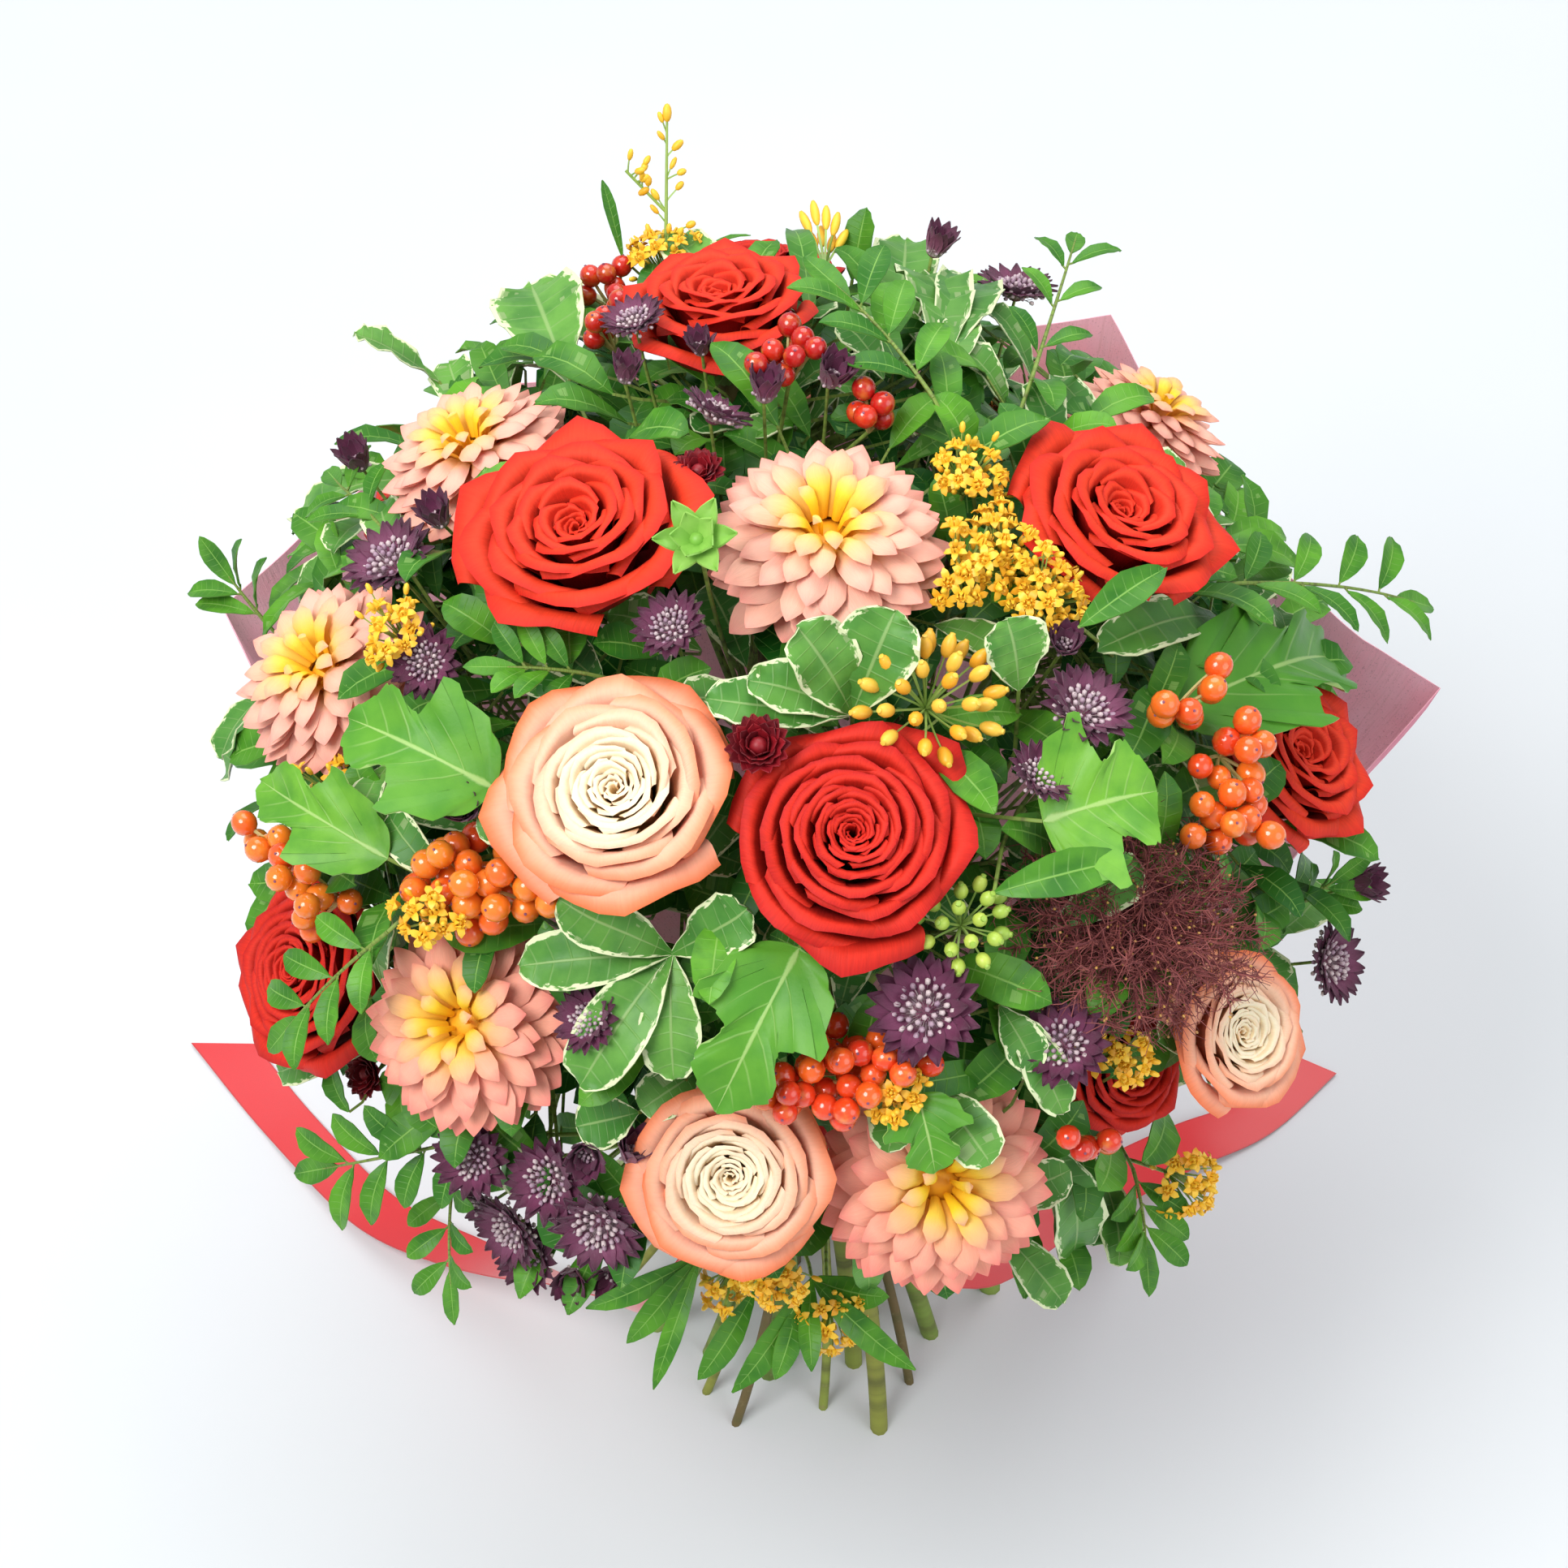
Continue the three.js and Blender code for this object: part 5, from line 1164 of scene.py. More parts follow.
def grow_rose(bloom):
    name, size = bloom["name"], bloom["size"]
    rng = dice(name)
    peach = "peach" in name
    style = ROSE_STYLES["peach" if peach else "open" if name in OPEN_ROSES else "full"]
    petal = PEACH_PETAL if peach else RED_DEEP if name in DEEP_ROSES else RED_BRIGHT
    heap = Heap(petal, SEPAL)
    for n in range(style["count"]):
        t = (n + 0.5) / style["count"]
        angle, radius, height, u, v = rose_petal(t, rng, style)
        angle = angle + n * GOLDEN + rng.normal(0, 0.08)
        grid = np.stack([radius * np.cos(angle), radius * np.sin(angle), height], axis=2) * size
        grid = bloom["frame"].put(grid.reshape(-1, 3)).reshape(grid.shape)
        thickness = 0.26 + 0.24 * (1 - u)
        shade = float(np.clip((ease((t - 0.34) / 0.6) if peach else t) + rng.normal(0, 0.05), 0, 1))
        sheet(heap, grid, thickness, u, v, shade)
    heap.use(SEPAL)
    turned(heap, ROSE_HIP, bloom["frame"], 16, 0.4, size)
    heap.build(name, "peach_petals" if peach else "red_petals", name)


DAHLIA_PETALS = 100
DAHLIA_SEPALS = 10
DAHLIA_OUTLINE = [
    (0, 0.4), (0.2, 0.7), (0.45, 0.97), (0.6, 1.0), (0.75, 0.86), (0.88, 0.52), (0.96, 0.2), (1, 0.02)]
DAHLIA_HEART = [(0, 0.2), (0.2, 0.22), (0.2, 0.3), (0.1, 0.38), (0, 0.4)]
DAHLIA_HIP = [(0, 0), (0.26, 0.01), (0.34, 0.1), (0.24, 0.26), (0, 0.3)]


def dahlia_line(t, heart, u, rng):
    """The midline of a petal in bloom radii, at the shares u of its way"""
    lean = math.radians(3 + 101 * t ** 0.56)
    tip_r = (math.sin(min(lean, math.pi / 2)) ** 0.9 + 0.02) * (1 + 0.03 * rng.normal())
    tip_z = 0.12 + 0.66 * math.cos(lean) + 0.03 * rng.normal() - 0.1 * heart
    root_r = 0.03 + 0.2 * tip_r
    root_z = 0.22 + 0.2 * math.cos(lean)
    rise = 0.18 * (1 - t) + 0.05
    curve = bezier([
        point(root_r, 0, root_z),
        point(mix(root_r, tip_r, 0.25), 0, mix(root_z, tip_z, 0.55) + rise),
        point(mix(root_r, tip_r, 0.7), 0, tip_z + 0.5 * rise - 0.03),
        point(tip_r, 0, tip_z)], 21)
    return np.stack([np.interp(u, np.linspace(0, 1, 21), curve[:, k]) for k in range(3)], axis=1)


def dahlia_petal(heap, bloom, n, rng):
    """The nth petal, cupped round its midline. The first are the short ones of the heart."""
    u = np.concatenate([np.linspace(0, 0.75, 4), [0.85, 0.92, 0.97, 1]])
    v = np.linspace(-1, 1, 5)
    keys = np.array(DAHLIA_OUTLINE)
    t = (n + 0.5) / DAHLIA_PETALS
    heart = ease((0.1 - t) / 0.1)
    line = dahlia_line(t, heart, u, rng)
    up = np.cross(units(np.gradient(line, axis=0)), point(0, -1, 0))
    half = (0.085 + 0.135 * t ** 0.5) * (1 + 0.08 * rng.normal()) * (1 - 0.35 * heart)
    outline = half * np.interp(u, keys[:, 0], keys[:, 1])
    cup = ((1.15 - 0.55 * t) * (1 - 0.35 * u))[:, None]
    bend = v[None, :] * cup
    offset = np.sin(bend) / cup
    lift = (1 - np.cos(bend)) / cup + 0.1 * rng.normal() * offset
    grid = (line[:, None, :] + point(0, 1, 0) * (offset * outline[:, None])[:, :, None]
            + up[:, None, :] * (lift * outline[:, None])[:, :, None])
    grid = bloom["frame"].put_grid(grid, n * GOLDEN + 0.07 * rng.normal(), bloom["size"])
    shade = float(np.clip(ease(t / 0.26) + 0.06 * rng.normal(), 0, 1))
    sheet(heap, grid, 0.32 + 0.22 * (1 - u), u, v, shade)


def dahlia_sepal(heap, bloom, n):
    u, v = np.linspace(0, 1, 6), np.linspace(-1, 1, 5)
    reach = np.linspace(0.18, 0.52, 6)
    line = np.stack([reach, np.zeros(6), 0.03 + 0.12 * (reach - reach[0])], axis=1)
    half = 0.09 * np.sqrt(np.clip(1 - np.linspace(-0.6, 1, 6) ** 2, 0.01, 1))
    spin = 2 * math.pi * n / DAHLIA_SEPALS + 0.2
    sheet(heap, blade(bloom["frame"], line, half, v, spin, bloom["size"]), 0.4, u, v, 0.3)


def grow_dahlia(bloom):
    name, size = bloom["name"], bloom["size"]
    rng = dice(name)
    heap = Heap(CORAL_PETAL if "low" in name or "back" in name else BLUSH_PETAL, SEPAL, GOLDEN_PETAL)
    for n in range(DAHLIA_PETALS):
        dahlia_petal(heap, bloom, n, rng)
    heap.use(GOLDEN_PETAL)
    turned(heap, DAHLIA_HEART, bloom["frame"], 12, 0.0, size)
    heap.use(SEPAL)
    turned(heap, DAHLIA_HIP, bloom["frame"], 16, 0.4, size)
    for n in range(DAHLIA_SEPALS):
        dahlia_sepal(heap, bloom, n)
    heap.build(name, "coral_petals", name)


# Sprays: the same places and ways as the solids, in the same order

FORK_STEP = 5
FORK_SHARES = (0.5, 0.44, 0.56, 0.38, 0.62)
WHORL_LIFT = -8


def back_leaf_ends(bearing, slant):
    """Base and tip of a leaf behind the dome"""
    return behind(bearing, slant, -24), behind(bearing + 6, slant + 17, 12)


def astrantia_places(spray):
    return [behind(x, y, 0) if mark else seen((x, y), 0) for x, y, _, *mark in spray["heads"]]


def foliage_places(spray):
    return ([seen(base, lift - 12) for _, base, _, _, lift in spray["leaves"]]
            + [seen(at, WHORL_LIFT) for at, _ in spray["whorls"]]
            + [back_leaf_ends(bearing, slant)[0] for _, bearing, slant, _ in spray["back"]]
            + [seen(start, lift - 8) for start, _, _, _, lift in spray["sprigs"]])


PLACES = {
    "astrantia": astrantia_places,
    "berries": lambda spray: [mix(seen(b[0], b[5]), seen(b[1], b[5]), 0.5) for b in spray["bunches"]],
    "florets": lambda spray: [seen(at, lift) for at, _, _, lift in spray["clusters"]],
    "umbels": lambda spray: [seen(at, lift) for at, _, _, lift in spray["umbels"]],
    "plume": lambda spray: [seen(spray["at"])],
    "foliage": foliage_places,
}


def list_sprays():
    kinds = {"astrantia": ASTRANTIA, "berries": BERRIES, "florets": BUTTERFLY_WEED, "umbels": [UMBELS],
             "plume": [PLUME], "foliage": FOLIAGE}
    sprays = []
    for kind, members in kinds.items():
        for member in members:
            places = PLACES[kind](member)
            middle = sum(places) / len(places)
            sprays.append({
                **member, "kind": kind, "middle": middle, "axis": outward(middle), "top": middle,
                "radius": SPRAY_STEM_RADIUS, "parts": 3, "forks": 0, "heap": Heap(*SPRAY_MATERIALS[kind])})
    return sprays


def stem_way(stem):
    """A stem's way from the tie to its bloom, or to where its spray forks"""
    tie = below_tie(stem["spot"], TIE_HEIGHT)
    best = None
    for share in FORK_SHARES if "middle" in stem else (1,):
        top = mix(FAN, stem["middle"], share) if "middle" in stem else stem["top"]
        found = free_way(tie, UP, top, stem["axis"], stem["radius"], stem["name"], stem["parts"])
        if best is None or found[2] > best[0][2]:
            best = (found, top)
        if found[2] > ROOM:
            break
    return best


def place_stems(stems):
    """Gives each stem its way, and returns the radius of the bundle at the tie"""
    for stem, spot in zip(stems, pack_bundle(stems, len(BLOOMS))):
        stem["spot"] = spot
    for stem in stems:
        (controls, points, _), top = stem_way(stem)
        stem.update(controls=controls, above=points, top=top)
        taken.take(points, stem["radius"], stem["name"])
    return max(np.linalg.norm(stem["spot"]) + stem["radius"] for stem in stems)


def grow_stem(heap, stem, shade, radius, sides):
    """The whole stem from the floor to its top, with the slight swellings of its nodes"""
    rng = dice(stem["name"] + "stem")
    low = [below_tie(stem["spot"], height) for height in np.linspace(0, TIE_HEIGHT, 15)[:-1]]
    line = np.concatenate([low, bezier(stem["controls"], 20)])
    steps = np.linspace(0, 1, len(line))
    knots = np.sort(rng.uniform(0.05, 0.95, 3))
    swell = sum(np.exp(-((steps - knot) / 0.018) ** 2) for knot in knots)
    radii = radius * (1.04 - 0.14 * steps + 0.1 * swell)
    tube(heap, line, radii, sides, shade, foot=True)


def next_fork(spray):
    """A place on the spray's stem, lower each time"""
    down = unit(spray["above"][-2] - spray["top"])
    spray["forks"] += 1
    return spray["top"] + down * (FORK_STEP * spray["forks"] - 3)


def branch(spray, end, arrive, radius=1.0, parts=3, thick=0.75):
    """A branch from the next fork of the spray's stem"""
    start = next_fork(spray)
    controls, points, _ = free_way(start, unit(end - start), end, arrive, radius, spray["name"], parts)
    taken.take(points, radius, spray["name"])
    spray["heap"].use(STEM_BARK)
    tube(spray["heap"], bezier(controls, 12), np.linspace(1.15, 0.85, 12) * thick, 7, 0.35)


# Astrantia

def bract_ring(heap, frame, size, count, lean, length, half, rng):
    """A ring of pointed papery bracts that leave the axis at a lean from it"""
    u = np.linspace(0, 1, 6)
    v = np.linspace(-1, 1, 3)
    outline = half * np.array([0.6, 0.85, 1.0, 0.92, 0.6, 0.06])
    fold = 0.25 * np.abs(v) * half
    for n in range(count):
        spin = 2 * math.pi * (n + 0.5 * rng.uniform(-0.5, 0.5)) / count
        angle = (lean + rng.normal(0, 0.06)) * (0.55 + 0.45 * u[1:])
        out = np.concatenate([[0], np.cumsum(np.sin(angle))]) * length / 5
        up = np.concatenate([[0], np.cumsum(np.cos(angle))]) * length / 5
        line = np.stack([0.22 + out, np.zeros(6), 0.1 + up], axis=1)
        sheet(heap, blade(frame, line, outline, v, spin, size, fold), 0.26, u, v, float(rng.uniform(0, 1)))


def cushion_pins(heap, frame, size, reach, count, rng):
    """The cushion of tiny florets: pins in a dome, each with a pale knob, and dark threads between"""
    heap.use(CUSHION)
    roots, tips = [], []
    for n in range(count):
        out = math.sqrt((n + 0.5) / count)
        tip = turn_about_z(n * GOLDEN) @ point(reach * out, 0, 0.5 - 0.24 * out * out + 0.03 * rng.normal())
        root = point(tip[0] * 0.25, tip[1] * 0.25, 0.14)
        roots.append(frame.put(root * size))
        tips.append(frame.put(tip * size))
        way = unit(tips[-1] - roots[-1])
        ball(heap, tips[-1], way, 0.046 * size + 0.2, 0.06 * size + 0.24, 5, 4, float(rng.uniform(0, 1)))
    roots, tips = np.array(roots)[:, None], np.array(tips)[:, None]
    lines = mix(roots, tips, np.linspace(0, 1, 3)[None, :, None])
    hairs(heap, lines, [0.2, 0.16, 0.16], rng.uniform(0, 1, count))
    heap.use(DARK_THREAD)
    stray = lines[:, -1] + rng.normal(0, 0.06 * size, (count, 3)) + frame.axis * 0.09 * size
    strays = np.stack([lines[:, 1], 0.5 * (lines[:, -1] + stray), stray], axis=1)[::2]
    hairs(heap, strays, [0.14, 0.12, 0.08], rng.uniform(0, 1, len(strays)))


SMALL_HEAD, MIDDLING_HEAD = 20.5, 22
ASTRANTIA_HIP = [(0, -0.02), (0.14, 0.02), (0.26, 0.12), (0.16, 0.2), (0, 0.22)]


def astrantia_head(heap, place, axis, width, spin, rng):
    """A star of bracts round a cushion. The small ones, and a third of the middling ones, are half shut."""
    size = width / 2
    frame = Frame(place, axis, spin)
    heap.use(BRACT)
    if width < SMALL_HEAD or width < MIDDLING_HEAD and spin % 3 == 1:
        bract_ring(heap, frame, size, 11, 0.42, 1.05, 0.24, rng)
        bract_ring(heap, frame, size, 7, 0.2, 0.85, 0.2, rng)
        cushion_pins(heap, frame, size, 0.34, 22, rng)
    else:
        bract_ring(heap, frame, size, 18, 1.36, 0.86, 0.17, rng)
        bract_ring(heap, frame, size, 15, 1.05, 0.8, 0.16, rng)
        cushion_pins(heap, frame, size, 0.74, 80, rng)
    heap.use(DARK_THREAD)
    turned(heap, ASTRANTIA_HIP, frame, 9, 0.4, size)


def grow_astrantia(spray):
    rng = dice(spray["name"])
    for n, rough in enumerate(astrantia_places(spray)):
        width = spray["heads"][n][2]
        place = nudge(rough, 0.3 * width)
        axis = outward(place)
        taken.take_ball(place, 0.4 * width, spray["name"])
        branch(spray, place + axis * 0.13 * width, axis, 1, 2, 0.6)
        lean = unit(axis + 0.25 * rng.normal(size=3))
        astrantia_head(spray["heap"], place, lean, width * (1.4 if width < 15.5 else 1.2), n, rng)


# Clusters

def mound(start, end, spread, count, lift):
    """Places round the way from one photo point to another, higher in the middle"""
    places = []
    for n in range(count):
        share = (n * 0.618) % 1
        place = mix(seen(start, lift), seen(end, lift), share)
        axis = outward(place)
        out = spread * math.sqrt((n + 0.5) / count)
        side = unit(np.cross(axis, point(0, 1, 0.3)))
        place = place + side * out * math.cos(n * GOLDEN)
        place = place + np.cross(side, axis) * out * math.sin(n * GOLDEN)
        places.append(place - axis * 0.3 * out)
    return places


def cluster(spray, layout, size, depth):
    """(hub, places) of a cluster, which a branch carries"""
    places = []
    for rough in mound(*layout):
        place = nudge(rough, 0.5 * size)
        taken.take_ball(place, 0.48 * size, spray["name"])
        places.append(place)
    middle = sum(places) / len(places)
    axis = outward(middle)
    hub = nudge(middle - axis * depth, 1.5)
    branch(spray, hub, axis, 1, 2)
    for place in places:
        taken.take([hub, place], 0.6, spray["name"])
    return hub, places


def stalk(heap, hub, place, radius, rng, sag=0.12):
    """A thin stalk that leaves a hub and bends a little. The thinnest are drawn with fewer faces."""
    steps, sides = (7, 5) if radius > 0.5 else (5, 3)
    length = np.linalg.norm(place - hub)
    bend = mix(hub, place, 0.5) + rng.normal(0, sag * length * 0.4, 3)
    line = bezier([hub, mix(hub, bend, 0.66), mix(place, bend, 0.66), place], steps)
    tube(heap, line, np.linspace(1.2, 0.9, steps) * radius, sides, float(rng.uniform(0, 1)))
    return unit(line[-1] - line[-2])


BERRY_DOT = [(0, -0.1), (0.45, 0.0), (0.38, 0.3), (0, 0.35)]


def berry(heap, hub, place, size, tone, rng):
    """A berry on its pale stalk, with the dark dot of its old flower"""
    heap.use(PALE_STALK)
    way = stalk(heap, hub, place, 0.55, rng)
    radius = 0.5 * size * rng.uniform(0.97, 1.06)
    heap.use(BERRY_SKIN)
    ball(heap, place, way, radius, radius * 1.05, 12, 10, float(np.clip(tone + rng.normal(0, 0.12), 0, 1)))
    heap.use(DARK_THREAD)
    turned(heap, BERRY_DOT, Frame(place + way * radius * 1.03, way), 6, 0.5)


def grow_berries(spray):
    rng = dice(spray["name"])
    spray["hubs"] = []
    for start, end, size, spread, count, lift in spray["bunches"]:
        hub, places = cluster(spray, (start, end, spread, count, lift), size, 14)
        spray["hubs"].append(hub)
        for place in places:
            berry(spray["heap"], hub, place, size, spray["tone"], rng)


def free_spots(spray, layout, size, wanted):
    """More places in a mound where a thing of that size touches nothing"""
    start, end, spread, count, lift = layout
    spots = []
    for n, place in enumerate(mound(start, end, spread * 1.6, 16 * count, lift - 1)):
        place = place - outward(place) * 0.35 * size * (n % 3)
        starts, ends, radii, owners = taken.packed()
        own = np.where((owners == spray["name"]) & (radii < 1), radii - 5, radii)
        if clearance([place, place + UP * 0.01], 0.44 * size, (starts, ends, own)) > 0:
            taken.take_ball(place, 0.5 * size, spray["name"])
            spots.append(place)
        if len(spots) == wanted:
            break
    return spots


def add_berries(spray):
    """More berries in the gaps of each bunch"""
    rng = dice(spray["name"] + "more")
    for (start, end, size, spread, count, lift), hub in zip(spray["bunches"], spray["hubs"]):
        for place in free_spots(spray, (start, end, spread, count, lift), size, round(1.6 * count)):
            berry(spray["heap"], hub, place, size, spray["tone"], rng)


FLORET = 7
FLORET_COLUMN = [(0, 0), (0.08, 0.05), (0.09, 0.3), (0, 0.36)]


def star_floret(heap, place, way, size, rng):
    """Five petals bent back, five upright hoods round a small column"""
    frame = Frame(place, way, rng.uniform(0, 6))
    u, v = np.linspace(0, 1, 4), np.linspace(-1, 1, 3)
    angle = 0.35 + 1.75 * u
    out, up = np.cumsum(np.sin(angle)) * 0.16, np.cumsum(np.cos(angle)) * 0.16
    petal = np.stack([0.06 + out, np.zeros(4), up], axis=1)
    petal_half = 0.15 * np.array([0.6, 1.0, 0.9, 0.12])
    hood = np.array([[0.06, 0, 0.05], [0.19, 0, 0.26], [0.13, 0, 0.47]])
    hood_half = np.array([0.05, 0.1, 0.02])
    for n in range(5):
        grid = blade(frame, petal, petal_half, v, 2 * math.pi * n / 5, size)
        sheet(heap, grid, 0.3, u, v, float(rng.uniform(0, 1)))
        grid = blade(frame, hood, hood_half, v, 2 * math.pi * (n + 0.5) / 5, size)
        sheet(heap, grid, 0.3, np.linspace(0, 1, 3), v, 1.0)
    turned(heap, FLORET_COLUMN, frame, 5, 0.8, size)


SPIRE_TWIG = (-13, 13)
SPIRE_BUDS = 9
TWIG_BUDS = 8


def grow_spire(spray, hub, tip, rng):
    """A tall stalk with buds on short stalks of their own, a side twig with more, and one at its tip"""
    heap = spray["heap"]
    leave = unit(tip - hub)
    controls, points, _ = free_way(hub, leave, tip, leave, 1, spray["name"], 3)
    taken.take(points, 1, spray["name"])
    heap.use(GREEN_RAY)
    line = bezier(controls, 16)
    tube(heap, line, np.linspace(0.8, 0.4, 16), 6, 0.4)
    side = unit(np.cross(leave, point(0, -1, 0)))
    for n in range(SPIRE_BUDS):
        share = 0.3 + 0.66 * n / SPIRE_BUDS + rng.uniform(-0.02, 0.03)
        place = line[int(share * 15)]
        hand = rng.choice([-1, 1])
        end = place + side * hand * (9 - 8 * share) * rng.uniform(0.5, 1.2) + leave * rng.uniform(2, 6)
        bud(heap, place, end, rng)
    root = line[6]
    twig = root + side * SPIRE_TWIG[0] + leave * SPIRE_TWIG[1]
    heap.use(GREEN_RAY)
    tube(heap, bezier([root, mix(root, twig, 0.3), mix(root, twig, 0.7), twig], 6), [0.5] * 6, 5, 0.4)
    for n in range(TWIG_BUDS):
        place = mix(root, twig, 0.45 + 0.07 * n)
        bud(heap, place, place + rng.normal(0, 2.4, 3) + leave * 3, rng)
    heap.use(GOLDEN_PETAL)
    ball(heap, line[-1] - leave, leave, 1.5, 3, 8, 7, 0.6)


def bud(heap, place, end, rng):
    heap.use(GREEN_RAY)
    way = stalk(heap, place, end, 0.3, rng)
    heap.use(GOLDEN_PETAL)
    ball(heap, end, way, rng.uniform(0.9, 1.4), rng.uniform(1.6, 2.5), 7, 6, float(rng.uniform(0.2, 1)))


def floret(heap, hub, place, rng):
    """A star floret and two buds beside it, on thin stalks"""
    heap.use(GREEN_RAY)
    way = stalk(heap, hub, place, 0.4, rng)
    heap.use(GOLDEN_PETAL)
    star_floret(heap, place, way, FLORET * rng.uniform(0.9, 1.15), rng)
    for _ in range(2):
        tip = mix(hub, place, 0.9) + rng.normal(0, 2.6, 3) + outward(place) * 1.5
        heap.use(GREEN_RAY)
        way = stalk(heap, hub, tip, 0.3, rng)
        heap.use(GOLDEN_PETAL)
        ball(heap, tip, way, 0.95, 1.9, 6, 5, float(rng.uniform(0.4, 1)))


def grow_florets(spray):
    rng = dice(spray["name"])
    spire, spire_tip, spire_lift = spray.get("spire", (None, None, None))
    spray["hubs"] = []
    for index, (at, spread, count, lift) in enumerate(spray["clusters"]):
        hub, places = cluster(spray, (at, at, spread, count, lift), FLORET, 13)
        spray["hubs"].append(hub)
        if index == spire:
            grow_spire(spray, hub, seen(spire_tip, spire_lift), rng)
        for place in places:
            floret(spray["heap"], hub, place, rng)


def add_florets(spray):
    """More florets in the gaps of each cluster"""
    rng = dice(spray["name"] + "more")
    for (at, spread, count, lift), hub in zip(spray["clusters"], spray["hubs"]):
        for place in free_spots(spray, (at, at, spread, count, lift), 0.62 * FLORET, round(2.2 * count)):
            floret(spray["heap"], hub, place, rng)


def green_star(heap, place, axis, width, rng):
    """A fleshy green star of pointed lobes in two rings"""
    heap.use(STAR_GREEN)
    frame = Frame(place, axis)
    u, v = np.linspace(0, 1, 7), np.linspace(-1, 1, 5)
    half = 0.15 * np.array([0.6, 0.9, 1.05, 1.0, 0.8, 0.45, 0.05])
    for ring, (count, lean, length) in enumerate(((6, 1.35, 0.62), (5, 0.8, 0.5))):
        angle = lean * (0.6 + 0.4 * u)
        out, up = np.cumsum(np.sin(angle)) * length / 7, np.cumsum(np.cos(angle)) * length / 7
        line = np.stack([out, np.zeros(7), up], axis=1)
        for n in range(count):
            spin = 2 * math.pi * (n + 0.5 * ring) / count
            grid = blade(frame, line, half, v, spin, width, 0.06 * np.abs(v))
            sheet(heap, grid, 1.0 - 0.6 * u, u, v, float(rng.uniform(0, 0.6)))
    ball(heap, place + axis * 0.1 * width, axis, 0.12 * width, 0.14 * width, 10, 8, 0.2)


GREEN_STAR = 2
BUD_CAP = [(0, 0), (0.9, 0.2), (0.8, 0.9), (0, 1.1)]


def spiral(n, flat, high):
    """The nth of places set round an axis by the golden angle"""
    return point(flat * math.cos(n * GOLDEN), flat * math.sin(n * GOLDEN), high)


def ray_end(n, count, reach):
    """Where the nth of so many rays of an umbel ends, from its hub"""
    lean = 1.25 * math.sqrt((n + 0.5) / count)
    return spiral(n, reach * math.sin(lean), reach * math.cos(lean))


def grow_umbels(spray):
    """Umbels of buds on rays. The first has long yellow buds, and one is a green star instead."""
    rng = dice(spray["name"])
    heap = spray["heap"]
    for index, (at, width, count, lift) in enumerate(spray["umbels"]):
        place = nudge(seen(at, lift), 4)
        axis = outward(place)
        hub = place - axis * 0.34 * width
        frame = Frame(hub, axis)
        branch(spray, hub + axis, axis, 1.2)
        for n in range(count):
            taken.take([hub, frame.put(ray_end(n, count, 0.5 * width))], 1.5, spray["name"])
        heap.use(GREEN_RAY)
        if index == GREEN_STAR:
            tube(heap, np.array([hub, mix(hub, place, 0.5), place + axis]), [1.2, 1.1, 1.2], 8, 0.5)
            green_star(heap, place, unit(axis + point(-0.1, -0.5, 0.2)), width, rng)
            continue
        rays = round(count * 2.3)
        skin, long = (YELLOW_BUD, 3.3) if index == 0 else (GREEN_BUD, 2.3)
        for n in range(rays):
            head = frame.put(ray_end(n, rays, 0.5 * width * rng.uniform(0.86, 1.06)))
            heap.use(GREEN_RAY)
            way = stalk(heap, hub, head, 0.35, rng, 0.05)
            heap.use(skin)
            ball(heap, head + way * long * 0.6, way, 2.1, long * 1.1, 10, 8, float(rng.uniform(0, 1)))
            turned(heap, BUD_CAP, Frame(head + way * (long * 1.5), way), 7, 1.0)


TWIGS = 90
TWIG_HAIRS = 52
SEED_EVERY = 23
PLUME_DEPTH = 16
PLUME_SPREAD = (1.18, 1.28, 1.25)


def plume_twigs(heap, frame, scale, rng):
    twigs = []
    for n in range(TWIGS):
        high = 1 - 1.35 * (n + 0.5) / TWIGS
        way = spiral(n, math.sqrt(1 - high * high), high)
        tip = way * scale * rng.uniform(0.78, 1.08)
        start = way * scale * 0.1
        bend = mix(start, tip, 0.5) + rng.normal(0, 2.2, 3)
        line = frame.put(bezier([start, mix(start, bend, 0.7), mix(tip, bend, 0.6), tip], 6))
        tube(heap, line, np.linspace(0.5, 0.22, 6), 4, float(rng.uniform(0, 1)))
        twigs.append(line)
    return twigs


def grow_plume(spray):
    """Twigs from the middle of the plume, fine hairs all along them, and a seed on a hair here and there"""
    rng = dice(spray["name"])
    heap = spray["heap"]
    place = seen(spray["at"], -6)
    axis = outward(place)
    branch(spray, place, axis, 1.2, 3, 0.9)
    scale = point(*PLUME_SPREAD) * point(spray["width"] / 2, spray["height"] / 2, PLUME_DEPTH)
    heap.use(SMOKE_THREAD)
    starts, ends, seeds = [], [], []
    for line in plume_twigs(heap, Frame(place, axis), scale, rng):
        where = rng.uniform(0.15, 1, TWIG_HAIRS) * 5
        whole = np.minimum(where.astype(int), 4)
        start = line[whole] + (line[whole + 1] - line[whole]) * (where - whole)[:, None]
        aim = units(rng.normal(size=(TWIG_HAIRS, 3)) + unit(line[-1] - place) * 0.75)
        end = start + aim * rng.uniform(4, 10, (TWIG_HAIRS, 1))
        starts.append(start)
        ends.append(end)
        seeds.extend(end[::SEED_EVERY])
    starts, ends = np.concatenate(starts), np.concatenate(ends)
    bend = rng.normal(0, 1.3, starts.shape)
    t = np.linspace(0, 1, 3)[None, :, None]
    lines = starts[:, None] * (1 - t) + ends[:, None] * t + bend[:, None] * (4 * t * (1 - t))
    hairs(heap, lines, [0.19, 0.16, 0.09], rng.uniform(0, 1, len(lines)))
    heap.use(SMOKE_SEED)
    for seed in seeds:
        ball(heap, seed, unit(seed - place), 0.45, 0.55, 5, 4, float(rng.uniform(0, 1)))


# Leaves

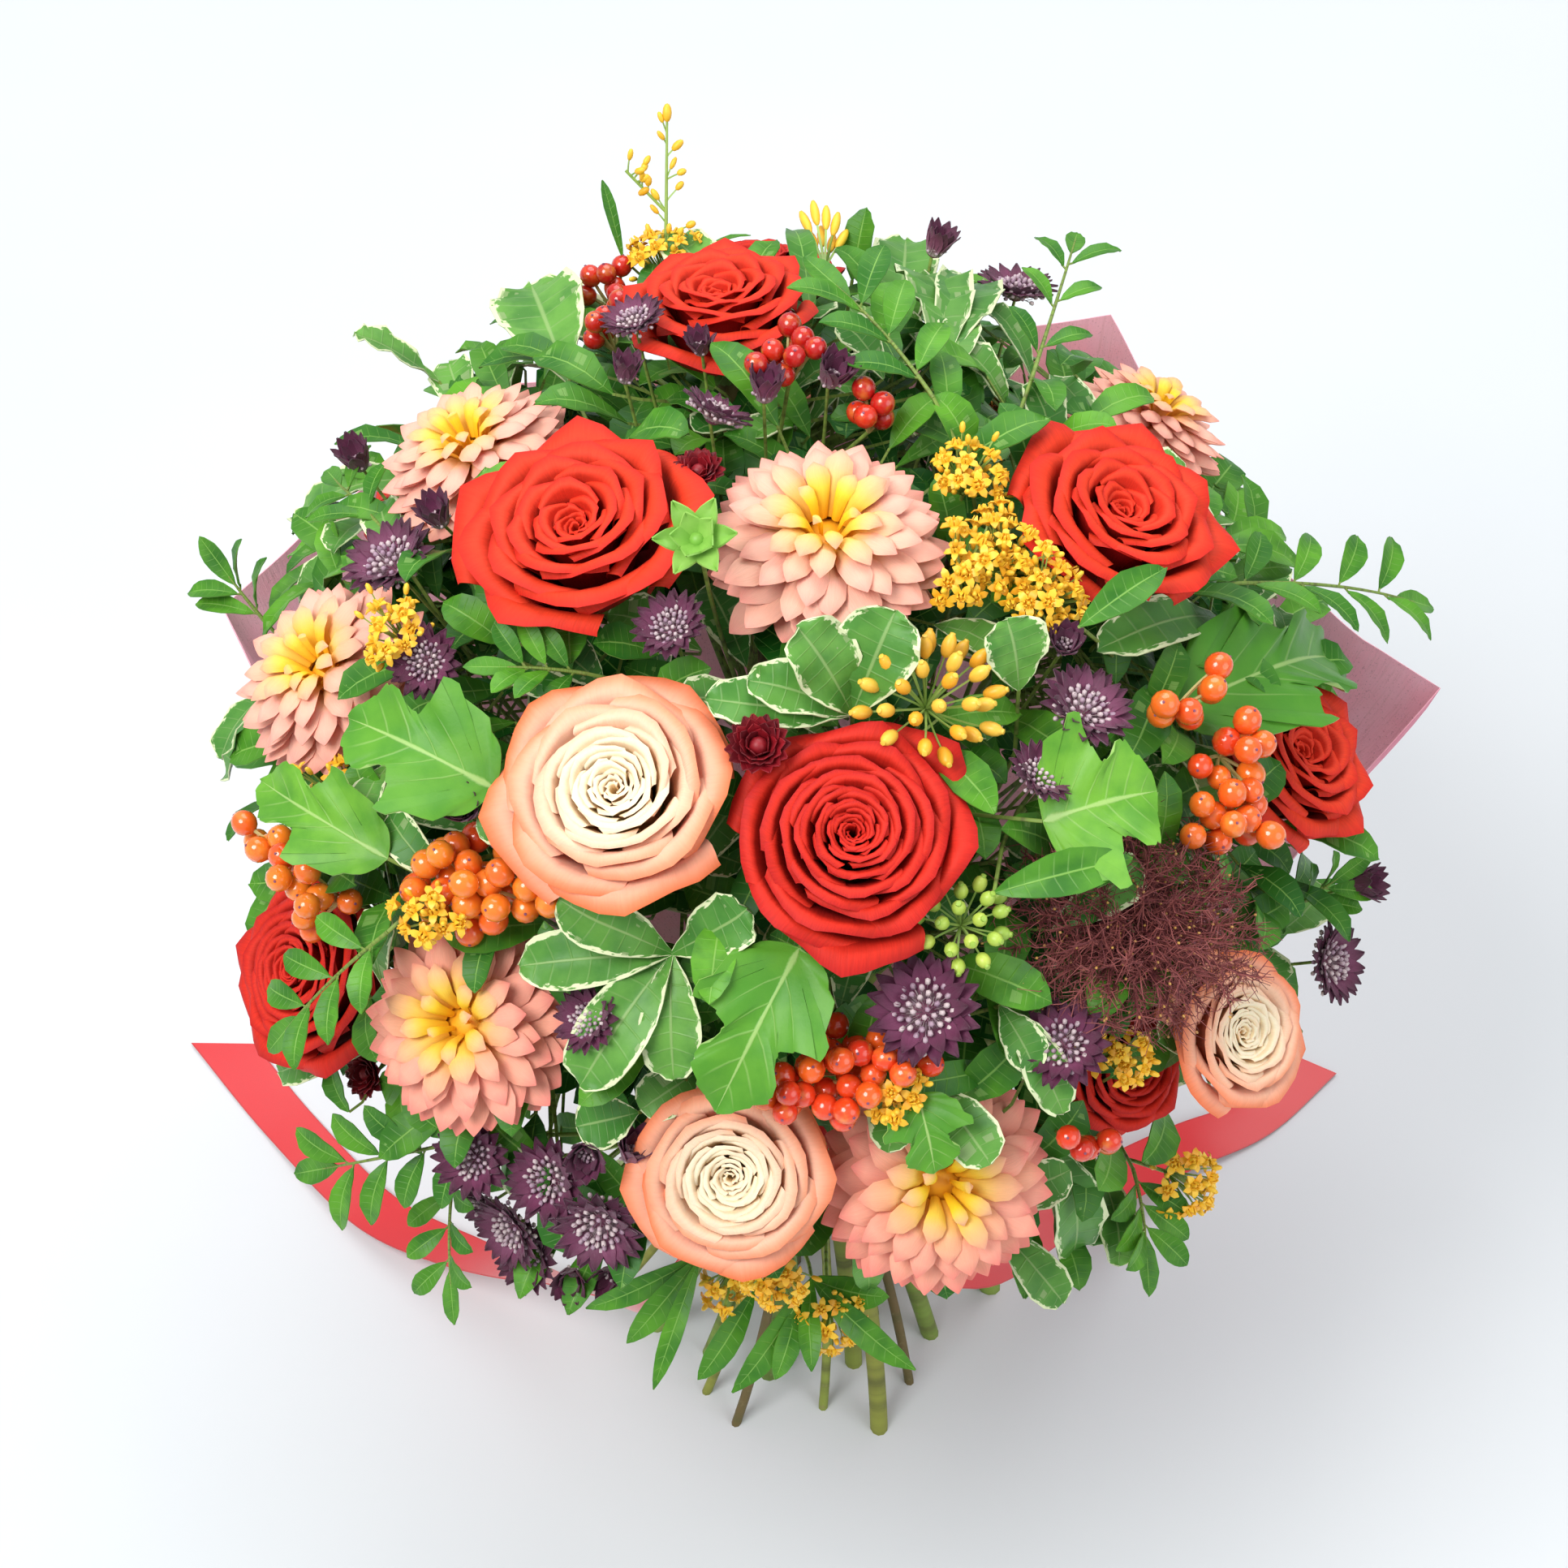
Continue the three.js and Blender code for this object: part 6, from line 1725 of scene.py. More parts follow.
# The edge of each kind of leaf: share along the rib where its vein starts, how far ahead it ends, half width
LEAF_EDGES = {
    "oval": [(0, 0, 0.03), (0.1, 0.02, 0.17), (0.25, 0.03, 0.34), (0.42, 0.04, 0.46), (0.6, 0.05, 0.5),
             (0.76, 0.05, 0.45), (0.88, 0.04, 0.32), (0.95, 0.03, 0.18), (1, 0, 0.01)],
    "slim": [(0, 0, 0.03), (0.12, 0.02, 0.26), (0.3, 0.04, 0.45), (0.5, 0.05, 0.5), (0.7, 0.05, 0.4),
             (0.85, 0.05, 0.22), (1, 0, 0.01)],
    "lobed": [(0, 0, 0.02), (0.012, 0.01, 0.16), (0.024, 0.06, 0.3), (0.036, 0.16, 0.42), (0.05, 0.3, 0.5),
              (0.065, 0.42, 0.56), (0.1, 0.38, 0.46), (0.16, 0.34, 0.34), (0.24, 0.3, 0.24),
              (0.34, 0.24, 0.22), (0.42, 0.26, 0.3), (0.5, 0.26, 0.35), (0.6, 0.22, 0.3),
              (0.7, 0.18, 0.22), (0.8, 0.13, 0.15), (0.9, 0.07, 0.08), (1, 0, 0.01)],
}
LEAF_ROWS = {"oval": 13, "slim": 9, "lobed": 45}
TEETH = {"oval": (0, 0), "slim": (0, 0), "lobed": (11, 0.035)}
SPINE_STEPS = {"oval": 3, "lobed": 5}
LEAF_SKINS = {"lobed": LOBED_LEAF, "oval": EDGED_LEAF, "slim": SLIM_LEAF}
LEAF_THICKNESS = 0.35
LEAF_FOLD = 0.25
SPINE_POINTS = 60
LEAFLET_SHARES = (0, 0.35, 0.7, 1)


def leaf_blade(heap, kind, spine, width, shade, rng, wave=0.06, plain=False):
    """A leaf on its spine, with its rows along its side veins. A plain one, deep in the head, has fewer."""
    heap.use(LEAF_SKINS[kind])
    rows, columns = (7, 3) if plain else (LEAF_ROWS[kind], 7)
    s = np.linspace(0, 1, rows)
    edge = np.array(LEAF_EDGES[kind])
    keys = np.linspace(0, 1, len(edge))
    rib, ahead, half = (np.interp(s, keys, edge[:, k]) for k in range(3))
    count, depth = TEETH[kind]
    if count:
        saw = (s * count) % 1
        half = half * (1 + depth * 4 * (0.5 - saw) * (half > 0.1))
    v = np.linspace(-1, 1, columns)
    length = sum(np.linalg.norm(np.diff(spine, axis=0), axis=1))
    where = np.clip(rib[:, None] + ahead[:, None] * np.abs(v)[None, :] ** 1.2, 0, 1)
    fine = smooth_line(spine, SPINE_POINTS)
    ways = units(np.gradient(fine, axis=0))
    sides = units(np.cross(units(fine - FAN), ways))
    steps = np.linspace(0, 1, SPINE_POINTS)
    places, aside, above = (
        np.stack([np.interp(where, steps, vectors[:, k]) for k in range(3)], axis=2)
        for vectors in (fine, sides, np.cross(ways, sides)))
    across = v[None, :] * half[:, None] * width
    start, waves = rng.uniform(0, 6), rng.uniform(2.5, 4.5)
    phase = waves * 2 * math.pi * s[:, None] * max(1, length / 60) + start + 1.4 * np.sign(v)[None, :]
    ripple = wave * width * (v[None, :] ** 2) * np.sin(phase) * ease(s * 6)[:, None]
    lift = LEAF_FOLD * np.abs(across) + ripple
    grid = places + aside * across[:, :, None] + above * lift[:, :, None]
    sheet(heap, within_paper(grid), LEAF_THICKNESS, rib, v, shade)


def arched(foot, tip, face, height, shares):
    """Points from foot to tip, arched towards face by a share of the leaf's length"""
    arch = face * height * np.linalg.norm(tip - foot)
    return [mix(foot, tip, k) + arch * math.sin(math.pi * k) for k in shares]


def leaf_spine(kind, foot, tip):
    """Points along a leaf's rib, arched outward and moved off what is there"""
    face = outward(mix(foot, tip, 0.5))
    steps = SPINE_STEPS[kind]
    arch = 0.14 * np.linalg.norm(tip - foot)
    spine = []
    for n in range(steps + 1):
        place = mix(foot, tip, n / steps) + face * arch * math.sin(math.pi * n / steps)
        spine.append(nudge(place, 2.5) if n else place)
    return spine


def eased(spine):
    """The spine with its kinks smoothed"""
    spine = np.array(spine)
    spine[1:-1] = 0.5 * spine[1:-1] + 0.25 * (spine[:-2] + spine[2:])
    return spine


def stalked(spray, spine):
    """The way of a leaf's stalk from the next fork, drawn as a thin tube"""
    fork = next_fork(spray)
    leave = unit(spine[0] - fork)
    arrive = unit(spine[1] - spine[0])
    controls, points, _ = free_way(fork, leave, spine[0], arrive, 1, spray["name"], 2)
    taken.take(list(points[:-1]) + list(spine), 1, spray["name"])
    spray["heap"].use(STEM_BARK)
    tube(spray["heap"], bezier(controls, 9), np.linspace(0.95, 0.6, 9), 6, 0.3)


SLIM_BELOW = 15


def grow_leaf(spray, kind, base, tip, width, rng):
    spine = leaf_spine(kind, nudge(base, 1.5), tip)
    stalked(spray, spine)
    spine = eased(spine)
    shade = float(rng.uniform(0.1, 0.8))
    if kind == "lobed":
        face = outward(mix(spine[0], spine[-1], 0.5))
        calm = arched(spine[0], spine[-1], face, 0.12, np.linspace(0, 1, len(spine)))
        spine = 0.3 * spine + 0.7 * np.array(calm)
        leaf_blade(spray["heap"], kind, spine, 1.05 * width, shade, rng, 0.03)
    else:
        leaf_blade(spray["heap"], "slim" if width < SLIM_BELOW else kind, spine, width, shade, rng)


def grow_whorl(spray, at, tips, rng):
    """Leaves that spread from one place: slim smooth ones in a strap spray, oval wavy ones in the others"""
    hub = nudge(seen(at, WHORL_LIFT), 2)
    branch(spray, hub, outward(hub), 1, 2)
    straps = spray["name"].startswith("strap")
    kind, share, darkest, wave = ("slim", 0.72, 0.4, 0.03) if straps else ("oval", 1, 0.8, 0.09)
    for tip, width, lift in tips:
        spine = leaf_spine("oval", hub, seen(tip, lift))
        taken.take(spine[1:], 1, spray["name"])
        shade = float(rng.uniform(0, darkest))
        leaf_blade(spray["heap"], kind, eased(spine), width * share, shade, rng, wave)


def grow_sprig(spray, start, end, pairs, leaflet, lift, rng):
    """A thin arched stalk with pairs of leaflets and one at its end"""
    first, last = seen(start, lift - 8), seen(end, lift + 4)
    middle = mix(first, last, 0.5)
    bend = middle + outward(middle) * 0.1 * np.linalg.norm(last - first)
    spine = []
    for n in range(2 * pairs + 2):
        t = n / (2 * pairs + 1)
        place = first * (1 - t) ** 2 + 2 * bend * t * (1 - t) + last * t * t
        spine.append(nudge(place, 1.5))
    stalked(spray, spine)
    heap = spray["heap"]
    line = smooth_line(spine, 4 * len(spine))
    tube(heap, line, np.linspace(0.7, 0.35, len(line)), 6, 0.3)
    for n in range(1, 2 * pairs + 1, 2):
        way = unit(spine[n + 1] - spine[n - 1])
        face = outward(spine[n])
        side = unit(np.cross(way, face))
        for hand in (-1, 1):
            reach = leaflet * rng.uniform(0.95, 1.15)
            tilt = unit(side * hand + way * rng.uniform(0.5, 0.9) + face * rng.uniform(-0.1, 0.45))
            root = mix(spine[n], spine[n + 1], 0.3 * (hand > 0))
            foot = root + tilt * 1.5
            blade_line = [foot + tilt * reach * k + face * 0.12 * reach * math.sin(math.pi * k)
                          for k in LEAFLET_SHARES]
            shade = float(rng.uniform(0, 0.7))
            leaf_blade(heap, "slim", np.array(blade_line), 0.46 * leaflet, shade, rng, 0.03)
            heap.use(STEM_BARK)
            tube(heap, np.array([root, foot, foot + tilt]), [0.4, 0.35, 0.3], 5, 0.3)
    end_way = unit(spine[-1] - spine[-2])
    blade_line = [spine[-2] + end_way * leaflet * k for k in (0, 0.4, 0.8, 1.1)]
    leaf_blade(heap, "slim", np.array(blade_line), 0.44 * leaflet, 0.3, rng, 0.03)


def grow_foliage(spray):
    rng = dice(spray["name"])
    for at, tips in spray["whorls"]:
        grow_whorl(spray, at, tips, rng)
    for kind, base, tip, width, lift in spray["leaves"]:
        grow_leaf(spray, kind, seen(base, lift - 12), seen(tip, lift), width, rng)
    for kind, bearing, slant, width in spray["back"]:
        grow_leaf(spray, kind, *back_leaf_ends(bearing, slant), width, rng)
    for start, end, pairs, leaflet, lift in spray["sprigs"]:
        grow_sprig(spray, start, end, pairs, leaflet, lift, rng)


GROW = {
    "astrantia": grow_astrantia,
    "berries": grow_berries,
    "florets": grow_florets,
    "umbels": grow_umbels,
    "plume": grow_plume,
    "foliage": grow_foliage,
}
MORE = {"berries": add_berries, "florets": add_florets}
# The materials of each kind of spray, and its slot, where the spray has none of its own
SPRAY_MATERIALS = {
    "astrantia": [STEM_BARK, BRACT, CUSHION, DARK_THREAD, RUFFLE_PETAL],
    "berries": [STEM_BARK, BERRY_SKIN, PALE_STALK, DARK_THREAD],
    "florets": [STEM_BARK, GOLDEN_PETAL, GREEN_RAY],
    "umbels": [STEM_BARK, YELLOW_BUD, GREEN_RAY, SEPAL, GREEN_BUD, STAR_GREEN],
    "plume": [STEM_BARK, SMOKE_THREAD, SMOKE_SEED],
    "foliage": [STEM_BARK, LOBED_LEAF, EDGED_LEAF, SLIM_LEAF],
}
SPRAY_SLOTS = {
    "astrantia": "plum_bracts",
    "florets": "golden_florets",
    "umbels": "umbel_buds",
    "plume": "smoke_plume",
    "foliage": "leaves",
}


# Small things that only the fine model has. Each grows on the stem nearest to it.

# Astrantia heads (at, width), and leaves (spray, kind, base, tip, width, lift)
EXTRA_HEADS = [((662, 1542), 19), ((684, 1452), 20), ((775, 1430), 15), ((608, 1480), 16), ((760, 1565), 14)]
EXTRA_LEAVES = [
    ("pittosporum_low", "oval", (1300, 1410), (1322, 1545), 19, -6),
    ("pittosporum_low", "oval", (1350, 1430), (1378, 1560), 16, -8),
    ("pittosporum_low", "slim", (1250, 1480), (1262, 1600), 12, -12),
    ("pittosporum_low", "slim", (1300, 1500), (1330, 1590), 11, -12),
    ("strap_leaves_low", "slim", (700, 1480), (640, 1600), 11, -10),
    ("strap_leaves_low", "slim", (745, 1520), (700, 1620), 10, -8),
    ("strap_leaves_low", "slim", (930, 1590), (860, 1700), 9, -2),
    ("strap_leaves_low", "slim", (985, 1600), (955, 1700), 8, 2),
    ("strap_leaves_low", "slim", (1060, 1500), (1070, 1590), 10, -4),
    ("pittosporum_top", "slim", (768, 320), (742, 222), 4, 8),
    ("pittosporum_top", "slim", (850, 330), (925, 290), 4, 6),
    ("pittosporum_top", "slim", (1000, 400), (975, 285), 9, 2),
    ("viburnum_leaves_left", "oval", (500, 700), (470, 620), 14, -8),
    ("viburnum_leaves_left", "slim", (430, 1370), (410, 1300), 9, -10),
]

# A small bunch of long yellow buds, dark red ruffled heads (at, width, lift), berries (spray, lift, places)
TUBE_BUDS_HUB = (1016, 330)
TUBE_BUDS = [
    (990, 268), (1003, 256), (1018, 262), (1031, 270), (998, 290), (1012, 286), (1026, 296), (1040, 290)]
RUFFLES = [((935, 925), 20, 2), ((862, 590), 17, -2), ((462, 1322), 18, -8)]
EXTRA_BERRY = 7.5
EXTRA_BERRIES = [
    ("berries_front", 4, [
        (981, 1344), (1012, 1360), (1044, 1346), (966, 1356), (1066, 1332), (1094, 1306), (1084, 1320),
        (1128, 1318), (1000, 1318), (1052, 1300), (1030, 1372)]),
    ("berries_right", 3, [(1479, 944), (1502, 958), (1488, 1000), (1512, 1008), (1470, 1030)]),
]


def nearest_root(place, lines):
    """The point of a stem nearest to a place's way into the bouquet"""
    inner = place - outward(place) * 26
    line = min(lines, key=lambda points: np.min(np.linalg.norm(points - inner, axis=1)))
    return line[np.argmin(np.linalg.norm(line - inner, axis=1))]


def side_stalk(heap, place, way, lines, radius, sides=3, material=STEM_BARK):
    """A thin stalk from the nearest stem to a place, which it reaches along way"""
    heap.use(material)
    root = nearest_root(place, lines)
    line = bezier([root, root + outward(place) * 10, place - way * 8, place], 5)
    tube(heap, within_paper(line), np.linspace(1.2, 0.85, 5) * radius, sides, 0.3)


def ruffle(heap, place, axis, size, rng):
    """A small dark red head of short wavy petals"""
    frame = Frame(place, axis)
    heap.use(RUFFLE_PETAL)
    for count, lean, length in ((15, 1.25, 0.8), (13, 0.9, 0.76), (10, 0.55, 0.7), (6, 0.2, 0.6)):
        bract_ring(heap, frame, size, count, lean, length, 0.26, rng)
    ball(heap, place + axis * 0.3 * size, axis, 0.3 * size, 0.36 * size, 9, 7, 0.2)


def add_berry(spray, at, lift, rng):
    """A berry between the others of its bunch"""
    place = nudge(seen(at, lift), 0.42 * EXTRA_BERRY)
    taken.take_ball(place, 0.45 * EXTRA_BERRY, spray["name"])
    hub = min(spray["hubs"], key=lambda spot: np.linalg.norm(spot - place))
    berry(spray["heap"], hub, place, EXTRA_BERRY, spray["tone"], rng)


def add_tube_buds(heap, lines, rng):
    hub = seen(TUBE_BUDS_HUB, -2)
    side_stalk(heap, hub, outward(hub), lines, 0.7, 5, GREEN_RAY)
    for at in TUBE_BUDS:
        heap.use(GREEN_RAY)
        tip = seen(at, 6)
        way = stalk(heap, hub, tip, 0.4, rng, 0.05)
        heap.use(GOLDEN_PETAL)
        ball(heap, tip - way * 2, way, 1.5, 5, 8, 8, float(rng.uniform(0.6, 1)))


def add_details(sprays, lines):
    rng = dice("details")
    named = {spray["name"]: spray for spray in sprays}
    for at, width in EXTRA_HEADS:
        heap = named["astrantia_low_left"]["heap"]
        place = seen(at, -4)
        axis = unit(outward(place) + 0.3 * rng.normal(size=3))
        side_stalk(heap, place, axis, lines, 0.6, 5)
        astrantia_head(heap, place, axis, 1.35 * width, int(rng.integers(3)), rng)
    for at, width, lift in RUFFLES:
        heap = named["astrantia_upper"]["heap"]
        place = seen(at, lift)
        side_stalk(heap, place, outward(place), lines, 0.7, 5)
        ruffle(heap, place, outward(place), width / 2, rng)
    for name, kind, base, tip, width, lift in EXTRA_LEAVES:
        heap = named[name]["heap"]
        foot, end = seen(base, lift - 8), seen(tip, lift)
        side_stalk(heap, foot, unit(end - foot), lines, 0.6)
        spine = arched(foot, end, outward(mix(foot, end, 0.5)), 0.14, (0, 0.25, 0.5, 0.75, 1))
        leaf_blade(heap, kind, np.array(spine), width, float(rng.uniform(0, 0.5)), rng, 0.05)
    for name, lift, spots in EXTRA_BERRIES:
        for at in spots:
            add_berry(named[name], at, lift, rng)
    add_tube_buds(named["butterfly_weed_left"]["heap"], lines, rng)


# Small leaves that fill the head between the flowers, where nothing else is. They go into the foliage's
# pieces in turn, and each has a stalk from the stem nearest to it, of any kind.

FILLERS = 1700
FILLER_DEPTH = 52
EDGED_SHARE = 0.16


def grow_fillers(sprays, lines):
    rng = dice("fillers")
    leafy = [spray for spray in sprays if spray["kind"] == "foliage"]
    starts, ends, radii, _ = taken.packed()
    for n in range(FILLERS):
        lean = math.degrees(math.acos(1 - 1.3 * (n + 0.5) / FILLERS))
        lift = -9 - FILLER_DEPTH * rng.random() ** 1.3
        place = behind(math.degrees(n * GOLDEN) % 360, lean, lift)
        axis = outward(place)
        twist = rng.uniform(0, 2 * math.pi)
        side = unit(np.cross(axis, point(0.2, 0.5, 1)))
        flat = side * math.cos(twist) + np.cross(axis, side) * math.sin(twist)
        way = unit(flat + axis * rng.uniform(0.1, 0.8))
        long = rng.uniform(20, 34)
        tip = place + way * long
        if clearance([place, mix(place, tip, 0.6), tip], 0.8, (starts, ends, radii)) < 0:
            continue
        heap = leafy[n % len(leafy)]["heap"]
        side_stalk(heap, place, way, lines, 0.6)
        kind, widths = ("oval", (12, 17)) if rng.random() < EDGED_SHARE else ("slim", (9, 15))
        spine = np.array([place + way * long * k + axis * 0.16 * long * math.sin(math.pi * k)
                          for k in LEAFLET_SHARES])
        width = rng.uniform(*widths)
        # Leaves lower in the head get a higher shade mark and so a darker colour: painted shade over a
        # random tone.
        shade = float(np.clip(rng.uniform(0, 0.9) + (-lift - 20) / 60, 0, 1))
        leaf_blade(heap, kind, spine, width, shade, rng, 0.05, plain=True)


# Wrapping paper

def grow_paper(form):
    heap = Heap(MAUVE_PAPER)
    rows, columns = form.shape[:2]
    sheet(heap, form, 0.35, np.linspace(0, 1, rows), np.linspace(-1, 1, columns), 0.5)
    heap.build("wrapping_paper", "paper", "wrapping_paper", 70)


# Ribbon

def ribbon_strip(points, width, fine):
    """Grid of a ribbon along points [x, y, z, degrees on edge], with so many steps between each two"""
    line = smooth_line(np.array([p[:3] for p in points], dtype=float), (len(points) - 1) * fine + 1)
    edge = np.interp(np.linspace(0, 1, len(line)), np.linspace(0, 1, len(points)), [p[3] for p in points])
    rows = []
    v = np.linspace(-1, 1, 9)
    for place, way, degrees in zip(line, units(np.gradient(line, axis=0)), edge):
        flat = unit(np.cross(way, UP))
        turn = math.radians(degrees)
        across = flat * math.cos(turn) + np.cross(way, flat) * math.sin(turn)
        rows.append(place + across * (v[:, None] * width / 2))
    return np.array(rows), v


def grow_tail(name, points, slant, longer):
    """One tail of the ribbon, cut on a slant at its end, and a little longer than its solid"""
    heap = Heap(RED_SATIN)
    grid, v = ribbon_strip(points, RIBBON_WIDTH, 9)
    way = unit(grid[-1, 4] - grid[-2, 4])
    rows = len(grid)
    cut = np.clip((np.arange(rows) - rows * 0.72) / (rows * 0.28), 0, 1)
    grid += way * (slant * v[None, :, None] + longer) * cut[:, None, None]
    steps = np.linspace(0, 1, rows)
    calm = (1 - ease((steps - 0.7) / 0.2))[:, None]
    ripple = 0.6 * np.sin(9 * steps + 1)[:, None] * (1 - v[None, :] ** 2) * calm
    normal = units(np.cross(np.gradient(grid, axis=0), np.gradient(grid, axis=1)))
    grid = grid + normal * ripple[:, :, None]
    grid[:, :, 2] = np.maximum(grid[:, :, 2], 0.5)
    sheet(heap, grid, 0.4, steps, v, 0.5)
    piece = heap.build(name, "ribbon", "ribbon")


# How far the middle of the band lies outside the stems, with the paper between
BAND_GAP = 5.1
KNOT_WIDTH, KNOT_DEPTH, KNOT_HEIGHT = 9, 8, 11


def bow_band(heap, radius):
    sides = 72
    turn = np.linspace(0, 2 * math.pi, sides + 1)
    v = np.linspace(-1, 1, 15)
    across = 0.45 * np.sin(3.2 * math.pi * v)[None, :]
    radius = radius + (across + 0.25 * np.sin(7 * turn)[:, None] * np.cos(2 * v)[None, :])
    grid = np.stack([
        radius * np.cos(turn)[:, None], radius * np.sin(turn)[:, None],
        BAND_HEIGHT + np.broadcast_to(v * RIBBON_WIDTH / 2, radius.shape)], axis=2)
    sheet(heap, grid, 0.5, np.linspace(0, 9, sides + 1), v, 0.5)


def bow_loop(heap, y, hand):
    points = [(hand * x, y, BAND_HEIGHT + z, 0) for x, z in LOOP]
    grid, v = ribbon_strip(points, 0.8 * RIBBON_WIDTH, 8)
    steps = np.linspace(0, 1, len(grid))
    pinch = 1 - 0.5 * np.exp(-(np.minimum(steps, 1 - steps) / 0.12) ** 2)
    middle = grid.mean(axis=1, keepdims=True)
    grid = middle + (grid - middle) * pinch[:, None, None]
    grid[:, :, 2] += 0.7 * np.sin(4 * v)[None, :] * np.sin(6 * steps)[:, None]
    sheet(heap, grid, 0.4, steps * 4, v, 0.5)


def bow_knot(heap, centre):
    """An egg with five soft ridges"""
    sides = 28
    lean = np.linspace(0, math.pi, 19)[:, None]
    turns = np.arange(sides) * 2 * math.pi / sides
    ridge = 1 + 0.07 * np.sin(5 * turns)[None, :] * np.sin(lean)
    rings = np.stack([
        KNOT_WIDTH * np.sin(lean) * np.cos(turns) * ridge, KNOT_DEPTH * np.sin(lean) * np.sin(turns) * ridge,
        np.repeat(-KNOT_HEIGHT * np.cos(lean), sides, axis=1)], axis=2)[1:-1]
    points = np.concatenate([[[0, 0, -KNOT_HEIGHT]], rings.reshape(-1, 3), [[0, 0, KNOT_HEIGHT]]]) + centre
    closed_skin(heap, points, sides, np.full(len(points), 0.5), 0.5)


def grow_bow(bundle_radius):
    """The band round the tie, the two loops and the knot between them"""
    heap = Heap(RED_SATIN)
    bow_band(heap, bundle_radius + BAND_GAP)
    for hand in (-1, 1):
        bow_loop(heap, -bundle_radius - 13, hand)
    bow_knot(heap, point(0, -bundle_radius - 11, BAND_HEIGHT))
    heap.build("ribbon_bow", "ribbon", "ribbon")


# Stems and hips of the blooms

STEM_SHADES = (0.1, 0.35, 0.6, 0.8, 0.3, 1.0, 0.5)


HIP_WIDTH = {"rose": 0.2, "dahlia": 0.24}
ROSE_SEPALS = 5
SEPAL_HALF = [0.7, 1.0, 1.0, 0.85, 0.65, 0.42, 0.2, 0.05]


def grow_bloom_stem(bloom, index):
    """A bloom's stem with its green hip, and with sepals that bend down under a rose"""
    heap = Heap(STEM_BARK, SEPAL)
    grow_stem(heap, bloom, STEM_SHADES[index % len(STEM_SHADES)], bloom["radius"], 10)
    size = bloom["size"]
    below = Frame(bloom["top"] - bloom["axis"] * 0.2 * size, bloom["axis"])
    heap.use(SEPAL)
    wide = HIP_WIDTH[bloom["kind"]]
    hip = [(0, -0.06), (0.1, -0.04), (0.13, 0.04), (wide, 0.16), (0.12, 0.2), (0, 0.2)]
    turned(heap, hip, below, 14, 0.3, size)
    u, v = np.linspace(0, 1, 8), np.linspace(-1, 1, 5)
    for n in range(ROSE_SEPALS if bloom["kind"] == "rose" else 0):
        spin = 2 * math.pi * n / ROSE_SEPALS + 0.4
        drop = 0.17 - 0.02 * np.sin(math.pi * u) - 0.34 * u ** 2 * (1 if n % 2 else 0.5)
        line = np.stack([0.14 + 0.66 * u, np.zeros(8), drop], axis=1)
        sheet(heap, blade(below, line, 0.1 * np.array(SEPAL_HALF), v, spin, size), 0.45, u, v, 0.4)
    heap.build(bloom["name"] + "_stem", "stems", bloom["name"] + "_stem")


# Making

BLOOMS = [place_bloom(name, seen(at, lift), width) for name, at, width, lift in BLOOMS_IN_VIEW]
BLOOMS += [place_bloom(name, behind(*at, lift), width) for name, at, width, lift in BLOOMS_BEHIND]
SPRAYS = list_sprays()
STEMS = BLOOMS + SPRAYS
BUNDLE_RADIUS = place_stems(STEMS)
PAPER = paper_form(BUNDLE_RADIUS)
PAPER_LIMITS = paper_limits(PAPER)

for n, bloom in enumerate(BLOOMS):
    (grow_rose if bloom["kind"] == "rose" else grow_dahlia)(bloom)
    grow_bloom_stem(bloom, n)
for spray in SPRAYS:
    grow_stem(spray["heap"], spray, 0.2 + 0.1 * (len(spray["name"]) % 7), spray["radius"] * 0.95, 8)
    GROW[spray["kind"]](spray)
for spray in SPRAYS:
    if spray["kind"] in MORE:
        MORE[spray["kind"]](spray)
STEM_LINES = [bezier(stem["controls"], 30) for stem in STEMS]
add_details(SPRAYS, STEM_LINES)
grow_fillers(SPRAYS, STEM_LINES)
for spray in SPRAYS:
    spray["heap"].build(spray["name"], spray.get("slot") or SPRAY_SLOTS[spray["kind"]], spray["name"], 60)
grow_paper(PAPER)
grow_bow(BUNDLE_RADIUS)
grow_tail("ribbon_tail_left", TAIL_LEFT, slant=-8.4, longer=10)
grow_tail("ribbon_tail_right", TAIL_RIGHT, slant=3, longer=0)


# Floor, light and camera

FLOOR_REACH = 6.0


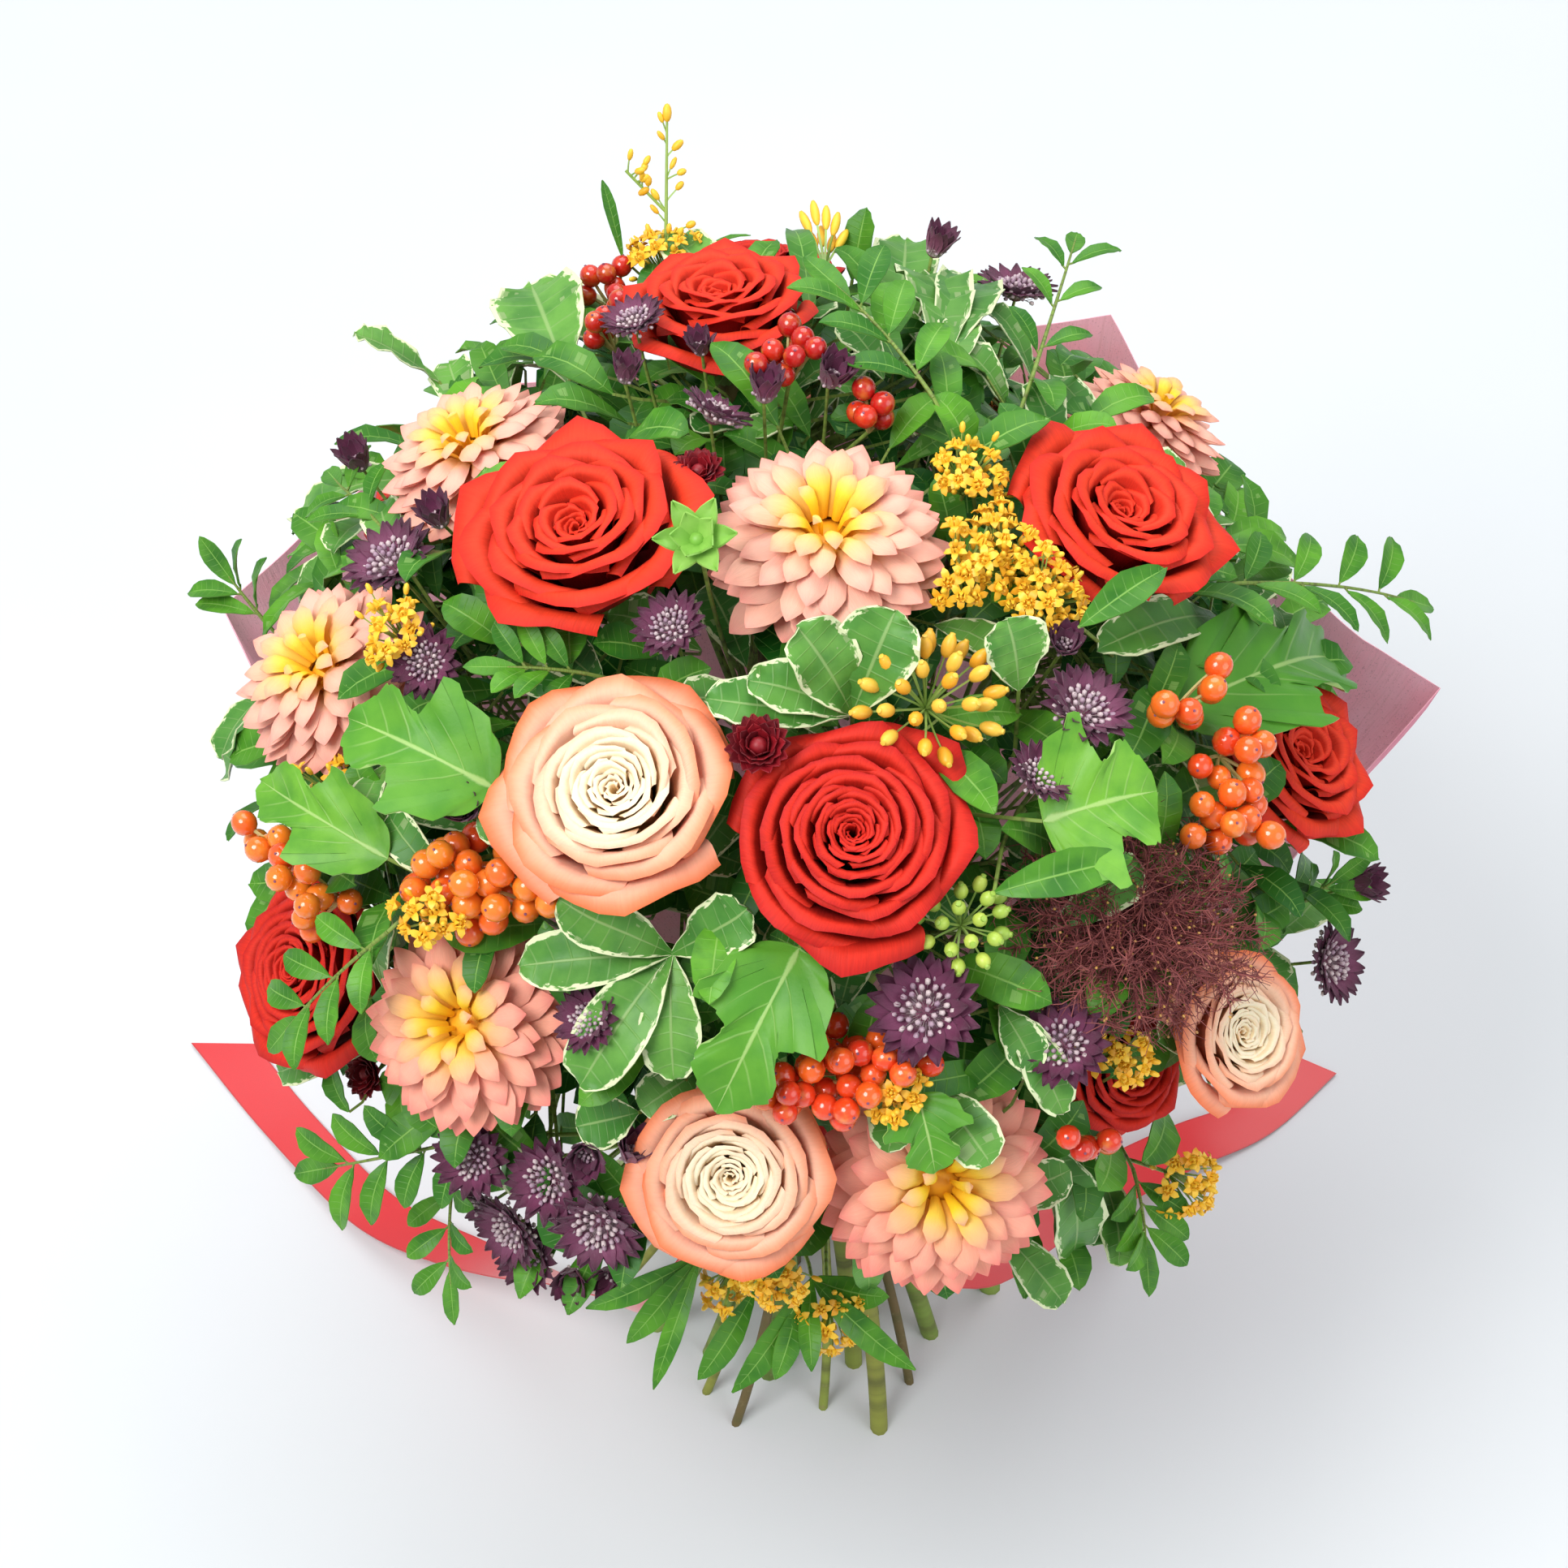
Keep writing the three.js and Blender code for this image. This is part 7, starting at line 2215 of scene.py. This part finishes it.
def add_floor():
    shader = Shader("pale_floor", roughness=0.6, specular_ior_level=0.2)
    shade = shader.between(shader.noise(3), 0.2, 0.8)
    material = shader.finish(shader.blend(shade, (0.68, 0.71, 0.725), (0.72, 0.745, 0.76)))
    mesh = bpy.data.meshes.new("floor")
    corners = [(x * FLOOR_REACH, y * FLOOR_REACH, 0) for x, y in ((-1, -1), (1, -1), (1, 1), (-1, 1))]
    mesh.from_pydata(corners, [], [(0, 1, 2, 3)])
    mesh.materials.append(material)
    floor = bpy.data.objects.new("floor", mesh)
    bpy.context.scene.collection.objects.link(floor)


SENSOR_WIDTH = 36


def point_at(thing, place, target):
    """Puts a lamp or the camera at a place, in metres, and aims it at a target"""
    thing.location = place
    aim = Vector(target) - Vector(place)
    thing.rotation_euler = aim.to_track_quat("-Z", "Y").to_euler()
    bpy.context.scene.collection.objects.link(thing)


# Lights: name, place and size in metres, power in watts, colour
LIGHTS = [
    ("key", (-0.9, -0.7, 1.9), 1.1, 31, (1, 1, 1)),
    ("fill", (1.5, -0.9, 1.2), 1.6, 11, (0.95, 0.98, 1)),
    ("top", (0.1, 0.9, 1.8), 1.6, 19, (1, 1, 1)),
]
WORLD_COLOUR = (0.93, 0.97, 1.0)
WORLD_STRENGTH = 0.56


def add_light(name, place, size, energy, colour):
    lamp = bpy.data.lights.new(name, "AREA")
    lamp.shape = "DISK"
    lamp.size = size
    lamp.energy = energy
    lamp.color = colour
    point_at(bpy.data.objects.new(name, lamp), place, CENTRE * MM)


def add_camera():
    data = bpy.data.cameras.new("camera")
    data.sensor_width = SENSOR_WIDTH
    data.lens = SENSOR_WIDTH * FOCAL_PX / IMAGE
    data.shift_x = -(DOME_PX[0] - IMAGE / 2) / IMAGE
    data.shift_y = -(IMAGE / 2 - DOME_PX[1]) / IMAGE
    data.clip_end = 20
    camera = bpy.data.objects.new("camera", data)
    point_at(camera, EYE * MM, CENTRE * MM)
    bpy.context.scene.camera = camera


def add_world():
    world = bpy.data.worlds.new("studio")
    bpy.context.scene.world = world
    world.use_nodes = True
    background = world.node_tree.nodes["Background"]
    background.inputs["Color"].default_value = (*WORLD_COLOUR, 1)
    background.inputs["Strength"].default_value = WORLD_STRENGTH


add_floor()
add_world()
for name, place, size, energy, colour in LIGHTS:
    add_light(name, place, size, energy, colour)
add_camera()
bpy.context.scene.view_settings.view_transform = "Standard"
